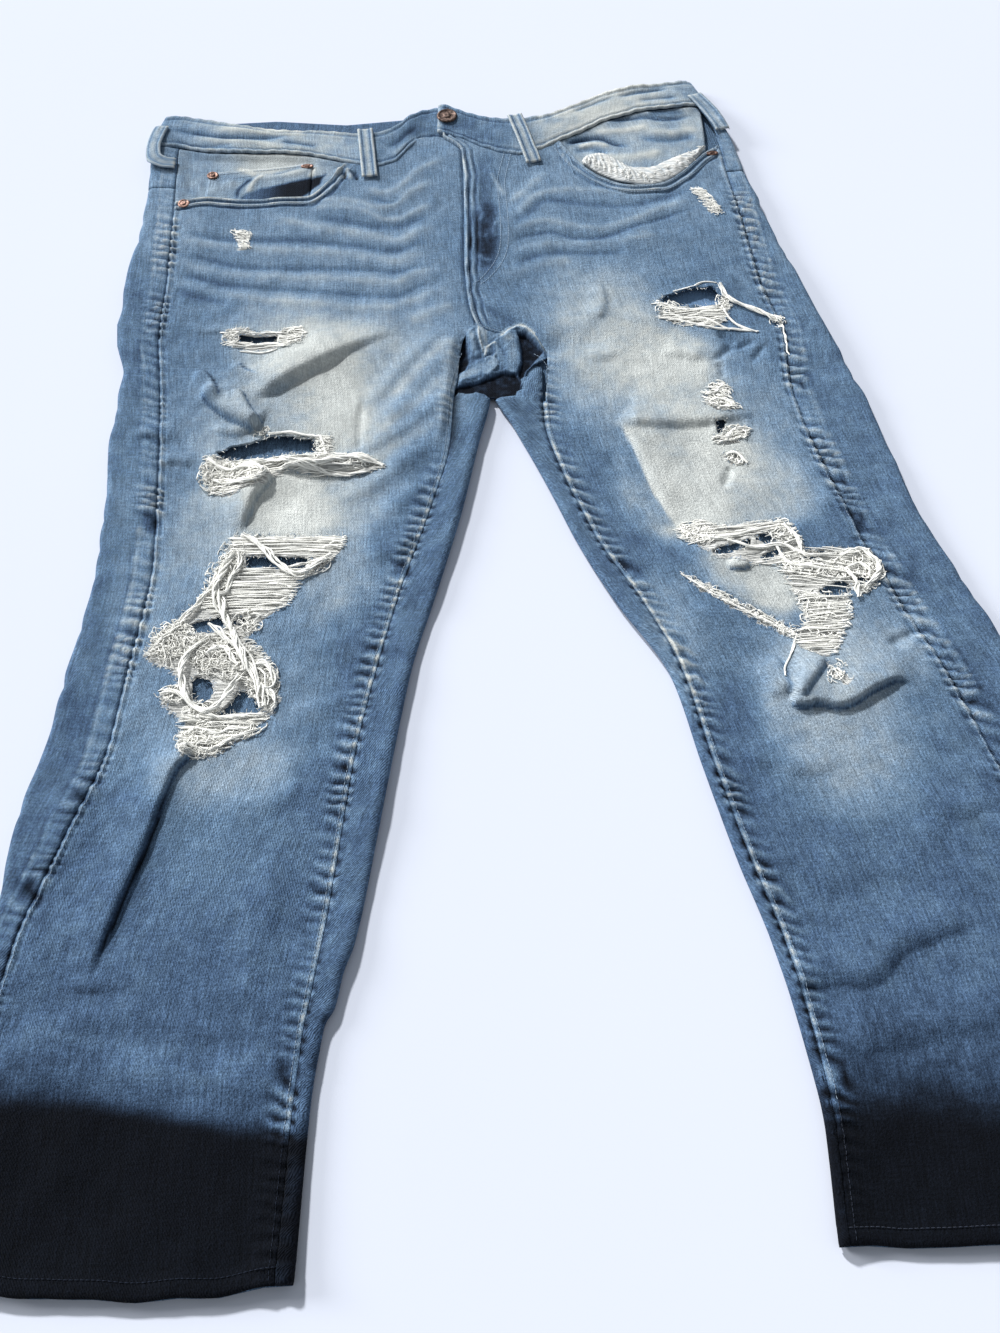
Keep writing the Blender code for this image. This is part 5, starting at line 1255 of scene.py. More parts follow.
def front_edge(side, y):
    """Inner edge of a front panel: its inseam, then the centre front."""
    lap = FLY_LAP if side == "right" else 0.0
    start = inner_x(side, np.array(CROTCH_Y), 1)
    above = mix(start, read(FLY_EDGE, y) + lap, ease(CROTCH_Y, FAN_Y, y))
    return np.where(y <= CROTCH_Y, inner_x(side, y, 1), above)


def top_line(side, x):
    """Top edge of a front panel: the scooped pocket opening, then the waist seam."""
    scoop = read(SCOOPS[side], x)
    seam = read_straight(WAISTS[side], x)
    end = SCOOPS[side][-1 if side == "right" else 0][0]
    scooped = x < end if side == "right" else x > end
    return np.where(scooped, scoop, seam) - GAP


def front_plan(side):
    """The grid of a front panel seen from above."""
    even = np.linspace(0, 1, FRONT_COLUMNS + 1)
    column = (0.45 * even + 0.55 * ease(0, 1, even))[None, :]
    # the top edge is found by going back and forth between its x and its y
    high = np.full_like(column, BLEND_Y + 0.11)
    for _ in range(TOP_TRIES):
        high = top_line(side, mix(side_x(side, high, 2), front_edge(side, high), column))
    low = np.linspace(HEMS[side], BLEND_Y, LOW_ROWS + 1)[:, None] * np.ones_like(column)
    share = 1 - (1 - np.linspace(0, 1, HIGH_ROWS + 1)[1:, None]) ** 1.25
    y = np.concatenate([low, mix(BLEND_Y, high, share)])
    return mix(side_x(side, y, 2), front_edge(side, y), column), y


def hem_height(side, y):
    """The turned hem: thicker cloth, a furrow at its stitching, a rounded end."""
    up = y - HEMS[side]
    thick = HEM_THICK * (1 - ease(HEM_DEPTH, HEM_DEPTH + 0.002, up))
    furrow = HEM_FURROW * bell(up - HEM_DEPTH + 0.0008, 0.0009)
    return thick - furrow - HEM_ROUND * rounding(up, 0.0022)


# distance from the fly's edge, height, width
FLY_RIDGES = ((0.0014, 0.0015, 0.0015), (0.0042, -0.0011, 0.0011), (0.0070, 0.0006, 0.0015),
              (0.0096, -0.0009, 0.0009), (0.0118, 0.0003, 0.0014))
FLY_WANDER = 0.0013
# distance below the scooped pocket opening, height, width
SCOOP_RIDGES = ((0.0014, 0.0010, 0.0013), (0.0042, -0.0008, 0.0010), (0.0070, 0.0008, 0.0014),
                (0.0100, -0.0009, 0.0014))


def below_scoop(side, x, y):
    """How far a place is below the scooped pocket opening, large beyond its ends."""
    table = SCOOPS[side]
    xs = np.linspace(table[0][0], table[-1][0], 200)
    ys = read(table, xs)
    slope = np.interp(x, xs, np.gradient(ys, xs))
    away = (read(table, x) - y) / np.hypot(1, slope)
    off = (x < xs[0]) | (x > xs[-1])
    return np.where(off, 1.0, away)


def fly_wander(y):
    """How far the fly's ridges are off their line."""
    return FLY_WANDER * noise(0.0 * y, y, 0.011, 49)


def front_height(side, x, y):
    """Outer face of a front panel above the surface."""
    outer = np.abs(x - side_x(side, y, 2))
    inner = np.abs(x - front_edge(side, y))
    z = skin(side, x, y) + DENIM / 2
    z = z - 0.0007 * bell(outer, 0.0011) - 0.0005 * bell(inner, 0.0011)
    z = z - 0.0006 * bell(outer - 0.0042, 0.0009)
    if side == "right":
        lapped = ease(CROTCH_Y, FAN_Y, y)
        z = z - LAYER * lapped * ease(FLY_LAP + 0.003, FLY_LAP - 0.001, inner)
    else:
        inner = inner + fly_wander(y)
        rise_by = (1 + 0.6 * noise(x, y, 0.009, 50)) * ease(0.165, 0.185, y)
        for line, rise, width in FLY_RIDGES:
            z = z + rise * rise_by * bell(inner - line, width)
    depth = below_scoop(side, x, y)
    for line, rise, width in SCOOP_RIDGES:
        z = z + rise * bell(depth - line, width)
    return z + hem_height(side, y) + tear_height(side, x, y)


def tear_height(side, x, y):
    """Bare weft hangs a little slack, and the cloth round a hole curls up."""
    slack = SLACK * (noise(x * 0.35, y, 0.0042, 61) - 1)
    total = bareness(side, x, y) * slack
    for hole in HOLES:
        if hole.side == side:
            outline = places(hole.outline)
            near = np.hypot(x - outline[:, 0].mean(), y - outline[:, 1].mean()) < HOLE_REACH
            away, _ = off_line(closed(outline), x[near], y[near])
            curl = HOLE_CURL * np.exp(-np.abs(away) / 0.0025)
            total[near] += curl * (0.5 + noise(x[near], y[near], 0.006, 62))
    return total


def ragged_outline(outline, seed):
    """A closed outline with points every millimetre or so, shaken."""
    ring = closed(outline)
    run = runs(ring)
    spot = np.linspace(0, run[-1], int(run[-1] / HOLE_STEP))[:-1]
    rng = np.random.default_rng(seed)
    return np.stack([np.interp(spot, run, ring[:, k]) + rng.normal(0, HOLE_SHAKE, len(spot))
                     for k in (0, 1)], 1)


def cut_holes(side, x, y, faces):
    """Take the holes out of a grid, moving the nearest points onto their outlines."""
    x = x.ravel().copy()
    y = y.ravel().copy()
    cuts = HOLES + (Tear("right", CROTCH_OPENING), Tear("left", CROTCH_OPENING))
    for number, hole in enumerate(cuts):
        if hole.side != side:
            continue
        outline = places(hole.outline)
        if number < len(HOLES):
            outline = ragged_outline(outline, HOLE_SEED + number)
        ring = closed(outline)
        run = runs(ring)
        near = np.flatnonzero((np.abs(x - outline[:, 0].mean()) < HOLE_REACH)
                              & (np.abs(y - outline[:, 1].mean()) < HOLE_REACH / 2))
        away, share = off_line(ring, x[near], y[near])
        snapped = near[np.abs(away) < HOLE_SNAP]
        spot = share[np.abs(away) < HOLE_SNAP] * run[-1]
        x[snapped] = np.interp(spot, run, ring[:, 0])
        y[snapped] = np.interp(spot, run, ring[:, 1])
        faces = faces[~inside(outline, x[faces].mean(1), y[faces].mean(1))]
    return x, y, faces


def boundary(faces):
    """The edges that only one face has, in that face's direction."""
    edges = np.stack([faces.ravel(), np.roll(faces, -1, axis=1).ravel()], 1)
    low = edges.min(1).astype(np.int64)
    code = low * (int(faces.max()) + 1) + edges.max(1)
    _, index, counts = np.unique(code, return_inverse=True, return_counts=True)
    return edges[counts[index] == 1]


def with_skirt(points, faces, fields, cloth, drop):
    """The same mesh with a short wall down from each of its edges."""
    edges = boundary(faces)
    ring, index = np.unique(edges.ravel(), return_inverse=True)
    index = index.reshape(edges.shape) + len(points)
    low = points[ring] - (0.0, 0.0, drop)
    wall = np.stack([edges[:, 1], edges[:, 0], index[:, 0], index[:, 1]], 1)
    fields = {key: np.concatenate([values, values[ring]]) for key, values in fields.items()}
    return (np.concatenate([points, low]), np.concatenate([faces, wall]), fields,
            np.concatenate([cloth, cloth[ring]]))


def compact(points, faces, fields, cloth):
    """The same mesh without the points that no face uses."""
    used, index = np.unique(faces.ravel(), return_inverse=True)
    fields = {key: values[used] for key, values in fields.items()}
    return points[used], index.reshape(faces.shape), fields, cloth[used]


def open_cloth(name, points, faces, fields, cloth):
    """A skin of cloth with no inner face, its edges turned down."""
    parts = compact(points, faces, fields, cloth)
    points, faces, fields, cloth = with_skirt(*parts, SKIRT)
    return new_mesh(name, points, faces, DENIM_LOOK, fields, cloth)


def build_front(side):
    x, y = front_plan(side)
    across = (x - side_x(side, y, 2)).ravel()
    x, y, faces = cut_holes(side, x, y, grid_faces(*x.shape, flip=side == "left"))
    fields = {"dye": fade_colour(fading_and_shading(side, x, y)), "bare": bareness(side, x, y)}
    move = crease_lean(x, y)
    points = np.stack([x + move[:, 0], y + move[:, 1] + hem_shift(side, x, y),
                       front_height(side, x, y)], 1)
    return open_cloth("front_%s_cloth" % side, points, faces, fields, np.stack([across, y], 1))


# ---------------------------------------------------------------- cloth bunched at the crotch
# on the plan: the opening under the front, and how far the bunched cloth reaches below it
CROTCH_OPENING = ((-2.4, 66.6), (-2.8, 65.5), (-3.0, 64.0), (-3.1, 62.0), (-3.3, 60.0),
                  (-1.2, 59.0), (1.2, 59.0), (3.3, 60.0), (3.45, 62.0), (3.5, 64.3),
                  (3.2, 65.1), (2.6, 66.0), (2.0, 66.8), (1.2, 67.1), (0.6, 66.7), (0.1, 66.1),
                  (-0.5, 65.7), (-1.0, 65.2), (-1.3, 66.0), (-1.5, 66.8), (-2.1, 66.9))
BUNCHED = ((-2.6, 67.4), (-3.4, 65.8), (-3.6, 64.0), (-3.6, 60.4), (-1.2, 60.3), (-0.5, 60.3),
           (0.1, 60.0), (1.2, 60.3), (1.65, 61.5), (1.95, 62.7), (2.4, 63.3), (3.4, 64.0),
           (4.1, 64.6), (3.6, 65.6), (2.8, 66.8), (1.4, 67.7), (-0.6, 67.7))
BUNCH_COLUMNS = 96
BUNCH_ROWS = 104
BUNCH_BASE = 0.0045
# folds of it: points on the plan, height and half-width in millimetres
BUNCHES = (
    (((-3.3, 61.9), (-2.4, 62.3), (-1.7, 62.8), (-1.0, 63.3)), 4.2, 4.6),
    (((-2.3, 66.6), (-2.0, 65.4), (-1.8, 64.3)), 3.0, 3.6),
    (((-1.0, 62.7), (-0.5, 63.5)), 5.8, 4.0),
    (((-1.1, 64.2), (-0.9, 65.1), (-0.4, 65.3), (-0.2, 64.6), (-0.5, 63.9)), 4.4, 1.2),
    (((-1.1, 63.7), (-0.7, 64.0), (-0.2, 63.5), (-0.5, 62.8), (-1.1, 62.9)), 6.4, 1.0),
    (((-1.35, 67.0), (-1.25, 65.6), (-0.95, 64.5)), 3.6, 2.4),
    (((-1.62, 67.3), (-1.55, 65.9), (-1.25, 64.6)), 4.0, 0.8),
    (((0.2, 66.4), (0.8, 65.4), (0.95, 64.0), (0.8, 62.6)), 3.4, 5.6),
    (((-0.5, 65.4), (0.0, 64.4), (0.2, 63.2)), 2.4, 3.6),
    (((0.1, 66.0), (0.8, 66.8), (1.5, 66.95), (2.1, 66.5), (2.7, 65.8), (3.4, 64.8)), 3.0, 1.6),
)
# the deep places among them, darkened with painted shade
SHADED_HOLLOWS = (
    ((-3.3, 61.2), (-2.7, 61.3), (-1.5, 61.7), (-0.6, 62.2), (0.1, 62.6), (1.2, 62.4),
     (1.6, 61.6), (1.3, 60.2), (0.2, 59.9), (-0.5, 60.2), (-1.2, 60.2), (-3.4, 60.3)),
    ((1.3, 66.5), (1.9, 66.4), (2.5, 65.6), (3.2, 64.7), (2.4, 63.5), (1.9, 62.8),
     (1.6, 61.6), (1.3, 62.4), (1.6, 63.6), (1.6, 65.0)),
    ((-2.9, 66.4), (-2.6, 66.3), (-2.5, 65.0), (-2.3, 63.6), (-2.6, 62.7), (-3.4, 62.4),
     (-3.6, 65.0)),
)
# pale edges on the cloth: points and half-width in millimetres
PALE_EDGES = (
    (((-1.62, 67.3), (-1.55, 65.9), (-1.2, 64.6)), 0.98),
    (((-1.02, 67.2), (-1.05, 65.9), (-0.8, 64.8)), 0.98),
    (((0.1, 66.1), (0.8, 66.9), (1.5, 67.05), (2.1, 66.6), (2.7, 65.9), (3.3, 64.8)), 1.12),
    (((-1.1, 64.2), (-0.9, 65.1), (-0.4, 65.3)), 0.98),
)
# where each leg's inner strip ends: x, y on the plan
STRIP_ENDS = {
    "right": ((-6.0, 60.0), (-3.5, 60.1), (-2.9, 60.7), (-2.3, 60.4), (-1.6, 60.8), (-1.0, 60.2)),
    "left": ((0.0, 60.1), (1.2, 60.4), (1.6, 61.5), (1.9, 62.8), (2.3, 63.5), (3.2, 64.2),
             (6.0, 65.5)),
}


def strip_sink(side, x, y):
    """1 where a leg's inner strip has gone down under the bunched cloth."""
    ends = places(STRIP_ENDS[side])
    return ease(-0.0015, 0.0025, y - np.interp(x, ends[:, 0], ends[:, 1]))


def build_bunch():
    """The seat's cloth bunched where the legs meet, with its knot, seen under the front."""
    outline = places(BUNCHED)
    least, most = outline.min(0), outline.max(0)
    up, along = shares(BUNCH_ROWS + 1, BUNCH_COLUMNS + 1)
    x, y = np.broadcast_arrays(mix(least[0], most[0], along), mix(least[1], most[1], up))
    faces = grid_faces(*x.shape)
    x, y = x.ravel(), y.ravel()
    high = np.zeros(x.shape)
    for points, height, width in BUNCHES:
        away, share = off_line(smooth_line(places(points), FOLD_POINTS), x, y)
        ends = 0.75 + 0.25 * np.sin(math.pi * share)
        high = np.maximum(high, MM * height * ends * bell(away, MM * width))
    rough = 0.0005 * noise(x, y, 0.0035, 91) + 0.0004 * noise(x, y, 0.0018, 92)
    shaded_hollow = np.zeros(x.shape)
    for hollow in SHADED_HOLLOWS:
        shaded_hollow = np.maximum(shaded_hollow, ease(-0.0014, 0.0012, depth_in(places(hollow), x, y)))
    high = high * (1 - 0.8 * shaded_hollow)
    upper = ease(64.6, 66.4, y / CM + PLAN_Y)
    z = BUNCH_BASE + (0.0022 + 0.0022 * upper) * (1 - shaded_hollow) + high + rough * (0.4 + high / 0.003)
    lowest_skin = np.minimum(skin("right", x, y), skin("left", x, y))
    z = mix(z, np.maximum(z, lowest_skin + DENIM / 2 + 0.5 * high), upper * (1 - shaded_hollow))
    # it stays under the front's edge, sinking away from the opening
    depth = depth_in(places(CROTCH_OPENING), x, y)
    under = lowest_skin + mix(-0.0018, DENIM / 2 + 0.0002, upper) \
        - 0.0010 * ease(0.002, 0.0045, -depth)
    z = np.minimum(z, under + 0.0035 * ease(-0.0005, 0.004, depth))
    # painted shade in the hollows, and painted light on the raised folds
    fade = mix(mix(0.38, 0.52, upper), 0.03, shaded_hollow) + 0.24 * ease(0.0008, 0.0036, high) \
        + 0.08 * noise(x, y, 0.003, 93)
    for points, width in PALE_EDGES:
        away, _ = off_line(smooth_line(places(points), 20), x, y)
        fade = fade + 0.30 * (1 - shaded_hollow) * bell(away, MM * width)
    faces = faces[inside(outline, x[faces].mean(1), y[faces].mean(1))]
    return open_cloth("bunched_cloth", np.stack([x, y, z], 1), faces, wear_and_shading_fields(fade),
                      np.stack([x, y], 1))


# ---------------------------------------------------------------- back of the garment
STRIP = 12               # columns of a back panel folded over onto the front
ROLL = 8                 # round a folded edge
FLOOR = 16               # across the part that lies on the surface
INNER_STRIP = 8
LEG_COLUMNS = STRIP + ROLL + FLOOR + ROLL + INNER_STRIP
SEAT_FLOOR = LEG_COLUMNS - STRIP - ROLL
LEG_ROWS = 350
LEG_TOP_Y = 0.158        # the last row that goes right round a leg
JOIN_ROWS = 9            # from there to the seat's first row
SEAT_ROWS = 32
SEAT_TOP_ROWS = 34
YOKE_FLOOR = 56
YOKE_ROWS = 30
BACK_EDGE = 0.0006       # how far the back's edges are rounded
GAP = 0.0003
GAP_SHADE_WIDTH = 0.0048        # how wide the painted shade is where a strip goes under the front
STRIP_LOW = 0.0009       # height of a leg's inner strip where it has gone down
ROLL_BULGE = 1.15        # how far a fold reaches out, as a share of half its height
# patch pockets: the middle's x and the tilt of each, then the heights of its three levels and
# its half width at the top and at the low corners
BACK_POCKETS = {"right": (-0.180, -0.06), "left": (0.060, 0.06)}
PATCH_TOP_Y = 0.300
PATCH_MID_Y = 0.240
PATCH_CORNER_Y = 0.180
PATCH_POINT_Y = 0.158
PATCH_TOP_HALF = 0.072
PATCH_LOW_HALF = 0.066


def fold_round(edge, sense, low, high, angle):
    """A rolled fold between two heights, with its outermost x: the x it starts from, then
    its x and z at an angle."""
    half = (high - low) / 2
    bulge = ROLL_BULGE * half
    centre = edge - sense * (bulge + DENIM / 2)
    return centre, centre + sense * bulge * np.cos(angle), low + half + half * np.sin(angle)


def outer_wrap(side, y, column):
    """x and z of the strip and roll at the side fold, for columns up to STRIP + ROLL."""
    sense = OUTWARD[side]
    edge = side_x(side, y, 1)
    high = skin(side, edge, y)
    low = floor_height(y)
    angle = math.pi / 2 - math.pi * np.clip((column - STRIP) / ROLL, 0, 1)
    centre, x_roll, z_roll = fold_round(edge, sense, low, high, angle)
    seam = side_x(side, y, 2) + sense * GAP / 2
    share = np.clip(column / STRIP, 0, 1)
    x_strip = mix(seam, centre, share)
    z_strip = skin(side, x_strip, y) + share * (high - skin(side, centre, y))
    x = np.where(column <= STRIP, x_strip, x_roll)
    z = np.where(column <= STRIP, z_strip, z_roll)
    # the strip starts a little low, under the front's edge
    return x, z - 0.0004 * bell(column, 1.2), low


def seat_wrap(side, y, column, floor_columns):
    """x and z of rows that go over the side fold and under to the centre back."""
    x, z, low = outer_wrap(side, y, column)
    start, _, _ = outer_wrap(side, y, np.full_like(column, STRIP + ROLL))
    end = read(CENTRE_BACK, y) + OUTWARD[side] * GAP / 2
    share = np.clip((column - STRIP - ROLL) / floor_columns, 0, 1)
    flat = column > STRIP + ROLL
    return np.where(flat, mix(start, end, share), x), np.where(flat, low, z)


def leg_wrap(side, y, column):
    """x and z of rows that go right round a leg, from the outseam to the inseam."""
    x, z, low = outer_wrap(side, y, column)
    start, _, _ = outer_wrap(side, y, np.full_like(column, STRIP + ROLL))
    sense = -OUTWARD[side]
    drop = CROTCH_DROP * ease(0.122, 0.152, y)
    edge = inner_x(side, y, 2)
    full = skin(side, edge, y)
    high = full - mix(drop, full - low - STRIP_LOW, strip_sink(side, edge, y))
    angle = -math.pi / 2 + math.pi * np.clip((column - STRIP - ROLL - FLOOR) / ROLL, 0, 1)
    centre, x_roll, z_roll = fold_round(edge, sense, low, high, angle)
    x_floor = mix(start, centre, np.clip((column - STRIP - ROLL) / FLOOR, 0, 1))
    share = np.clip((column - (LEG_COLUMNS - INNER_STRIP)) / INNER_STRIP, 0, 1)
    x_strip = mix(centre, inner_x(side, y, 1) + sense * GAP / 2, share)
    top = skin(side, x_strip, y)
    sunk = strip_sink(side, x_strip, y)
    z_strip = top - mix(drop, top - low - STRIP_LOW, sunk)
    z_strip = z_strip + (1 - share) * (1 - sunk) * (full - skin(side, centre, y))
    zones = [column > LEG_COLUMNS - INNER_STRIP, column > STRIP + ROLL + FLOOR,
             column > STRIP + ROLL]
    return (np.select(zones, [x_strip, x_roll, x_floor], x),
            np.select(zones, [z_strip, z_roll, low], z))


def yoke_seam(side, column, floor_columns):
    """The yoke seam, high at the side and low at the centre back."""
    share = (column - STRIP - ROLL) / floor_columns
    return mix(YOKE_SIDE_Y[side], YOKE_BACK_Y, ease(0, 1, share))


def side_row(side):
    """The row of the front waist at the side of the garment."""
    return WAISTS[side][0 if side == "right" else -1]


def fly_row(side):
    """The row of the front waist at the fly."""
    return WAISTS[side][-1 if side == "right" else 0]


def waist_line(side, column, edge, floor_columns):
    """The waist seam (edge 1) or the band's top (edge 2) over the side and the back."""
    front = np.full(np.shape(column), side_row(side)[edge])
    x, _ = seat_wrap(side, front, column, floor_columns)
    back = read_straight(BACK_WAIST, x, edge)
    return mix(front, back, ease(STRIP, STRIP + ROLL, column))


def back_rows(side):
    """The y of each point of a back panel's rows, with the leg rows first."""
    column = np.arange(LEG_COLUMNS + 1.0)[None, :]
    legs = np.linspace(HEMS[side], LEG_TOP_Y, LEG_ROWS)[:, None] + 0 * column
    seat = np.linspace(FAN_Y, BLEND_Y, SEAT_ROWS)[:, None] + 0 * column
    top = yoke_seam(side, column, SEAT_FLOOR) - GAP / 2
    high = mix(BLEND_Y, top, np.linspace(0, 1, SEAT_TOP_ROWS)[1:, None])
    return column, legs, np.concatenate([seat, high])


def build_back(side):
    column, legs, seat = back_rows(side)
    x, z = leg_wrap(side, legs, column + 0 * legs)
    z = z + np.where(z > floor_height(legs) + 0.001, hem_height(side, legs), 0)
    low = np.stack([x, legs + hem_shift(side, x, legs), z], -1)
    x, z = seat_wrap(side, seat, column + 0 * seat, SEAT_FLOOR)
    high = np.stack([x, seat, z], -1)
    joined = mix(low[-1:], high[:1], np.linspace(0, 1, JOIN_ROWS)[1:-1, None, None])
    middle = np.concatenate([low, joined, high])
    x, y = middle[..., 0], middle[..., 1]
    fields = plain_fields(x, y, side)
    if side == "right":
        # painted shade where the inner strip goes under the front's edge, below the crotch
        painted_gap_shade = bell(x - inner_x(side, y, 1), GAP_SHADE_WIDTH) * ease(0.040, 0.075, y) \
            * (1 - ease(0.160, 0.180, y))
        fields["dye"] = fields["dye"] * (1 - 0.85 * painted_gap_shade[..., None])
    return shell("back_%s_cloth" % side, middle, DENIM, DENIM_LOOK, fields, sense=OUTWARD[side],
                 inside_fields=even_fields(x.shape, INSIDE_FADE), soft=BACK_EDGE)


def build_yoke(side):
    column = np.arange(STRIP + ROLL + YOKE_FLOOR + 1.0)[None, :]
    low = yoke_seam(side, column, YOKE_FLOOR) + GAP / 2
    high = waist_line(side, column, 1, YOKE_FLOOR) - GAP / 2
    y = mix(low, high, np.linspace(0, 1, YOKE_ROWS)[:, None])
    x, z = seat_wrap(side, y, column + 0 * y, YOKE_FLOOR)
    return shell("yoke_%s_cloth" % side, np.stack([x, y, z], -1), DENIM, DENIM_LOOK,
                 plain_fields(x, y, side), sense=OUTWARD[side],
                 inside_fields=even_fields(x.shape, INSIDE_FADE))


def build_back_pocket(side):
    """A five-sided patch pocket under the seat."""
    place_x, tilt = BACK_POCKETS[side]
    s, t = shares(25, 25)
    t = 2 * t - 1
    bottom = mix(PATCH_POINT_Y, PATCH_CORNER_Y, np.abs(t))
    along = mix(bottom, PATCH_TOP_Y, s)
    half_width = mix(PATCH_LOW_HALF, PATCH_TOP_HALF, ease(PATCH_CORNER_Y, PATCH_TOP_Y, along))
    across = t * half_width
    x = place_x + across + tilt * (along - PATCH_MID_Y)
    y = along - tilt * across
    wall = FLOOR_MID + SEAT_LIFT - DENIM / 2 - GAP
    middle = np.stack([x, y, np.full_like(x, wall / 2)], -1)
    return shell("back_pocket_%s_cloth" % side, middle, wall, DENIM_LOOK,
                 plain_fields(x, y, side))


# ---------------------------------------------------------------- waistband and loops
BAND_COLUMNS = 130       # over the front
BAND_FLOOR = 60          # and over the back
BAND_ROWS = 27
BAND_OVERLAP = 0.0031
BAND_CORNER = 0.0045     # how far the top corner at the fly end is rounded down
BAND_RIPPLE = 0.00035
BAND_RIPPLE_PITCH = 0.0105
BAND_CREASE_ENDS = 0.25
BAND_SOFT = 0.0011       # how far its edges are rounded
BAND_FULL = 0.0005       # how much fuller it is along its middle
# x on the plan, how faded the band is there
BAND_LEVELS = ((-28.5, 0.54), (-25, 0.68), (-20, 0.80), (-14, 0.78), (-10, 0.54), (-6, 0.42),
               (-3, 0.40), (0, 0.46), (3, 0.74), (6, 0.98), (9, 1.00), (13, 0.90), (17, 0.66))
BAND_CREASES = (
    # points on the plan, millimetres, half width in centimetres
    (((-28.6, 89.9), (-26.5, 89.5), (-24.5, 89.0), (-23.0, 88.6), (-20.0, 88.6), (-17.0, 88.9)),
     -1.9, 0.30),
    (((-18.5, 88.1), (-16.5, 87.8), (-15.0, 87.6)), -1.7, 0.24),
    (((-27.5, 88.6), (-25.0, 87.6), (-22.0, 87.6)), -1.2, 0.22),
    (((-24.5, 89.9), (-21.5, 89.4), (-18.5, 89.3), (-15.5, 88.9)), 1.0, 0.30),
    (((-26.6, 88.9), (-23.5, 88.1), (-20.5, 87.9), (-17.5, 87.3)), 1.0, 0.30),
    (((9.8, 93.9), (11.0, 94.3), (13.0, 94.9), (15.0, 95.4)), -2.0, 0.28),
    (((6.0, 92.0), (8.0, 93.2), (10.0, 94.0)), -1.3, 0.25),
    (((11.6, 93.4), (13.5, 93.8), (15.6, 94.2)), -1.2, 0.22),
    (((8.5, 94.2), (10.5, 95.1), (13.0, 95.8)), 0.9, 0.30),
    (((-9.6, 87.2), (-8.4, 88.4), (-7.0, 90.6)), -1.2, 0.3),
    (((-9.0, 86.2), (-7.6, 88.0), (-6.2, 89.4)), 0.8, 0.3),
)
# share of the band's height, rise, width as a share
BAND_EDGES = ((0.045, 0.0007, 0.035), (0.13, -0.0007, 0.03), (0.20, 0.0003, 0.03),
              (0.955, 0.0007, 0.035), (0.87, -0.0007, 0.03), (0.80, 0.0003, 0.03))
def band_height(side, x, y):
    """Middle of the band's cloth over the front, above the surface."""
    total = skin(side, x, y)
    for points, height, width in BAND_CREASES:
        total = total + MM * height * fold_wave(points, width, BAND_CREASE_ENDS, x, y)
    return total


def band_under(side, x):
    """How far the right half of the band goes down, at the fly, under the left one."""
    return BAND_OVERLAP * ease(-0.108, -0.092, x) if side == "right" else 0.0


def build_waistband(side):
    """One half of the band, from the fly round the side to the centre back."""
    table = WAISTS[side]
    _, edge_low, edge_high = side_row(side)
    fly_x = fly_row(side)[0]
    share, t = shares(BAND_ROWS, BAND_COLUMNS + 1)
    t = t[:, :-1]
    column = np.arange(STRIP, STRIP + ROLL + BAND_FLOOR + 1.0)[None, :]
    y_back = mix(waist_line(side, column, 1, BAND_FLOOR) + GAP / 2,
                 waist_line(side, column, 2, BAND_FLOOR), share)
    x_back, z_back = seat_wrap(side, y_back, column + 0 * share, BAND_FLOOR)
    x_front = mix(fly_x, x_back[:, :1], t)
    seam = read_straight(table, x_front, 1) + GAP / 2
    y_front = mix(seam, read_straight(table, x_front, 2), share)
    y_front = mix(y_front, mix(edge_low + GAP / 2, edge_high, share), ease(0.94, 1.0, t))
    y_front = y_front - BAND_CORNER * share ** 3 * bell(x_front - fly_x, 0.004)
    z_front = band_height(side, x_front, y_front) - band_under(side, x_front)
    # the band is fuller along its middle, and ridged and furrowed at its two rows of stitching
    full = BAND_FULL * np.sin(math.pi * share)
    for line, rise, width in BAND_EDGES:
        full = full + rise * bell(share - line, width)
    waves = BAND_RIPPLE * np.sin(x_front * 2 * math.pi / BAND_RIPPLE_PITCH + 2 * share) \
        * (bell(share, 0.16) + bell(1 - share, 0.16))
    z_front = z_front + full + waves
    middle = np.concatenate([np.stack([x_front, y_front, z_front], -1),
                             np.stack([x_back, y_back, z_back], -1)], 1)
    x, y = middle[..., 0], middle[..., 1]
    return shell("waistband_%s_cloth" % side, middle, BAND, DENIM_LOOK,
                 band_fields(side, x, y, share), sense=OUTWARD[side],
                 inside_fields=even_fields(x.shape, BAND_INSIDE_FADE), soft=BAND_SOFT)


def band_fields(side, x, y, share):
    """Pale wear over the band, worst along its edges and over the hips."""
    fade = np.interp(x / CM + PLAN_X, *np.array(BAND_LEVELS).T)
    fade = fade + 0.09 * noise(x, y, 0.007, 81) + 0.05 * noise(x, y, 0.003, 82)
    for line, rise, width in BAND_EDGES:
        fade = fade + (230 if rise > 0 else 300) * rise * bell(share - line, width)
    from_end = np.abs(x - fly_row(side)[0])
    fade = fade + 0.34 * bell(from_end, 0.0035) - 0.16 * bell(from_end - 0.0065, 0.0020)
    for points, height, width in BAND_CREASES:
        fade = fade + 0.22 * height * fold_wave(points, width, BAND_CREASE_ENDS, x, y)
    return wear_and_shading_fields(fade, 0.05, PALEST)


Loop = namedtuple("Loop", "name side points level contrast")
LOOP_WIDTH = 0.013
LOOP_WALL = 0.0014
BACK_LOOP_Y = (0.382, 0.438)
BACK_LOOP_WALL = 0.0012
# from the lower end of each to its upper end; the right side's lower end is folded inward
LOOPS = (
    Loop("front_right", "right", ((-10.6, 83.4), (-11.35, 89.5)), 0.62, 1.6),
    Loop("front_left", "left", ((2.8, 85.5), (1.2, 91.5)), 0.62, 1.6),
    Loop("side_right", "right", ((-26.7, 85.2), (-27.7, 85.2), (-28.5, 85.8), (-28.8, 87.2),
                                 (-28.7, 88.7), (-28.5, 90.0)), 0.66, 0.9),
    Loop("side_left", "left", ((18.75, 89.6), (17.9, 92.0), (16.7, 94.4)), 0.66, 0.8),
)


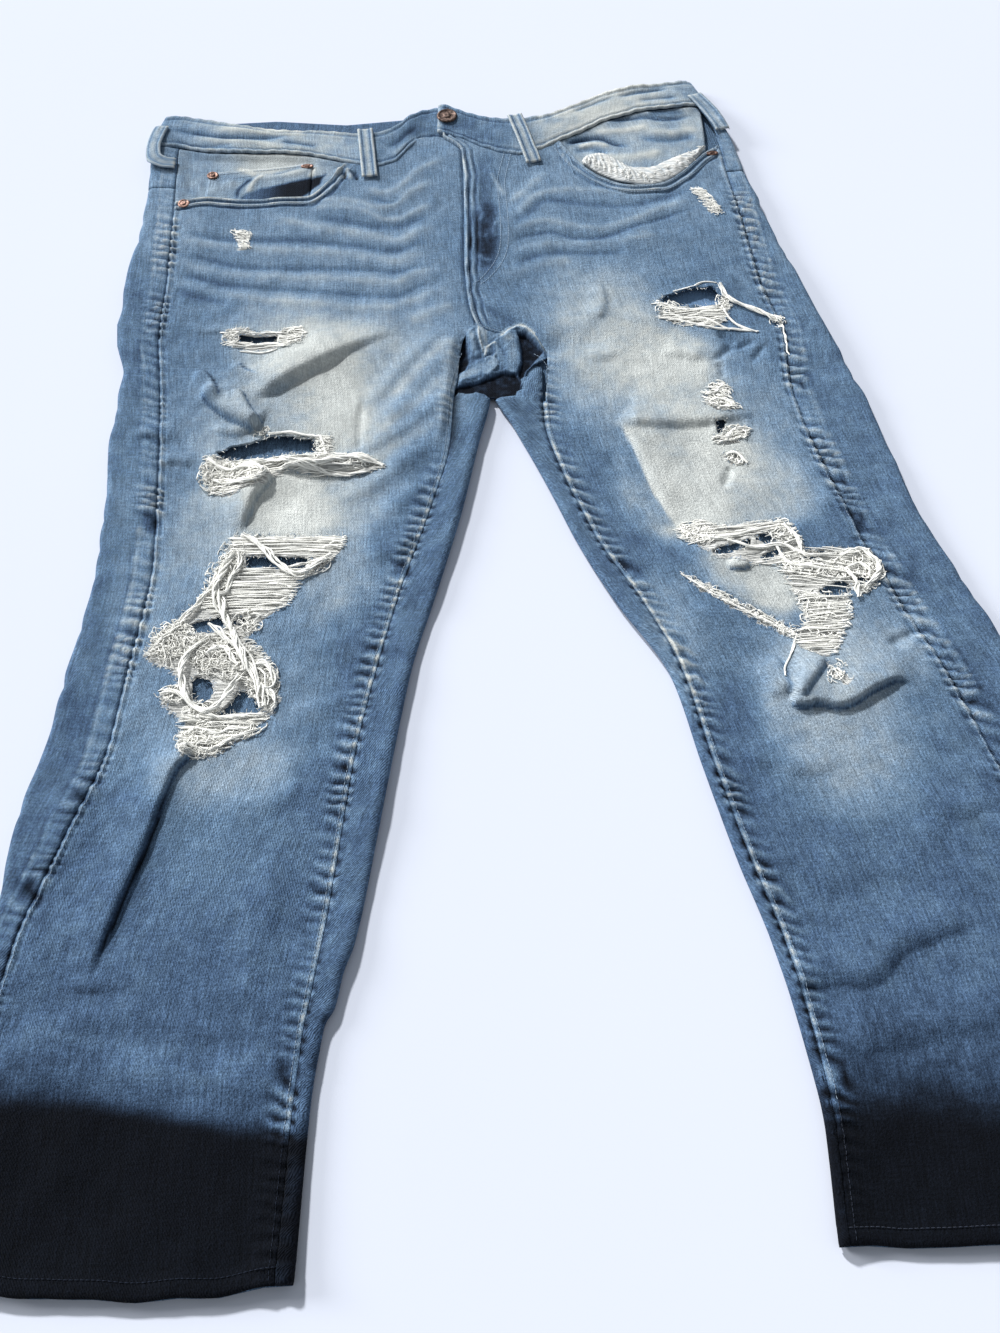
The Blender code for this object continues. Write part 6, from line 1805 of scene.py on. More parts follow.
def over_side(side, x, y, high):
    """A piece's points taken round the side fold where they reach past it."""
    sense = OUTWARD[side]
    edge = side_x(side, y, 1)
    low = floor_height(y)
    half = (skin(side, edge, y) - low) / 2
    centre = edge - sense * ROLL_BULGE * half
    past = (x - centre) * sense
    radius = half + high
    angle = np.clip(past / radius, 0, 0.8 * math.pi)
    x_round = centre + sense * radius * 1.1 * np.sin(angle)
    z_round = low + half + radius * np.cos(angle)
    return (np.where(past > 0, x_round, x),
            np.where(past > 0, z_round, skin(side, x, y) + high))


def build_loop(loop):
    """A belt loop: a folded strip with a ridge down each side and its ends tacked down."""
    lift = (BAND + LOOP_WALL) / 2 + 0.0006
    s, t = shares(41, 17)
    s, t = s - 0.5, t - 0.5
    line = smooth_line(places(loop.points), 41)
    ahead = course(line)
    x = line[:, :1] + t * LOOP_WIDTH * ahead[:, 1:]
    y = line[:, 1:] - t * LOOP_WIDTH * ahead[:, :1]
    beside = np.abs(t)
    ridge = 0.0006 * bell(beside - 0.40, 0.09) - 0.0003 * bell(t, 0.1)
    arch = 0.0012 * np.maximum(np.cos(math.pi * s), 0) ** 0.7
    marks = 0.26 * bell(beside - 0.42, 0.06) - 0.22 * bell(beside - 0.26, 0.05) \
        + 0.16 * bell(t, 0.16)
    fade = loop.level + loop.contrast * marks + 0.20 * bell(np.abs(s) - 0.49, 0.03) \
        + 0.07 * noise(x, y, 0.004, 91)
    x, z = over_side(loop.side, x, y, lift + ridge + arch)
    return shell("loop_%s_cloth" % loop.name, np.stack([x, y, z], -1), LOOP_WALL, DENIM_LOOK,
                 wear_and_shading_fields(fade, 0.0))


def build_back_loop():
    low, high = BACK_LOOP_Y
    mid_y = np.array((low + high) / 2)
    s, t = shares(31, 13)
    y = mix(low, high, s) + 0 * t
    x = read(CENTRE_BACK, mid_y) + (t - 0.5) * LOOP_WIDTH + 0 * s
    z = np.full_like(x, floor_height(mid_y) - BAND / 2 - GAP - BACK_LOOP_WALL / 2)
    return shell("loop_back_cloth", np.stack([x, y, z], -1), BACK_LOOP_WALL, DENIM_LOOK,
                 plain_fields(x, y, "right"))


# ---------------------------------------------------------------- pockets and fly
Pocket = namedtuple("Pocket", "low_x high_x bag_low_x bag_high_x bag_top_y drop")
POCKETS = {
    "right": Pocket(-0.297, -0.141, -0.276, -0.120, 0.300, LAYER + 0.0013),
    "left": Pocket(0.007, 0.143, -0.004, 0.150, 0.315, LAYER),
}
FACING_DEPTH = 0.020
FACING_FADE = {"right": 0.66, "left": 0.76}
LEAST_STEP = 1e-5
POCKET_CREASE_ENDS = 0.2
BAG_BOTTOM_Y = 0.190
COIN_POCKET = ((-0.268, 0.304), (-0.184, 0.364))
COIN_SLANT = 0.17
FACING_CREASES = (
    # side, points on the plan, millimetres, half width in centimetres
    ("left", ((5.2, 88.2), (7.0, 88.9), (8.5, 89.0), (9.5, 88.3), (11.0, 87.8)), -2.2, 0.24),
    ("left", ((6.4, 87.9), (8.0, 88.2), (9.2, 87.7)), 1.4, 0.24),
    ("left", ((9.0, 91.0), (12.0, 91.6), (14.0, 91.4), (16.5, 92.0)), -1.9, 0.24),
    ("left", ((7.4, 89.6), (10.0, 89.9), (13.0, 90.4)), 1.0, 0.40),
    ("left", ((8.0, 86.8), (11.0, 86.4), (14.0, 87.4)), 0.9, 0.5),
    ("left", ((11.5, 89.0), (14.0, 88.6), (16.6, 89.4)), -1.2, 0.34),
    ("left", ((12.0, 89.6), (14.5, 89.6), (17.0, 90.4)), 0.8, 0.5),
    ("left", ((12.5, 92.0), (14.4, 92.3), (16.0, 92.4)), -1.2, 0.30),
    ("left", ((6.0, 87.4), (7.6, 87.6), (9.2, 86.8)), -1.0, 0.30),
)


# the hollow in the mouth of the right pocket, darkened with painted shade, and the curled cloth
# over it
MOUTH = ((-21.2, 81.3), (-20.6, 82.0), (-19.5, 82.6), (-17.5, 83.3), (-15.8, 84.0), (-14.3, 84.4),
         (-14.6, 83.4), (-15.6, 82.0), (-16.4, 81.0), (-18.0, 80.9), (-20.0, 80.8))
CURLS = (
    # points on the plan, millimetres of rise, half width in centimetres, fading
    (((-21.3, 81.2), (-21.3, 82.3), (-20.7, 83.3), (-20.2, 83.9)), -1.0, 0.16, -0.55),
    (((-20.5, 81.8), (-20.3, 82.8), (-19.9, 83.7), (-19.2, 84.3)), 1.0, 0.22, 0.28),
    (((-20.4, 83.6), (-18.6, 83.9), (-16.8, 84.5), (-15.3, 85.1)), 1.0, 0.40, 0.06),
    (((-15.3, 85.3), (-15.4, 84.7), (-15.7, 84.0)), 0.5, 0.16, 0.26),
    (((-21.8, 85.2), (-20.6, 84.6), (-20.0, 83.9)), 0.6, 0.24, 0.24),
    (((-24.0, 82.0), (-22.6, 82.6), (-21.6, 83.8)), 0.6, 0.5, 0.05),
    (((-18.8, 84.3), (-17.6, 84.8), (-16.2, 85.4)), -0.7, 0.22, -0.22),
)


def mouth(x, y):
    """For the cloth in the right pocket's mouth: the rise of its curls, how much paler or
    darker they are, and how far it is in the hollow, 0 to 1, which takes painted shade."""
    depth = depth_in(places(MOUTH), x, y)
    shaded_hollow = ease(-0.0016, 0.0022, depth + 0.0008 * noise(x, y, 0.006, 88))
    rise = np.zeros(np.shape(x))
    fade = np.zeros(np.shape(x))
    for points, height, width, pale in CURLS:
        wave = fold_wave(points, width, POCKET_CREASE_ENDS, x, y)
        rise += MM * height * wave
        fade += pale * wave
    return rise, fade, shaded_hollow


def mouth_painted_shade(x):
    """Painted shade: how dark the colour is made in the hollow."""
    return mix(0.30, DARKEST, ease(-20.5, -17.0, x / CM + PLAN_X))


def build_facing(side):
    """The cloth that shows in the scooped opening, down to the pocket bag."""
    pocket = POCKETS[side]
    right = side == "right"
    rows, columns = 47, 91
    s, t = shares(rows, columns)
    x = mix(pocket.low_x, pocket.high_x, t)
    high = read_straight(WAISTS[side], x, 1) - GAP / 2
    y = mix(read(SCOOPS[side], x) - FACING_DEPTH, high, s)
    limit = side_x(side, y, 2) - OUTWARD[side] * GAP / 2
    x = np.maximum(x, limit) if right else np.minimum(x, limit)
    # the grid keeps a little width where the outseam cuts it
    order = np.arange(columns)[None, :]
    x = x - OUTWARD[side] * LEAST_STEP * (order if right else order[:, ::-1])
    # it comes up to meet the band, and to lie level with the coin pocket beyond its edge
    near_band = ease(0.0085 if right else 0.013, 0.0005, high - y)
    near_side = ease(0.013, 0.001, np.abs(x - side_x(side, y, 2)))
    level = pocket.drop
    if right:
        coin_x = COIN_POCKET[1][0]
        level = mix(level, LAYER + 0.0002, ease(coin_x - 0.0002, coin_x + 0.004, x))
    z = skin(side, x, y) - mix(level, 0.0006, np.maximum(near_band, near_side))
    fade = FACING_FADE[side] + 0.09 * noise(x, y, 0.012, 95) + 0.05 * noise(x, y, 0.004, 96)
    if right:
        rise, pale, shaded_hollow = mouth(x, y)
        z = z + rise * (x > coin_x) - 0.0008 * shaded_hollow
        cream = np.exp(-((x / CM + PLAN_X + 18.6) / 3.6) ** 4) * ease(0.335, 0.352, y)
        # painted shade in the hollow of the pocket's mouth
        fade = mix(mix(fade, 0.98, cream) + pale, mouth_painted_shade(x), shaded_hollow)
    for owner, points, height, width in FACING_CREASES:
        if owner == side:
            wave = fold_wave(points, width, POCKET_CREASE_ENDS, x, y)
            z = z + MM * height * wave
            fade = fade + 0.26 * height * wave
    return shell("facing_%s_cloth" % side, np.stack([x, y, z], -1), THIN, DENIM_LOOK,
                 wear_and_shading_fields(fade, 0.03, 1.1))


def build_bag(side):
    """Pocketing from the facing's lower edge down to the back layer."""
    pocket = POCKETS[side]
    s, t = shares(41, 49)
    y = mix(BAG_BOTTOM_Y, pocket.bag_top_y, s) + 0 * t
    x = mix(pocket.bag_low_x, pocket.bag_high_x, t) + 0 * s
    low = floor_height(y) + (DENIM + THIN) / 2 + GAP
    high = skin(side, x, y) - pocket.drop - THIN - 2 * GAP
    z = mix(low, high, ease(0.22, 0.30, y))
    z = z + 0.0003 * noise(x, y, 0.02, 97) * np.sin(math.pi * s) * np.sin(math.pi * t)
    # the left bag takes the lighter, painted copy of the pocketing
    look = POCKETING if side == "right" else POCKETING_PAINTED_LIGHTER
    return shell("pocket_bag_%s_cloth" % side, np.stack([x, y, z], -1), THIN, look,
                 {"bare": np.zeros(x.shape)})


def build_coin_pocket():
    (x0, low), (x1, high) = COIN_POCKET
    s, t = shares(45, 61)
    x = mix(x0, x1, t) + 0 * s
    y = mix(low, high + COIN_SLANT * (x - x1), s)
    rise, pale, shaded_hollow = mouth(x, y)
    z = skin("right", x, y) - LAYER + np.maximum(rise, 0) - 0.0004 * shaded_hollow
    # its right edge goes down to the cloth behind it
    z = z - 0.0004 * ease(0.006, 0.0005, x1 - x)
    fade = 0.68 + 0.10 * noise(x, y, 0.009, 98) + 0.12 * bell(1 - s, 0.05)
    cream = np.exp(-((x / CM + PLAN_X + 18.8) / 3.0) ** 4) * ease(83.6, 84.8, y / CM + PLAN_Y)
    # painted shade in the hollow of the pocket's mouth
    fade = mix(mix(fade, 0.98, cream) + pale, mouth_painted_shade(x), shaded_hollow)
    return shell("coin_pocket_cloth", np.stack([x, y, z], -1), THIN, DENIM_LOOK,
                 wear_and_shading_fields(fade, 0.03, 1.1))


FlyPiece = namedtuple("FlyPiece", "name start end low high drop look")
FLY_PIECES = (
    FlyPiece("fly_facing", 0.0125, 0.040, 0.248, 0.368, 0.0017, "denim"),
    FlyPiece("zip_tape", 0.002, 0.026, 0.256, 0.368, 0.0036, "tape"),
    FlyPiece("fly_shield", -0.006, 0.042, 0.250, 0.374, 0.0050, "denim"),
)


def build_fly_piece(piece):
    s, t = shares(49, 13)
    y = mix(piece.low, piece.high, s) + 0 * t
    x = read(FLY_EDGE, y) + mix(piece.start, piece.end, t)
    z = skin("left", x, y) - piece.drop
    look = DENIM_LOOK if piece.look == "denim" else TAPE
    return shell(piece.name + "_cloth", np.stack([x, y, z], -1), THIN, look,
                 even_fields(x.shape, FLY_PIECE_FADE))


# ---------------------------------------------------------------- loose threads
def on_front(side, x, y, lift=0.0):
    """Points on the outer face of the front, lift above it."""
    z = skin(side, x, y) + DENIM / 2 + lift
    return np.stack([x, y + hem_shift(side, x, y), z], -1)


def in_holes(side, x, y):
    found = np.zeros(np.shape(x), bool)
    for hole in HOLES:
        if hole.side == side:
            found |= inside(places(hole.outline), x, y)
    return found


LEAST_LIFT = 0.0002      # how high over the cloth the lowest threads lie
LEAST_THREAD = 0.003     # no thread of a patch is shorter
BARS_SEED, BAR_SIZE_SEED, ROPES_SEED, TANGLES_SEED, HAIRS_SEED = 100, 150, 200, 300, 400
WARP_SHARE = 0.4         # how many of the hairs are blue warp
Bars = namedtuple("Bars", "side tilt pitch length thick keep outline")
THREAD_POINTS = 12
BARS = (
    # tilt is degrees; pitch, length and thick are millimetres; keep is how many stay over a hole
    Bars("right", 2, 1.3, 18, 0.42, 0.0, BARE[0].outline),
    Bars("right", 4, 1.5, 24, 0.42, 0.0, BARE[1].outline),
    Bars("right", -1, 1.25, 60, 0.50, 0.0,
         ((-17.9, 47.9), (-10.5, 47.8), (-10.6, 47.0), (-11.3, 46.3), (-12.6, 46.2),
          (-16.8, 46.4), (-17.6, 46.6))),
    Bars("right", 2, 1.35, 55, 0.48, 0.0,
         ((-17.4, 45.2), (-13.0, 45.2), (-12.4, 44.9), (-13.2, 44.2), (-13.8, 42.5),
          (-15.4, 41.4), (-16.6, 41.6), (-18.2, 41.7), (-19.6, 42.3), (-19.1, 43.6),
          (-18.4, 44.4))),
    Bars("right", -2, 1.3, 40, 0.46, 0.0,
         ((-19.6, 34.0), (-14.4, 34.3), (-15.8, 32.9), (-17.4, 31.6), (-19.0, 31.8))),
    Bars("right", 0, 1.6, 20, 0.40, 0.0,
         ((-16.1, 39.7), (-14.9, 38.6), (-14.0, 36.9), (-14.9, 36.2), (-17.6, 37.6),
          (-19.0, 39.9), (-17.4, 40.6))),
    Bars("left", 6, 1.4, 30, 0.42, 0.0, BARE[3].outline),
    Bars("left", -25, 1.5, 9, 0.42, 0.0, BARE[4].outline),
    Bars("left", 10, 1.4, 12, 0.42, 0.0, BARE[5].outline),
    Bars("left", 8, 1.35, 42, 0.46, 0.10,
         ((12.0, 48.6), (13.5, 49.2), (15.0, 48.7), (17.3, 49.2), (19.3, 49.3), (20.0, 47.8),
          (20.0, 46.2), (18.6, 45.8), (16.5, 45.8), (14.5, 46.2), (13.0, 47.2))),
    Bars("left", -8, 1.4, 36, 0.46, 0.08,
         ((19.6, 46.9), (22.5, 46.9), (24.3, 46.7), (25.0, 45.5), (24.6, 44.1), (23.6, 43.3),
          (22.6, 43.4), (19.4, 43.4), (18.8, 44.8), (18.6, 46.0))),
    Bars("left", 4, 1.45, 30, 0.46, 0.0,
         ((19.4, 43.4), (22.6, 43.2), (22.6, 41.6), (21.8, 40.1), (21.1, 38.7), (20.4, 38.5),
          (19.2, 39.2), (19.0, 40.1), (19.9, 41.4))),
    Bars("left", -30, 1.2, 8, 0.26, 1.0, BARE[7].outline),
    Bars("right", -35, 1.3, 7, 0.36, 1.0, BARE[10].outline),
    Bars("left", -20, 1.3, 8, 0.34, 1.0, BARE[11].outline),
)


def bar_spans(bars, rng, turned):
    """Where the threads of a patch start and stop along its tilt, and their levels."""
    spans = []
    u, v = turned.T
    for level in np.arange(v.min(), v.max(), MM * bars.pitch):
        probe = np.linspace(u.min(), u.max(), 160)
        within = inside(turned, probe, np.full(160, level))
        edges = np.flatnonzero(np.diff(np.concatenate([[0], within.astype(int), [0]])))
        for start, end in zip(edges[::2], edges[1::2]):
            high = probe[end - 1] + 0.001
            place = probe[start] - 0.001 - rng.uniform(0, 0.004)
            while place < high:
                length = MM * bars.length * rng.uniform(0.6, 1.4)
                stop = min(place + length, high + rng.uniform(0, 0.003))
                if stop - place > LEAST_THREAD:
                    spans.append((place, stop, level + rng.normal(0, 0.0004)))
                place = stop - rng.uniform(0, 0.003)
    return np.array(spans)


def bar_lines(bars, seed):
    """Bare weft: short, slightly wavy threads that lie side by side across a patch."""
    rng = np.random.default_rng(seed)
    turn = math.radians(bars.tilt)
    along = np.array([math.cos(turn), math.sin(turn)])
    up = np.array([-math.sin(turn), math.cos(turn)])
    outline = places(bars.outline)
    spans = bar_spans(bars, rng, np.stack([outline @ along, outline @ up], 1))
    count = len(spans)
    t = np.linspace(0, 1, THREAD_POINTS)
    run = mix(spans[:, :1], spans[:, 1:2], t)
    level = spans[:, 2:] + rng.normal(0, 0.0007, (count, 1)) * np.sin(math.pi * t) \
        + rng.normal(0, 0.0004, (count, 1)) * np.sin(2 * math.pi * t) \
        + rng.normal(0, 0.0005, (count, 1)) * (2 * t - 1)
    x = run * along[0] + level * up[0]
    y = run * along[1] + level * up[1]
    lift = LEAST_LIFT + rng.uniform(0, 0.0007, (count, 1)) \
        + rng.uniform(0, 0.0010, (count, 1)) * np.sin(math.pi * t)
    over = in_holes(bars.side, x, y).mean(1)
    stay = (over < 0.12) | (rng.uniform(size=count) < bars.keep)
    return on_front(bars.side, x, y, lift)[stay]


Rope = namedtuple("Rope", "side points thick strands lift")
ROPES = (
    # thick and lift are millimetres
    Rope("right", ((-19.4, 65.2), (-18.0, 65.0), (-16.5, 65.0), (-15.9, 64.7)), 1.6, 5, 0.8),
    Rope("right", ((-19.2, 64.4), (-17.6, 64.2), (-16.4, 64.5)), 0.6, 2, 0.4),
    Rope("right", ((-17.9, 54.1), (-16.3, 54.3), (-14.6, 54.0), (-12.7, 53.8), (-11.1, 54.2),
                   (-9.5, 54.3), (-8.1, 53.8)), 3.2, 9, 1.8),
    Rope("right", ((-15.9, 53.2), (-14.6, 53.7), (-13.2, 53.5), (-11.8, 53.2), (-10.1, 53.2),
                   (-8.6, 53.7)), 2.2, 6, 1.4),
    Rope("right", ((-16.4, 56.6), (-14.8, 56.7), (-13.2, 56.4), (-12.5, 56.5)), 1.3, 4, 1.0),
    Rope("right", ((-12.8, 56.4), (-12.3, 55.6), (-12.3, 54.6), (-12.9, 54.5)), 1.8, 5, 1.2),
    Rope("right", ((-20.4, 54.4), (-19.0, 53.4), (-17.4, 53.6), (-16.2, 53.0), (-17.0, 52.2),
                   (-18.6, 52.2), (-19.8, 52.6)), 2.6, 7, 2.2),
    # the big tear on the right leg
    Rope("right", ((-17.3, 47.9), (-16.4, 47.4), (-15.6, 46.6), (-14.8, 45.6), (-13.8, 44.8),
                   (-12.9, 44.7), (-12.1, 45.4), (-11.1, 46.2)), 3.4, 7, 2.6),
    Rope("right", ((-14.0, 45.1), (-13.0, 45.5), (-11.3, 46.0)), 1.6, 4, 1.6),
    Rope("right", ((-17.7, 46.4), (-18.2, 45.0), (-18.4, 43.3), (-17.6, 41.3), (-16.8, 39.8),
                   (-16.0, 38.1), (-15.0, 36.4), (-14.5, 34.8)), 4.2, 9, 3.0),
    Rope("right", ((-17.5, 46.4), (-17.2, 45.5), (-17.6, 44.3), (-18.0, 43.3), (-18.4, 43.0)),
         2.6, 6, 2.4),
    Rope("right", ((-18.6, 44.9), (-18.9, 43.5), (-19.6, 42.4), (-20.4, 41.3), (-21.3, 40.0),
                   (-22.1, 38.8)), 2.6, 7, 1.4),
    Rope("right", ((-18.6, 39.8), (-19.6, 38.8), (-20.0, 37.6), (-19.8, 36.4), (-19.2, 35.2),
                   (-18.3, 34.5), (-17.5, 34.8), (-16.9, 35.7), (-16.6, 36.4), (-16.2, 37.0)),
         2.8, 7, 2.8),
    Rope("right", ((-18.7, 40.8), (-17.4, 39.8), (-16.4, 38.6), (-15.9, 37.4)), 2.6, 6, 3.2),
    Rope("right", ((-19.6, 34.1), (-18.0, 34.1), (-16.3, 34.1), (-14.5, 34.4)), 2.2, 6, 1.6),
    Rope("right", ((-15.7, 37.6), (-14.9, 38.0), (-14.3, 37.3), (-14.1, 36.4), (-14.7, 36.1),
                   (-15.3, 36.7)), 2.0, 5, 2.4),
    Rope("right", ((-15.0, 36.4), (-14.2, 35.8), (-13.9, 35.1), (-14.2, 34.6)), 2.2, 6, 2.0),
    Rope("right", ((-21.1, 35.7), (-20.3, 36.0), (-19.4, 35.3), (-18.9, 34.7)), 1.6, 5, 1.2),
    Rope("right", ((-19.3, 33.0), (-18.5, 33.4), (-17.2, 33.0), (-16.5, 33.4), (-15.5, 33.3)),
         1.2, 4, 1.2),
    Rope("right", ((-19.0, 31.7), (-18.8, 32.3), (-17.7, 31.9), (-16.4, 32.6), (-14.6, 33.4)),
         1.4, 5, 1.2),
    Rope("right", ((-18.6, 38.6), (-17.5, 39.1), (-16.5, 37.8)), 1.6, 4, 2.4),
    # left thigh
    Rope("left", ((16.8, 71.3), (17.1, 70.3), (17.6, 69.7), (18.4, 69.1), (19.4, 68.4),
                  (20.6, 67.8), (21.0, 67.3)), 3.2, 9, 1.8),
    Rope("left", ((21.1, 67.6), (21.2, 66.4), (21.2, 65.2), (21.3, 64.0)), 0.6, 2, 0.5),
    Rope("left", ((11.9, 69.3), (13.4, 68.8), (14.6, 68.6), (16.4, 68.9)), 1.8, 5, 0.9),
    Rope("left", ((12.0, 67.8), (13.1, 67.8), (14.5, 67.3), (16.2, 66.8), (17.7, 66.7),
                  (19.3, 66.4)), 1.0, 3, 0.6),
    Rope("left", ((12.3, 68.5), (13.8, 67.9), (15.4, 67.7), (17.2, 66.7)), 1.2, 4, 0.7),
    Rope("left", ((16.7, 69.4), (17.1, 68.1), (18.0, 67.0), (19.2, 66.4)), 1.0, 3, 0.8),
    Rope("left", ((13.2, 70.5), (14.7, 71.1), (15.6, 71.5), (16.6, 71.5)), 0.7, 3, 0.4),
    # small tears down the left thigh
    Rope("left", ((14.8, 60.2), (15.6, 60.5), (16.2, 61.2)), 1.6, 4, 0.9),
    Rope("left", ((15.0, 59.4), (16.0, 59.8), (17.0, 59.1)), 1.6, 4, 0.9),
    Rope("left", ((15.3, 56.5), (16.1, 56.5), (16.6, 57.2), (17.6, 57.4)), 1.8, 5, 1.1),
    Rope("left", ((15.8, 55.0), (16.6, 55.1), (17.3, 54.2)), 1.2, 4, 0.8),
    # the left knee
    Rope("left", ((22.6, 46.2), (23.4, 46.6), (24.1, 46.6), (24.8, 45.9), (25.0, 45.1),
                  (24.5, 44.3), (23.7, 43.6)), 3.0, 8, 2.4),
    Rope("left", ((22.8, 45.2), (23.3, 44.3), (23.3, 43.5), (23.4, 42.9)), 2.2, 6, 2.2),
    Rope("left", ((23.0, 45.3), (23.7, 45.6), (24.3, 45.1), (24.2, 44.5)), 1.2, 4, 2.6),
    Rope("left", ((15.2, 47.6), (17.0, 47.0), (18.9, 47.2), (20.4, 46.4), (22.4, 46.4)),
         1.6, 5, 1.4),
    Rope("left", ((12.2, 48.3), (14.1, 47.8), (15.9, 48.1), (18.9, 48.9)), 1.2, 4, 0.9),
    Rope("left", ((19.1, 48.9), (19.9, 47.7), (20.2, 46.6)), 1.8, 5, 1.2),
    Rope("left", ((18.4, 47.2), (19.2, 45.8), (20.5, 45.4), (22.4, 45.3)), 1.8, 5, 1.4),
    Rope("left", ((18.9, 40.0), (18.4, 38.6), (17.9, 37.6), (17.8, 36.9)), 0.7, 2, 0.5),
    Rope("left", ((11.9, 44.8), (13.3, 43.7), (14.9, 42.6), (16.5, 41.6), (17.9, 40.8),
                  (19.0, 40.1)), 0.8, 3, 0.4),
)
ROPE_POINTS = 30


def rope_lines(rope, seed):
    """Strands of torn weft rolled together into a loose rope."""
    rng = np.random.default_rng(seed)
    middle = smooth_line(places(rope.points), ROPE_POINTS)
    ahead = course(middle)
    t = np.linspace(0, 1, ROPE_POINTS)
    length = length_of(middle)
    lines = []
    for k in range(rope.strands):
        reach = MM / 2 * rope.thick * rng.uniform(0.25, 0.9) * (0.6 + 0.4 * np.sin(math.pi * t))
        turns = length / rng.uniform(0.014, 0.030)
        phase = 2 * math.pi * (k / rope.strands + turns * t) + rng.normal(0, 0.3)
        wander = np.interp(t, np.linspace(0, 1, 7), rng.normal(0, 0.00035 * rope.thick, 7))
        away = reach * np.cos(phase) + wander
        lift = np.maximum(MM * rope.lift + reach * np.sin(phase), LEAST_LIFT)
        lines.append(on_front(rope.side, middle[:, 0] - away * ahead[:, 1],
                              middle[:, 1] + away * ahead[:, 0], lift))
    return np.array(lines)


Tangle = namedtuple("Tangle", "side x y across along turn count length height")
TANGLES = (
    # across and along are centimetres, length is of one thread, height is millimetres
    Tangle("right", -20.0, 65.8, 0.5, 0.6, 0, 14, 1.0, 1.6),
    Tangle("right", -15.5, 65.7, 0.7, 0.8, 0, 20, 1.2, 2.0),
    Tangle("right", -19.5, 52.9, 1.1, 1.4, 20, 120, 1.5, 3.4),
    Tangle("right", -17.6, 53.2, 1.4, 0.8, 0, 60, 1.6, 2.6),
    Tangle("right", -12.5, 55.2, 0.45, 1.0, 0, 26, 1.2, 2.0),
    Tangle("right", -10.4, 54.0, 1.6, 0.35, 0, 30, 1.4, 1.8),
    Tangle("right", -16.8, 56.7, 0.5, 0.5, 0, 16, 1.0, 1.6),
    Tangle("right", -20.9, 39.4, 1.3, 1.4, 20, 130, 1.6, 3.2),
    Tangle("right", -19.0, 39.0, 1.1, 0.9, 0, 60, 1.6, 3.0),
    Tangle("right", -17.4, 38.2, 1.5, 1.1, 0, 90, 1.8, 3.4),
    Tangle("right", -18.5, 44.4, 0.7, 1.6, 0, 60, 1.4, 2.8),
    Tangle("right", -17.9, 46.4, 0.7, 0.9, 0, 40, 1.2, 2.4),
    Tangle("right", -16.2, 41.0, 0.8, 0.8, 0, 30, 1.4, 2.4),
    Tangle("right", -14.8, 36.6, 0.8, 1.2, 0, 50, 1.5, 2.8),
    Tangle("right", -18.4, 34.6, 1.0, 0.5, 0, 34, 1.4, 2.2),
    Tangle("right", -18.0, 32.6, 1.4, 0.9, 20, 90, 1.5, 2.6),
    Tangle("right", -15.6, 33.2, 1.2, 0.4, 25, 34, 1.3, 1.8),
    Tangle("right", -20.4, 35.8, 0.8, 0.4, 0, 24, 1.3, 1.4),
    Tangle("right", -12.0, 45.4, 1.0, 0.4, 30, 24, 1.3, 1.4),
    Tangle("left", 12.6, 68.9, 0.8, 0.5, 0, 24, 1.4, 1.4),
    Tangle("left", 16.9, 69.4, 0.4, 0.9, 0, 20, 1.2, 1.8),
    Tangle("left", 20.8, 67.4, 0.45, 0.5, 0, 20, 1.1, 1.8),
    Tangle("left", 15.8, 60.8, 0.6, 0.6, 0, 26, 1.1, 1.6),
    Tangle("left", 16.0, 59.5, 0.8, 0.5, 0, 30, 1.2, 1.8),
    Tangle("left", 16.6, 56.9, 0.9, 0.5, 10, 34, 1.2, 2.0),
    Tangle("left", 16.5, 54.7, 0.6, 0.4, -30, 16, 1.0, 1.2),
    Tangle("left", 13.2, 48.2, 1.2, 0.7, 0, 50, 1.5, 1.6),
    Tangle("left", 18.9, 48.3, 0.6, 1.0, 0, 34, 1.4, 1.8),
    Tangle("left", 24.4, 45.4, 0.7, 1.2, 20, 60, 1.4, 2.8),
    Tangle("left", 20.2, 45.6, 1.4, 0.6, -10, 50, 1.6, 2.0),
    Tangle("left", 22.4, 45.2, 1.0, 0.6, 0, 40, 1.5, 2.4),
    Tangle("left", 20.8, 41.8, 1.2, 1.6, 0, 40, 1.4, 1.4),
    Tangle("left", 21.0, 37.2, 0.4, 0.9, -25, 26, 0.8, 1.4),
    Tangle("left", 15.6, 42.4, 3.2, 0.16, -31, 50, 0.7, 0.8),
    Tangle("left", 18.6, 40.6, 0.7, 0.4, -30, 20, 1.0, 1.2),
    Tangle("right", -20.4, 76.9, 0.5, 0.25, -20, 12, 0.8, 0.8),
    Tangle("right", -20.0, 75.7, 0.3, 0.5, 10, 10, 0.7, 0.8),
    Tangle("left", 16.2, 81.8, 0.4, 0.4, 15, 14, 0.8, 0.9),
    Tangle("left", 17.1, 79.9, 0.3, 0.8, 15, 14, 0.8, 0.8),
)
TANGLE_POINTS = 12
HAIR_GAP = 0.0011        # from one hair to the next
HAIR_LENGTH = 0.0026
HAIR_POINTS = 6


def walk(x0, y0, step, heading):
    """Threads that start at places and go on by steps, each with its own heading."""
    return (x0[:, None] + np.cumsum(step * np.cos(heading), 1),
            y0[:, None] + np.cumsum(step * np.sin(heading), 1))


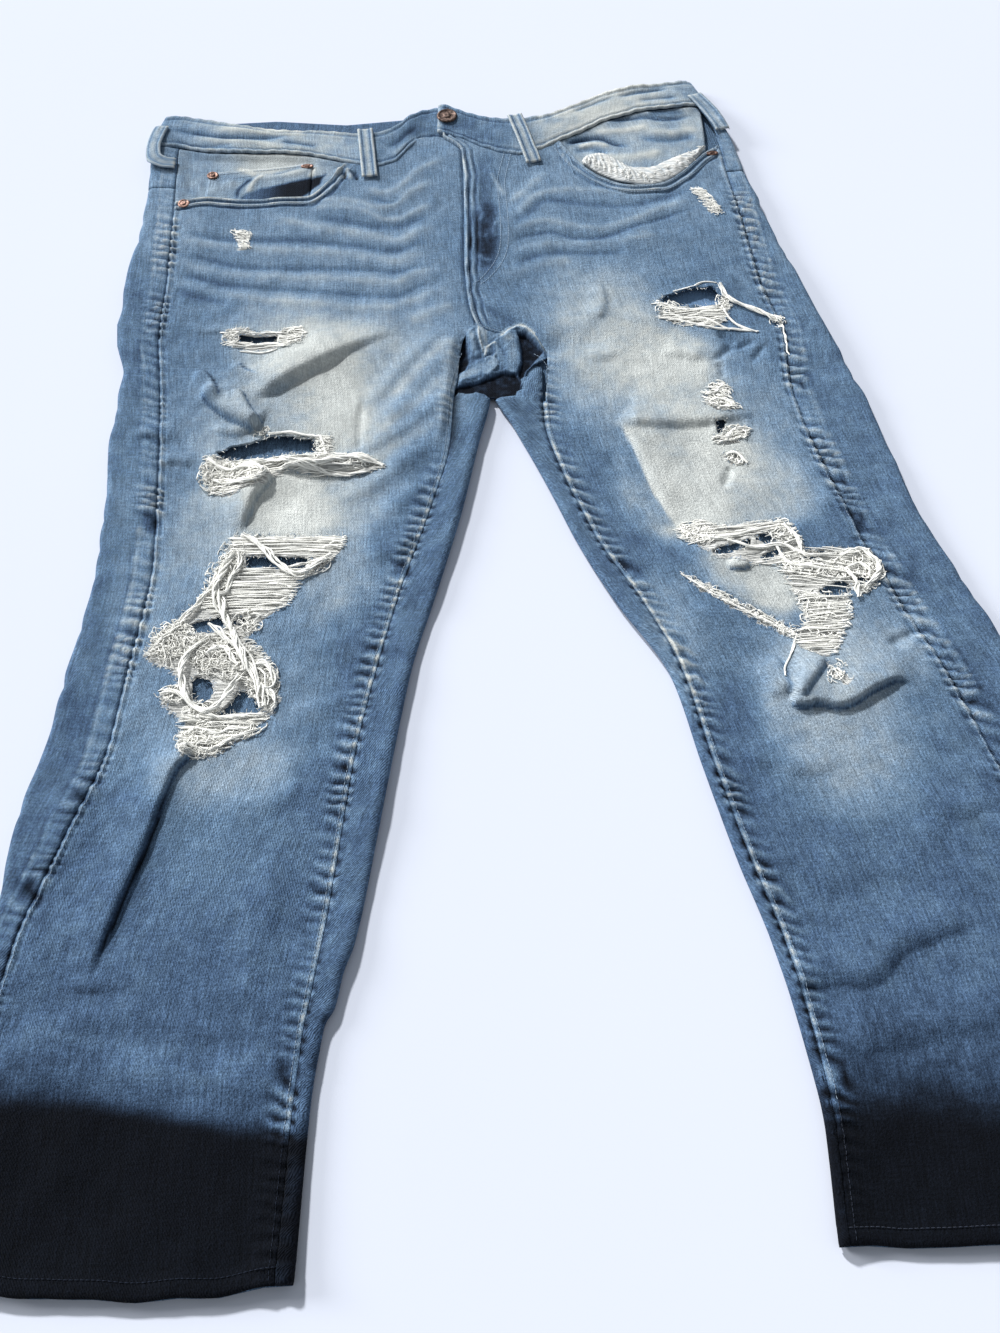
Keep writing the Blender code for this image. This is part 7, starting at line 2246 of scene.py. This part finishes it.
def tangle_lines(tangle, seed):
    """Threads that curl about in a heap."""
    rng = np.random.default_rng(seed)
    count = tangle.count
    radius = np.sqrt(rng.uniform(0, 1, count))
    angle = rng.uniform(0, 2 * math.pi, count)
    cos, sin = math.cos(math.radians(tangle.turn)), math.sin(math.radians(tangle.turn))
    across, along = CM * tangle.across, CM * tangle.along
    u = across * radius * np.cos(angle)
    v = along * radius * np.sin(angle)
    px, py = at(tangle.x, tangle.y)
    step = CM * tangle.length * rng.uniform(0.5, 1.3, (count, 1)) / TANGLE_POINTS
    heading = rng.uniform(0, 2 * math.pi, (count, 1))
    bend = rng.normal(0, 0.30, (count, 1)) + rng.normal(0, 0.45, (count, TANGLE_POINTS))
    x, y = walk(px + u * cos - v * sin, py + u * sin + v * cos, step,
                  heading + np.cumsum(bend, 1))
    # threads that stray are drawn back
    x, y = x - px, y - py
    far = np.hypot((x * cos + y * sin) / across, (y * cos - x * sin) / along) / 1.2
    shrink = np.where(far > 1, 1 / far ** 0.75, 1.0)
    t = np.linspace(0, 1, TANGLE_POINTS)
    top = MM * tangle.height * rng.uniform(0.05, 1.0, (count, 1))
    turns = rng.uniform(0.6, 2.2, (count, 1))
    waves = np.abs(np.sin(math.pi * (t * turns + rng.uniform(0, 1, (count, 1)))))
    return on_front(tangle.side, px + x * shrink, py + y * shrink, LEAST_LIFT + top * waves)


def fringe_lines(tear, seed):
    """Short hairs along the edge of a hole or a bare patch, as (count, points, 3)."""
    rng = np.random.default_rng(seed)
    ring = closed(places(tear.outline))
    run = runs(ring)
    count = int(length_of(ring) / HAIR_GAP)
    spot = rng.uniform(0, run[-1], count)
    heading = rng.uniform(0, 2 * math.pi, (count, 1)) \
        + np.cumsum(rng.normal(0, 0.27, (count, HAIR_POINTS)), 1)
    step = HAIR_LENGTH * rng.uniform(0.4, 1.4, (count, 1)) / HAIR_POINTS
    x, y = walk(np.interp(spot, run, ring[:, 0]), np.interp(spot, run, ring[:, 1]), step,
                heading)
    lift = LEAST_LIFT + rng.uniform(0, 0.0012, (count, 1)) * np.linspace(0, 1, HAIR_POINTS)
    return on_front(tear.side, x, y, lift)


def thread_radius(count, seed, low, high):
    return np.random.default_rng(seed).uniform(low, high, count)


def build_threads(side):
    """All the loose threads on one front panel, by kind."""
    def of_side(rows, seed, make):
        return [make(row, seed + k) for k, row in enumerate(rows) if row.side == side]

    def threads(kind, lines, seed, low, high, look=LOOSE_THREAD, sides=3):
        radii = thread_radius(len(lines), seed, low, high)
        return tubes("%s_%s" % (kind, side), lines, radii, look, sides)

    rows = [(k, row) for k, row in enumerate(BARS) if row.side == side]
    bars = [bar_lines(row, BARS_SEED + k) for k, row in rows]
    radii = [MM * row.thick * thread_radius(len(lines), BAR_SIZE_SEED + k, 0.7, 1.25)
             for (k, row), lines in zip(rows, bars)]
    weft = tubes("weft_%s" % side, np.concatenate(bars), np.concatenate(radii), LOOSE_THREAD)
    ropes = np.concatenate(of_side(ROPES, ROPES_SEED, rope_lines))
    heaps = np.concatenate(of_side(TANGLES, TANGLES_SEED, tangle_lines))
    hairs = np.concatenate(of_side(BARE + HOLES, HAIRS_SEED, fringe_lines))
    blue = np.random.default_rng(5).uniform(size=len(hairs)) < WARP_SHARE
    return [weft, threads("ropes", ropes, 2, 0.00042, 0.00072, sides=5),
            threads("tangles", heaps, 3, 0.00026, 0.00050),
            threads("fringe", hairs[~blue], 6, 0.00012, 0.00024),
            threads("warp_ends", hairs[blue], 7, 0.00010, 0.00020, BLUE_THREAD)]


# the worn white edge of the left pocket opening: its inner and outer borders on the plan
FRAY_UPPER = ((6.8, 85.9), (7.4, 86.6), (8.3, 86.8), (9.0, 86.5), (9.8, 85.7), (10.6, 85.0),
              (11.5, 84.8), (12.6, 85.0), (14.0, 85.9), (16.0, 87.0), (17.2, 87.8))
FRAY_LOWER = ((6.8, 85.7), (7.6, 84.7), (8.6, 83.9), (10.0, 83.1), (11.5, 82.6), (13.0, 82.8),
              (14.5, 83.9), (16.0, 85.7), (17.1, 87.5))
FRAY_LENGTH = 0.125
FRAY_ENDS = 70           # how many thread ends stick out of the roll
FRAY_POINTS = 8          # and the points of each
FRAY_COLUMNS = 260
FRAY_ROWS = 30
FRAY_RISE = 0.0032
FRAY_BEAD = 0.0058       # from one knot of the roll to the next


def build_pocket_fray():
    """The roll of bare white weft along the pocket's edge, and the ends that stick out."""
    upper = smooth_line(places(FRAY_UPPER), FRAY_COLUMNS + 1)
    lower = smooth_line(places(FRAY_LOWER), FRAY_COLUMNS + 1)
    share, along = shares(FRAY_ROWS + 1, FRAY_COLUMNS + 1)
    ragged = 0.0005 * noise(along[0], 0 * along[0], 0.012, 95)
    x = mix(lower[:, 0], upper[:, 0], share)
    y = mix(lower[:, 1], upper[:, 1], share) + ragged * share
    run = along * FRAY_LENGTH
    roll = np.sin(math.pi * share) ** 0.6
    ends = between(along, 0.05, 0.03)
    # ribs above, knotty lumps below
    ribs = noise(run + 0.006 * share, share * 0.004, 0.0017, 96) * ease(0.35, 0.6, share)
    beads = np.sin(2 * math.pi * run / FRAY_BEAD + 3.0 * noise(run, 0.0, 0.02, 94))
    lumps = (0.7 * np.maximum(beads, -0.3) + 0.5 * noise(run, share * 0.016, 0.0030, 97)) \
        * bell(share - 0.30, 0.17)
    middle = on_front("left", x, y)
    rise = FRAY_RISE * roll * ends * (0.8 + 0.25 * noise(run, share * 0.01, 0.014, 98))
    middle[..., 2] += -0.0008 * share + rise + ends * roll * (0.0006 * ribs + 0.0013 * lumps)
    fields = {"dye": fade_colour(0.80 + 0 * x),
              "bare": np.clip(0.75 + 0.6 * ribs + 0.5 * lumps, 0.35, 1.0)}
    rng = np.random.default_rng(501)
    spot = rng.integers(FRAY_POINTS, FRAY_COLUMNS - FRAY_POINTS, FRAY_ENDS)
    level = rng.uniform(0.05, 0.60, FRAY_ENDS)
    heading = rng.uniform(0, 2 * math.pi, (FRAY_ENDS, 1)) \
        + np.cumsum(rng.normal(0, 0.5, (FRAY_ENDS, FRAY_POINTS)), 1)
    start = middle[np.clip((level * FRAY_ROWS).astype(int), 1, FRAY_ROWS - 1), spot]
    step = 0.0006 * rng.uniform(0.4, 1.2, (FRAY_ENDS, 1))
    hair_x, hair_y = walk(start[:, 0], start[:, 1], step, heading)
    hair_z = start[:, None, 2] + 0.0008 + 0.0004 * np.sin(np.arange(FRAY_POINTS))
    hairs = np.stack([hair_x, hair_y, hair_z], -1)
    radii = thread_radius(FRAY_ENDS, 9, 0.0002, 0.0004)
    return [shell("pocket_fray_roll", middle, THIN, FRAY_LOOK, fields),
            tubes("pocket_fray_ends", hairs, radii, LOOSE_THREAD)]


# ---------------------------------------------------------------- stitching
STITCH_PITCH = 0.0027
STITCH_LENGTH = 0.0021
STITCH_RADIUS = 0.00026
STITCH_ARCH = (0.0, 0.0003, 0.0)
BAND_STITCH_ROWS = (0.07, 0.93)  # shares of the band's height
J_STITCH_ROWS = (0.0, 0.6)       # centimetres to the side
J_STITCH = ((0.4, 87.2), (-0.2, 83.5), (-0.1, 81.0), (0.05, 78.0), (0.0, 75.4), (-0.5, 73.6),
            (-1.3, 72.2), (-2.1, 71.3))


def stitches(lines, height):
    """Short dashes along lines of frame points, lying on a surface of that height."""
    made = []
    for points in lines:
        run = runs(points)
        count = max(int(run[-1] / STITCH_PITCH), 1)
        start = (np.arange(count)[:, None] + 0.15) * run[-1] / count
        spot = start + STITCH_LENGTH * np.linspace(0, 1, 3)
        x = np.interp(spot, run, points[:, 0])
        y = np.interp(spot, run, points[:, 1])
        made.append(np.stack([x, y, height(x, y) + STITCH_ARCH], -1))
    return np.concatenate(made)


def sew(name, dashes, look):
    return tubes(name, dashes, np.full(len(dashes), STITCH_RADIUS), look)


def side_line(side, offset, low, high, inner=False):
    """A line at a distance inside the outseam, or inside the front's inner edge."""
    y = np.linspace(low, high, 400)
    if inner:
        x = front_edge(side, y) + OUTWARD[side] * offset
    else:
        x = side_x(side, y, 2) - OUTWARD[side] * offset
    return np.stack([x, y], 1)


def scoop_line(side, offset):
    """A line at a distance below the scooped pocket opening."""
    table = SCOOPS[side]
    x = np.linspace(table[0][0], table[-1][0], 300)
    y = read(table, x)
    slope = np.gradient(y, x)
    size = np.hypot(1, slope)
    place = np.stack([x + offset * slope / size, y - offset / size], 1)
    outer = side_x(side, place[:, 1], 2)
    keep = place[:, 0] > outer + 0.002 if side == "right" else place[:, 0] < outer - 0.002
    return place[keep]


def hem_line(side, up):
    y = np.full(160, HEMS[side] + up)
    x = np.linspace(side_x(side, y[:1], 2)[0], front_edge(side, y[:1])[0], 160)
    return np.stack([x, y], 1)


def build_stitching(side):
    """Sewn lines on one front panel."""
    low = HEMS[side] + 0.002
    end = SCOOPS[side][0 if side == "right" else -1][1] - 0.004
    lines = [side_line(side, 0.0020, low, end), side_line(side, 0.0032, low, 0.150, True),
             hem_line(side, HEM_DEPTH), scoop_line(side, 0.0026), scoop_line(side, 0.0085)]
    if side == "left":
        lines.append(side_line(side, 0.0026, 0.166, 0.385, True))
        for shift in J_STITCH_ROWS:
            lines.append(smooth_line(places([(x + shift, y) for x, y in J_STITCH]), 120))
    made = stitches(lines, lambda x, y: front_height(side, x, y) + 0.00015)
    made[..., 1] += hem_shift(side, made[..., 0], made[..., 1])
    # stitches in the painted shadow over the end of a leg take the darkened thread
    dark = hem_shadow(side, made[:, 1, 0], made[:, 1, 1]) < 0.5
    return [sew("stitches_%s" % side, made[~dark], STITCH_THREAD),
            sew("hem_stitches_%s" % side, made[dark], STITCH_IN_PAINTED_SHADOW)]


def build_band_stitching(side):
    table = WAISTS[side]
    xs = np.linspace(table[0][0] + 0.002, table[-1][0] - 0.002, 400)
    low, high = (read_straight(table, xs, column) for column in (1, 2))
    lines = [np.stack([xs, mix(low, high, share)], 1) for share in BAND_STITCH_ROWS]

    def height(x, y):
        return band_height(side, x, y) - band_under(side, x) + BAND / 2 - 0.0002

    return sew("band_stitches_%s" % side, stitches(lines, height), STITCH_THREAD)


def build_coin_stitching():
    (x0, _), (x1, high) = COIN_POCKET
    top = high + COIN_SLANT * (x0 - x1)
    lines = [((x0 + inset, 0.319), (x0 + inset, top - 0.002)) for inset in (0.0022, 0.0080)]
    lines += [((x0 + 0.003, top - inset), (x1 - 0.003, high - inset)) for inset in (0.003, 0.009)]

    def height(x, y):
        return skin("right", x, y) - LAYER + THIN / 2 + 0.0001

    made = stitches([smooth_line(line, 40) for line in lines], height)
    return sew("coin_stitches", made, STITCH_THREAD)


# ---------------------------------------------------------------- metal
LATHE_SIDES = 36
LEAST_RADIUS = 0.00002
def lathe(name, place, profile, look, dents, seed, worn=(1.0, 1.0, 0.0)):
    """A turned piece at a place (x, y, z), from a profile of (radius, height) points; worn is
    its length and width as shares of the turned ones and its turn."""
    x, y, z = place
    outline = smooth_line(np.array([(r, z + h) for r, h in profile]), 4 * len(profile))
    radius = np.maximum(outline[:, :1], LEAST_RADIUS)
    angle = 2 * math.pi * np.arange(LATHE_SIDES) / LATHE_SIDES
    length, width, turn = worn
    across = radius * np.cos(angle) * length
    along = radius * np.sin(angle) * width
    px = x + across * math.cos(turn) - along * math.sin(turn)
    py = y + across * math.sin(turn) + along * math.cos(turn)
    pz = outline[:, 1:] + dents * noise(px, py, 0.0016, seed)
    return new_mesh(name, np.stack([px, py, pz], -1).reshape(-1, 3),
                    ring_faces(len(outline), LATHE_SIDES), look)


# radius and height of each point
RIVET_PROFILE = ((0.0046, -0.0003), (0.0048, 0.0004), (0.0043, 0.0009), (0.0034, 0.0010),
                 (0.0028, 0.0007), (0.0022, 0.0007), (0.0017, 0.0013), (0.0010, 0.0015),
                 (0.0003, 0.0013), (0.0000, 0.0013))
BUTTON_PROFILE = ((0.0014, -0.0030), (0.0014, -0.0002), (0.0060, 0.0001), (0.0083, 0.0008),
                  (0.0086, 0.0014), (0.0080, 0.0022), (0.0070, 0.0023), (0.0062, 0.0018),
                  (0.0050, 0.0015), (0.0034, 0.0016), (0.0028, 0.0021), (0.0016, 0.0022),
                  (0.0004, 0.0020), (0.0000, 0.0020))
BUTTON_PLACE = (-0.074, 0.420)
# name, side, place, height over the cloth, then its length and width as shares and its turn
RIVETS = (
    ("rivet_pocket_right", "right", -0.283, 0.310, DENIM / 2 + GAP, 1.0, 1.0, 0.0),
    ("rivet_coin_outer", "right", -0.2645, 0.3465, THIN / 2 + GAP - LAYER, 1.0, 0.9, 0.0),
    ("rivet_coin_inner", "right", -0.1880, 0.3585, THIN / 2 + GAP - LAYER, 1.1, 0.5, 0.05),
    ("rivet_pocket_left", "left", 0.147, 0.374, DENIM / 2 + GAP, 1.1, 0.55, 0.1),
)


def build_rivet(name, side, x, y, lift, length, width, turn):
    base = float(skin(side, np.array(x), np.array(y))) + lift
    return lathe(name + "_metal", (x, y, base), RIVET_PROFILE, COPPER, 0.00012, 7,
                 (length, width, turn))


def build_button():
    x, y = BUTTON_PLACE
    surface = float(band_height("left", np.array([x]), np.array([y]))[0])
    return lathe("button_metal", (x, y, surface + BAND / 2), BUTTON_PROFILE, BRASS, 0.00015, 8)


def squared(value):
    """A wave with flatter tops."""
    return np.sign(value) * np.abs(value) ** 0.5


def build_slider():
    """The closed zip's slider, hidden under the band: a waisted body."""
    low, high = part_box("zip_slider")
    rows, sides = 25, 32
    t = np.linspace(0, 1, rows)[:, None]
    angle = 2 * math.pi * np.arange(sides)[None, :] / sides
    waist = 1 - 0.28 * np.sin(math.pi * np.clip(t * 1.3, 0, 1)) ** 2
    half = 0.0034 * waist * np.sqrt(np.clip(1 - (2 * t - 1) ** 8, 0.02, 1))
    thick = 0.0008 * np.sqrt(np.clip(1 - (2 * t - 1) ** 6, 0.02, 1))
    px = (low[0] + high[0]) / 2 + half * squared(np.cos(angle))
    py = mix(low[1] + 0.0003, high[1] - 0.0003, t) + 0 * angle
    pz = (low[2] + high[2]) / 2 + thick * squared(np.sin(angle))
    return new_mesh("slider_metal", np.stack([px, py, pz], -1).reshape(-1, 3),
                    ring_faces(rows, sides), BRASS)


# ---------------------------------------------------------------- the room
CAMERA = (-0.029, -0.494, 0.660)
CAMERA_TILT = 30.0       # degrees from looking straight down
LENS = 43.2
SUN_FROM = (-0.55, 0.83, 0.72)
SUN_STRENGTH = 4.2
SUN_SIZE = 5.0           # degrees
LOW_FROM = (-0.92, 0.34, 0.36)
LOW_STRENGTH = 2.5
LOW_SIZE = 20.0
SKY = (0.315, 0.338, 0.362)
FLOOR_COLOUR = (0.625, 0.657, 0.745)
FLOOR_REACH = 6.0
FLOOR_DROP = 0.0002      # how far it is below the lowest cloth


def build_floor():
    look = Look("pale_floor", roughness=0.9)
    shade = look.spread(look.solid_noise(3.0), 0.99, 1.0)
    look.feed(look.shader, {"Base Color": look.shaded((*FLOOR_COLOUR, 1.0), shade)})
    corners = ((-1, -1), (1, -1), (1, 1), (-1, 1))
    mesh = bpy.data.meshes.new("floor")
    mesh.from_pydata([(x * FLOOR_REACH, y * FLOOR_REACH, -FLOOR_DROP) for x, y in corners], [],
                     [(0, 1, 2, 3)])
    mesh.materials.append(look.material)
    floor = bpy.data.objects.new("floor", mesh)
    bpy.context.scene.collection.objects.link(floor)


def build_sun(name, strength, size, direction):
    sun = bpy.data.lights.new(name, "SUN")
    sun.energy = strength
    sun.angle = math.radians(size)
    lamp = bpy.data.objects.new(name, sun)
    lamp.rotation_euler = mathutils.Vector(direction).to_track_quat("Z", "Y").to_euler()
    bpy.context.scene.collection.objects.link(lamp)


def build_light():
    build_sun("key", SUN_STRENGTH, SUN_SIZE, SUN_FROM)
    build_sun("low_fill", LOW_STRENGTH, LOW_SIZE, LOW_FROM)
    world = bpy.data.worlds.new("studio")
    world.use_nodes = True
    sky = world.node_tree.nodes["Background"]
    sky.inputs["Color"].default_value = (*SKY, 1.0)
    sky.inputs["Strength"].default_value = 1.0
    bpy.context.scene.world = world
    bpy.context.scene.view_settings.view_transform = "Standard"


def build_camera():
    camera = bpy.data.cameras.new("camera")
    camera.lens = LENS
    camera.sensor_width = 36.0
    camera.sensor_fit = "HORIZONTAL"
    camera.clip_start = 0.01
    eye = bpy.data.objects.new("camera", camera)
    eye.location = CAMERA
    eye.rotation_euler = (math.radians(CAMERA_TILT), 0.0, 0.0)
    bpy.context.scene.collection.objects.link(eye)
    bpy.context.scene.camera = eye


def dress(obj, node):
    """obj stands for a CAD node, whose part is hidden."""
    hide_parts(node)
    return obj


def build_all():
    for side in ("right", "left"):
        back = dress(build_back(side), "back_panel_" + side)
        bunch = [build_bunch()] if side == "left" else []
        front = dress(build_front(side), "front_panel_" + side)
        loose = build_threads(side) + build_stitching(side)
        if side == "left":
            loose += build_pocket_fray()
        yoke = dress(build_yoke(side), "back_yoke_" + side)
        band = dress(build_waistband(side), "waistband_" + side)
        sewn = build_band_stitching(side)
        patch = dress(build_back_pocket(side), "back_pocket_" + side)
        facing = dress(build_facing(side), "pocket_facing_" + side)
        bag = dress(build_bag(side), "pocket_bag_" + side)
    coin = dress(build_coin_pocket(), "coin_pocket")
    sewn = build_coin_stitching()
    for piece in FLY_PIECES:
        made = dress(build_fly_piece(piece), piece.name)
    for loop in LOOPS:
        made = dress(build_loop(loop), "belt_loop_" + loop.name)
        float(length_of(places(loop.points)))
    made = dress(build_back_loop(), "belt_loop_back")
    for rivet in RIVETS:
        dress(build_rivet(*rivet), rivet[0])
    dress(build_button(), "top_button")
    dress(build_slider(), "zip_slider")


build_camera()
build_light()
build_floor()
build_all()
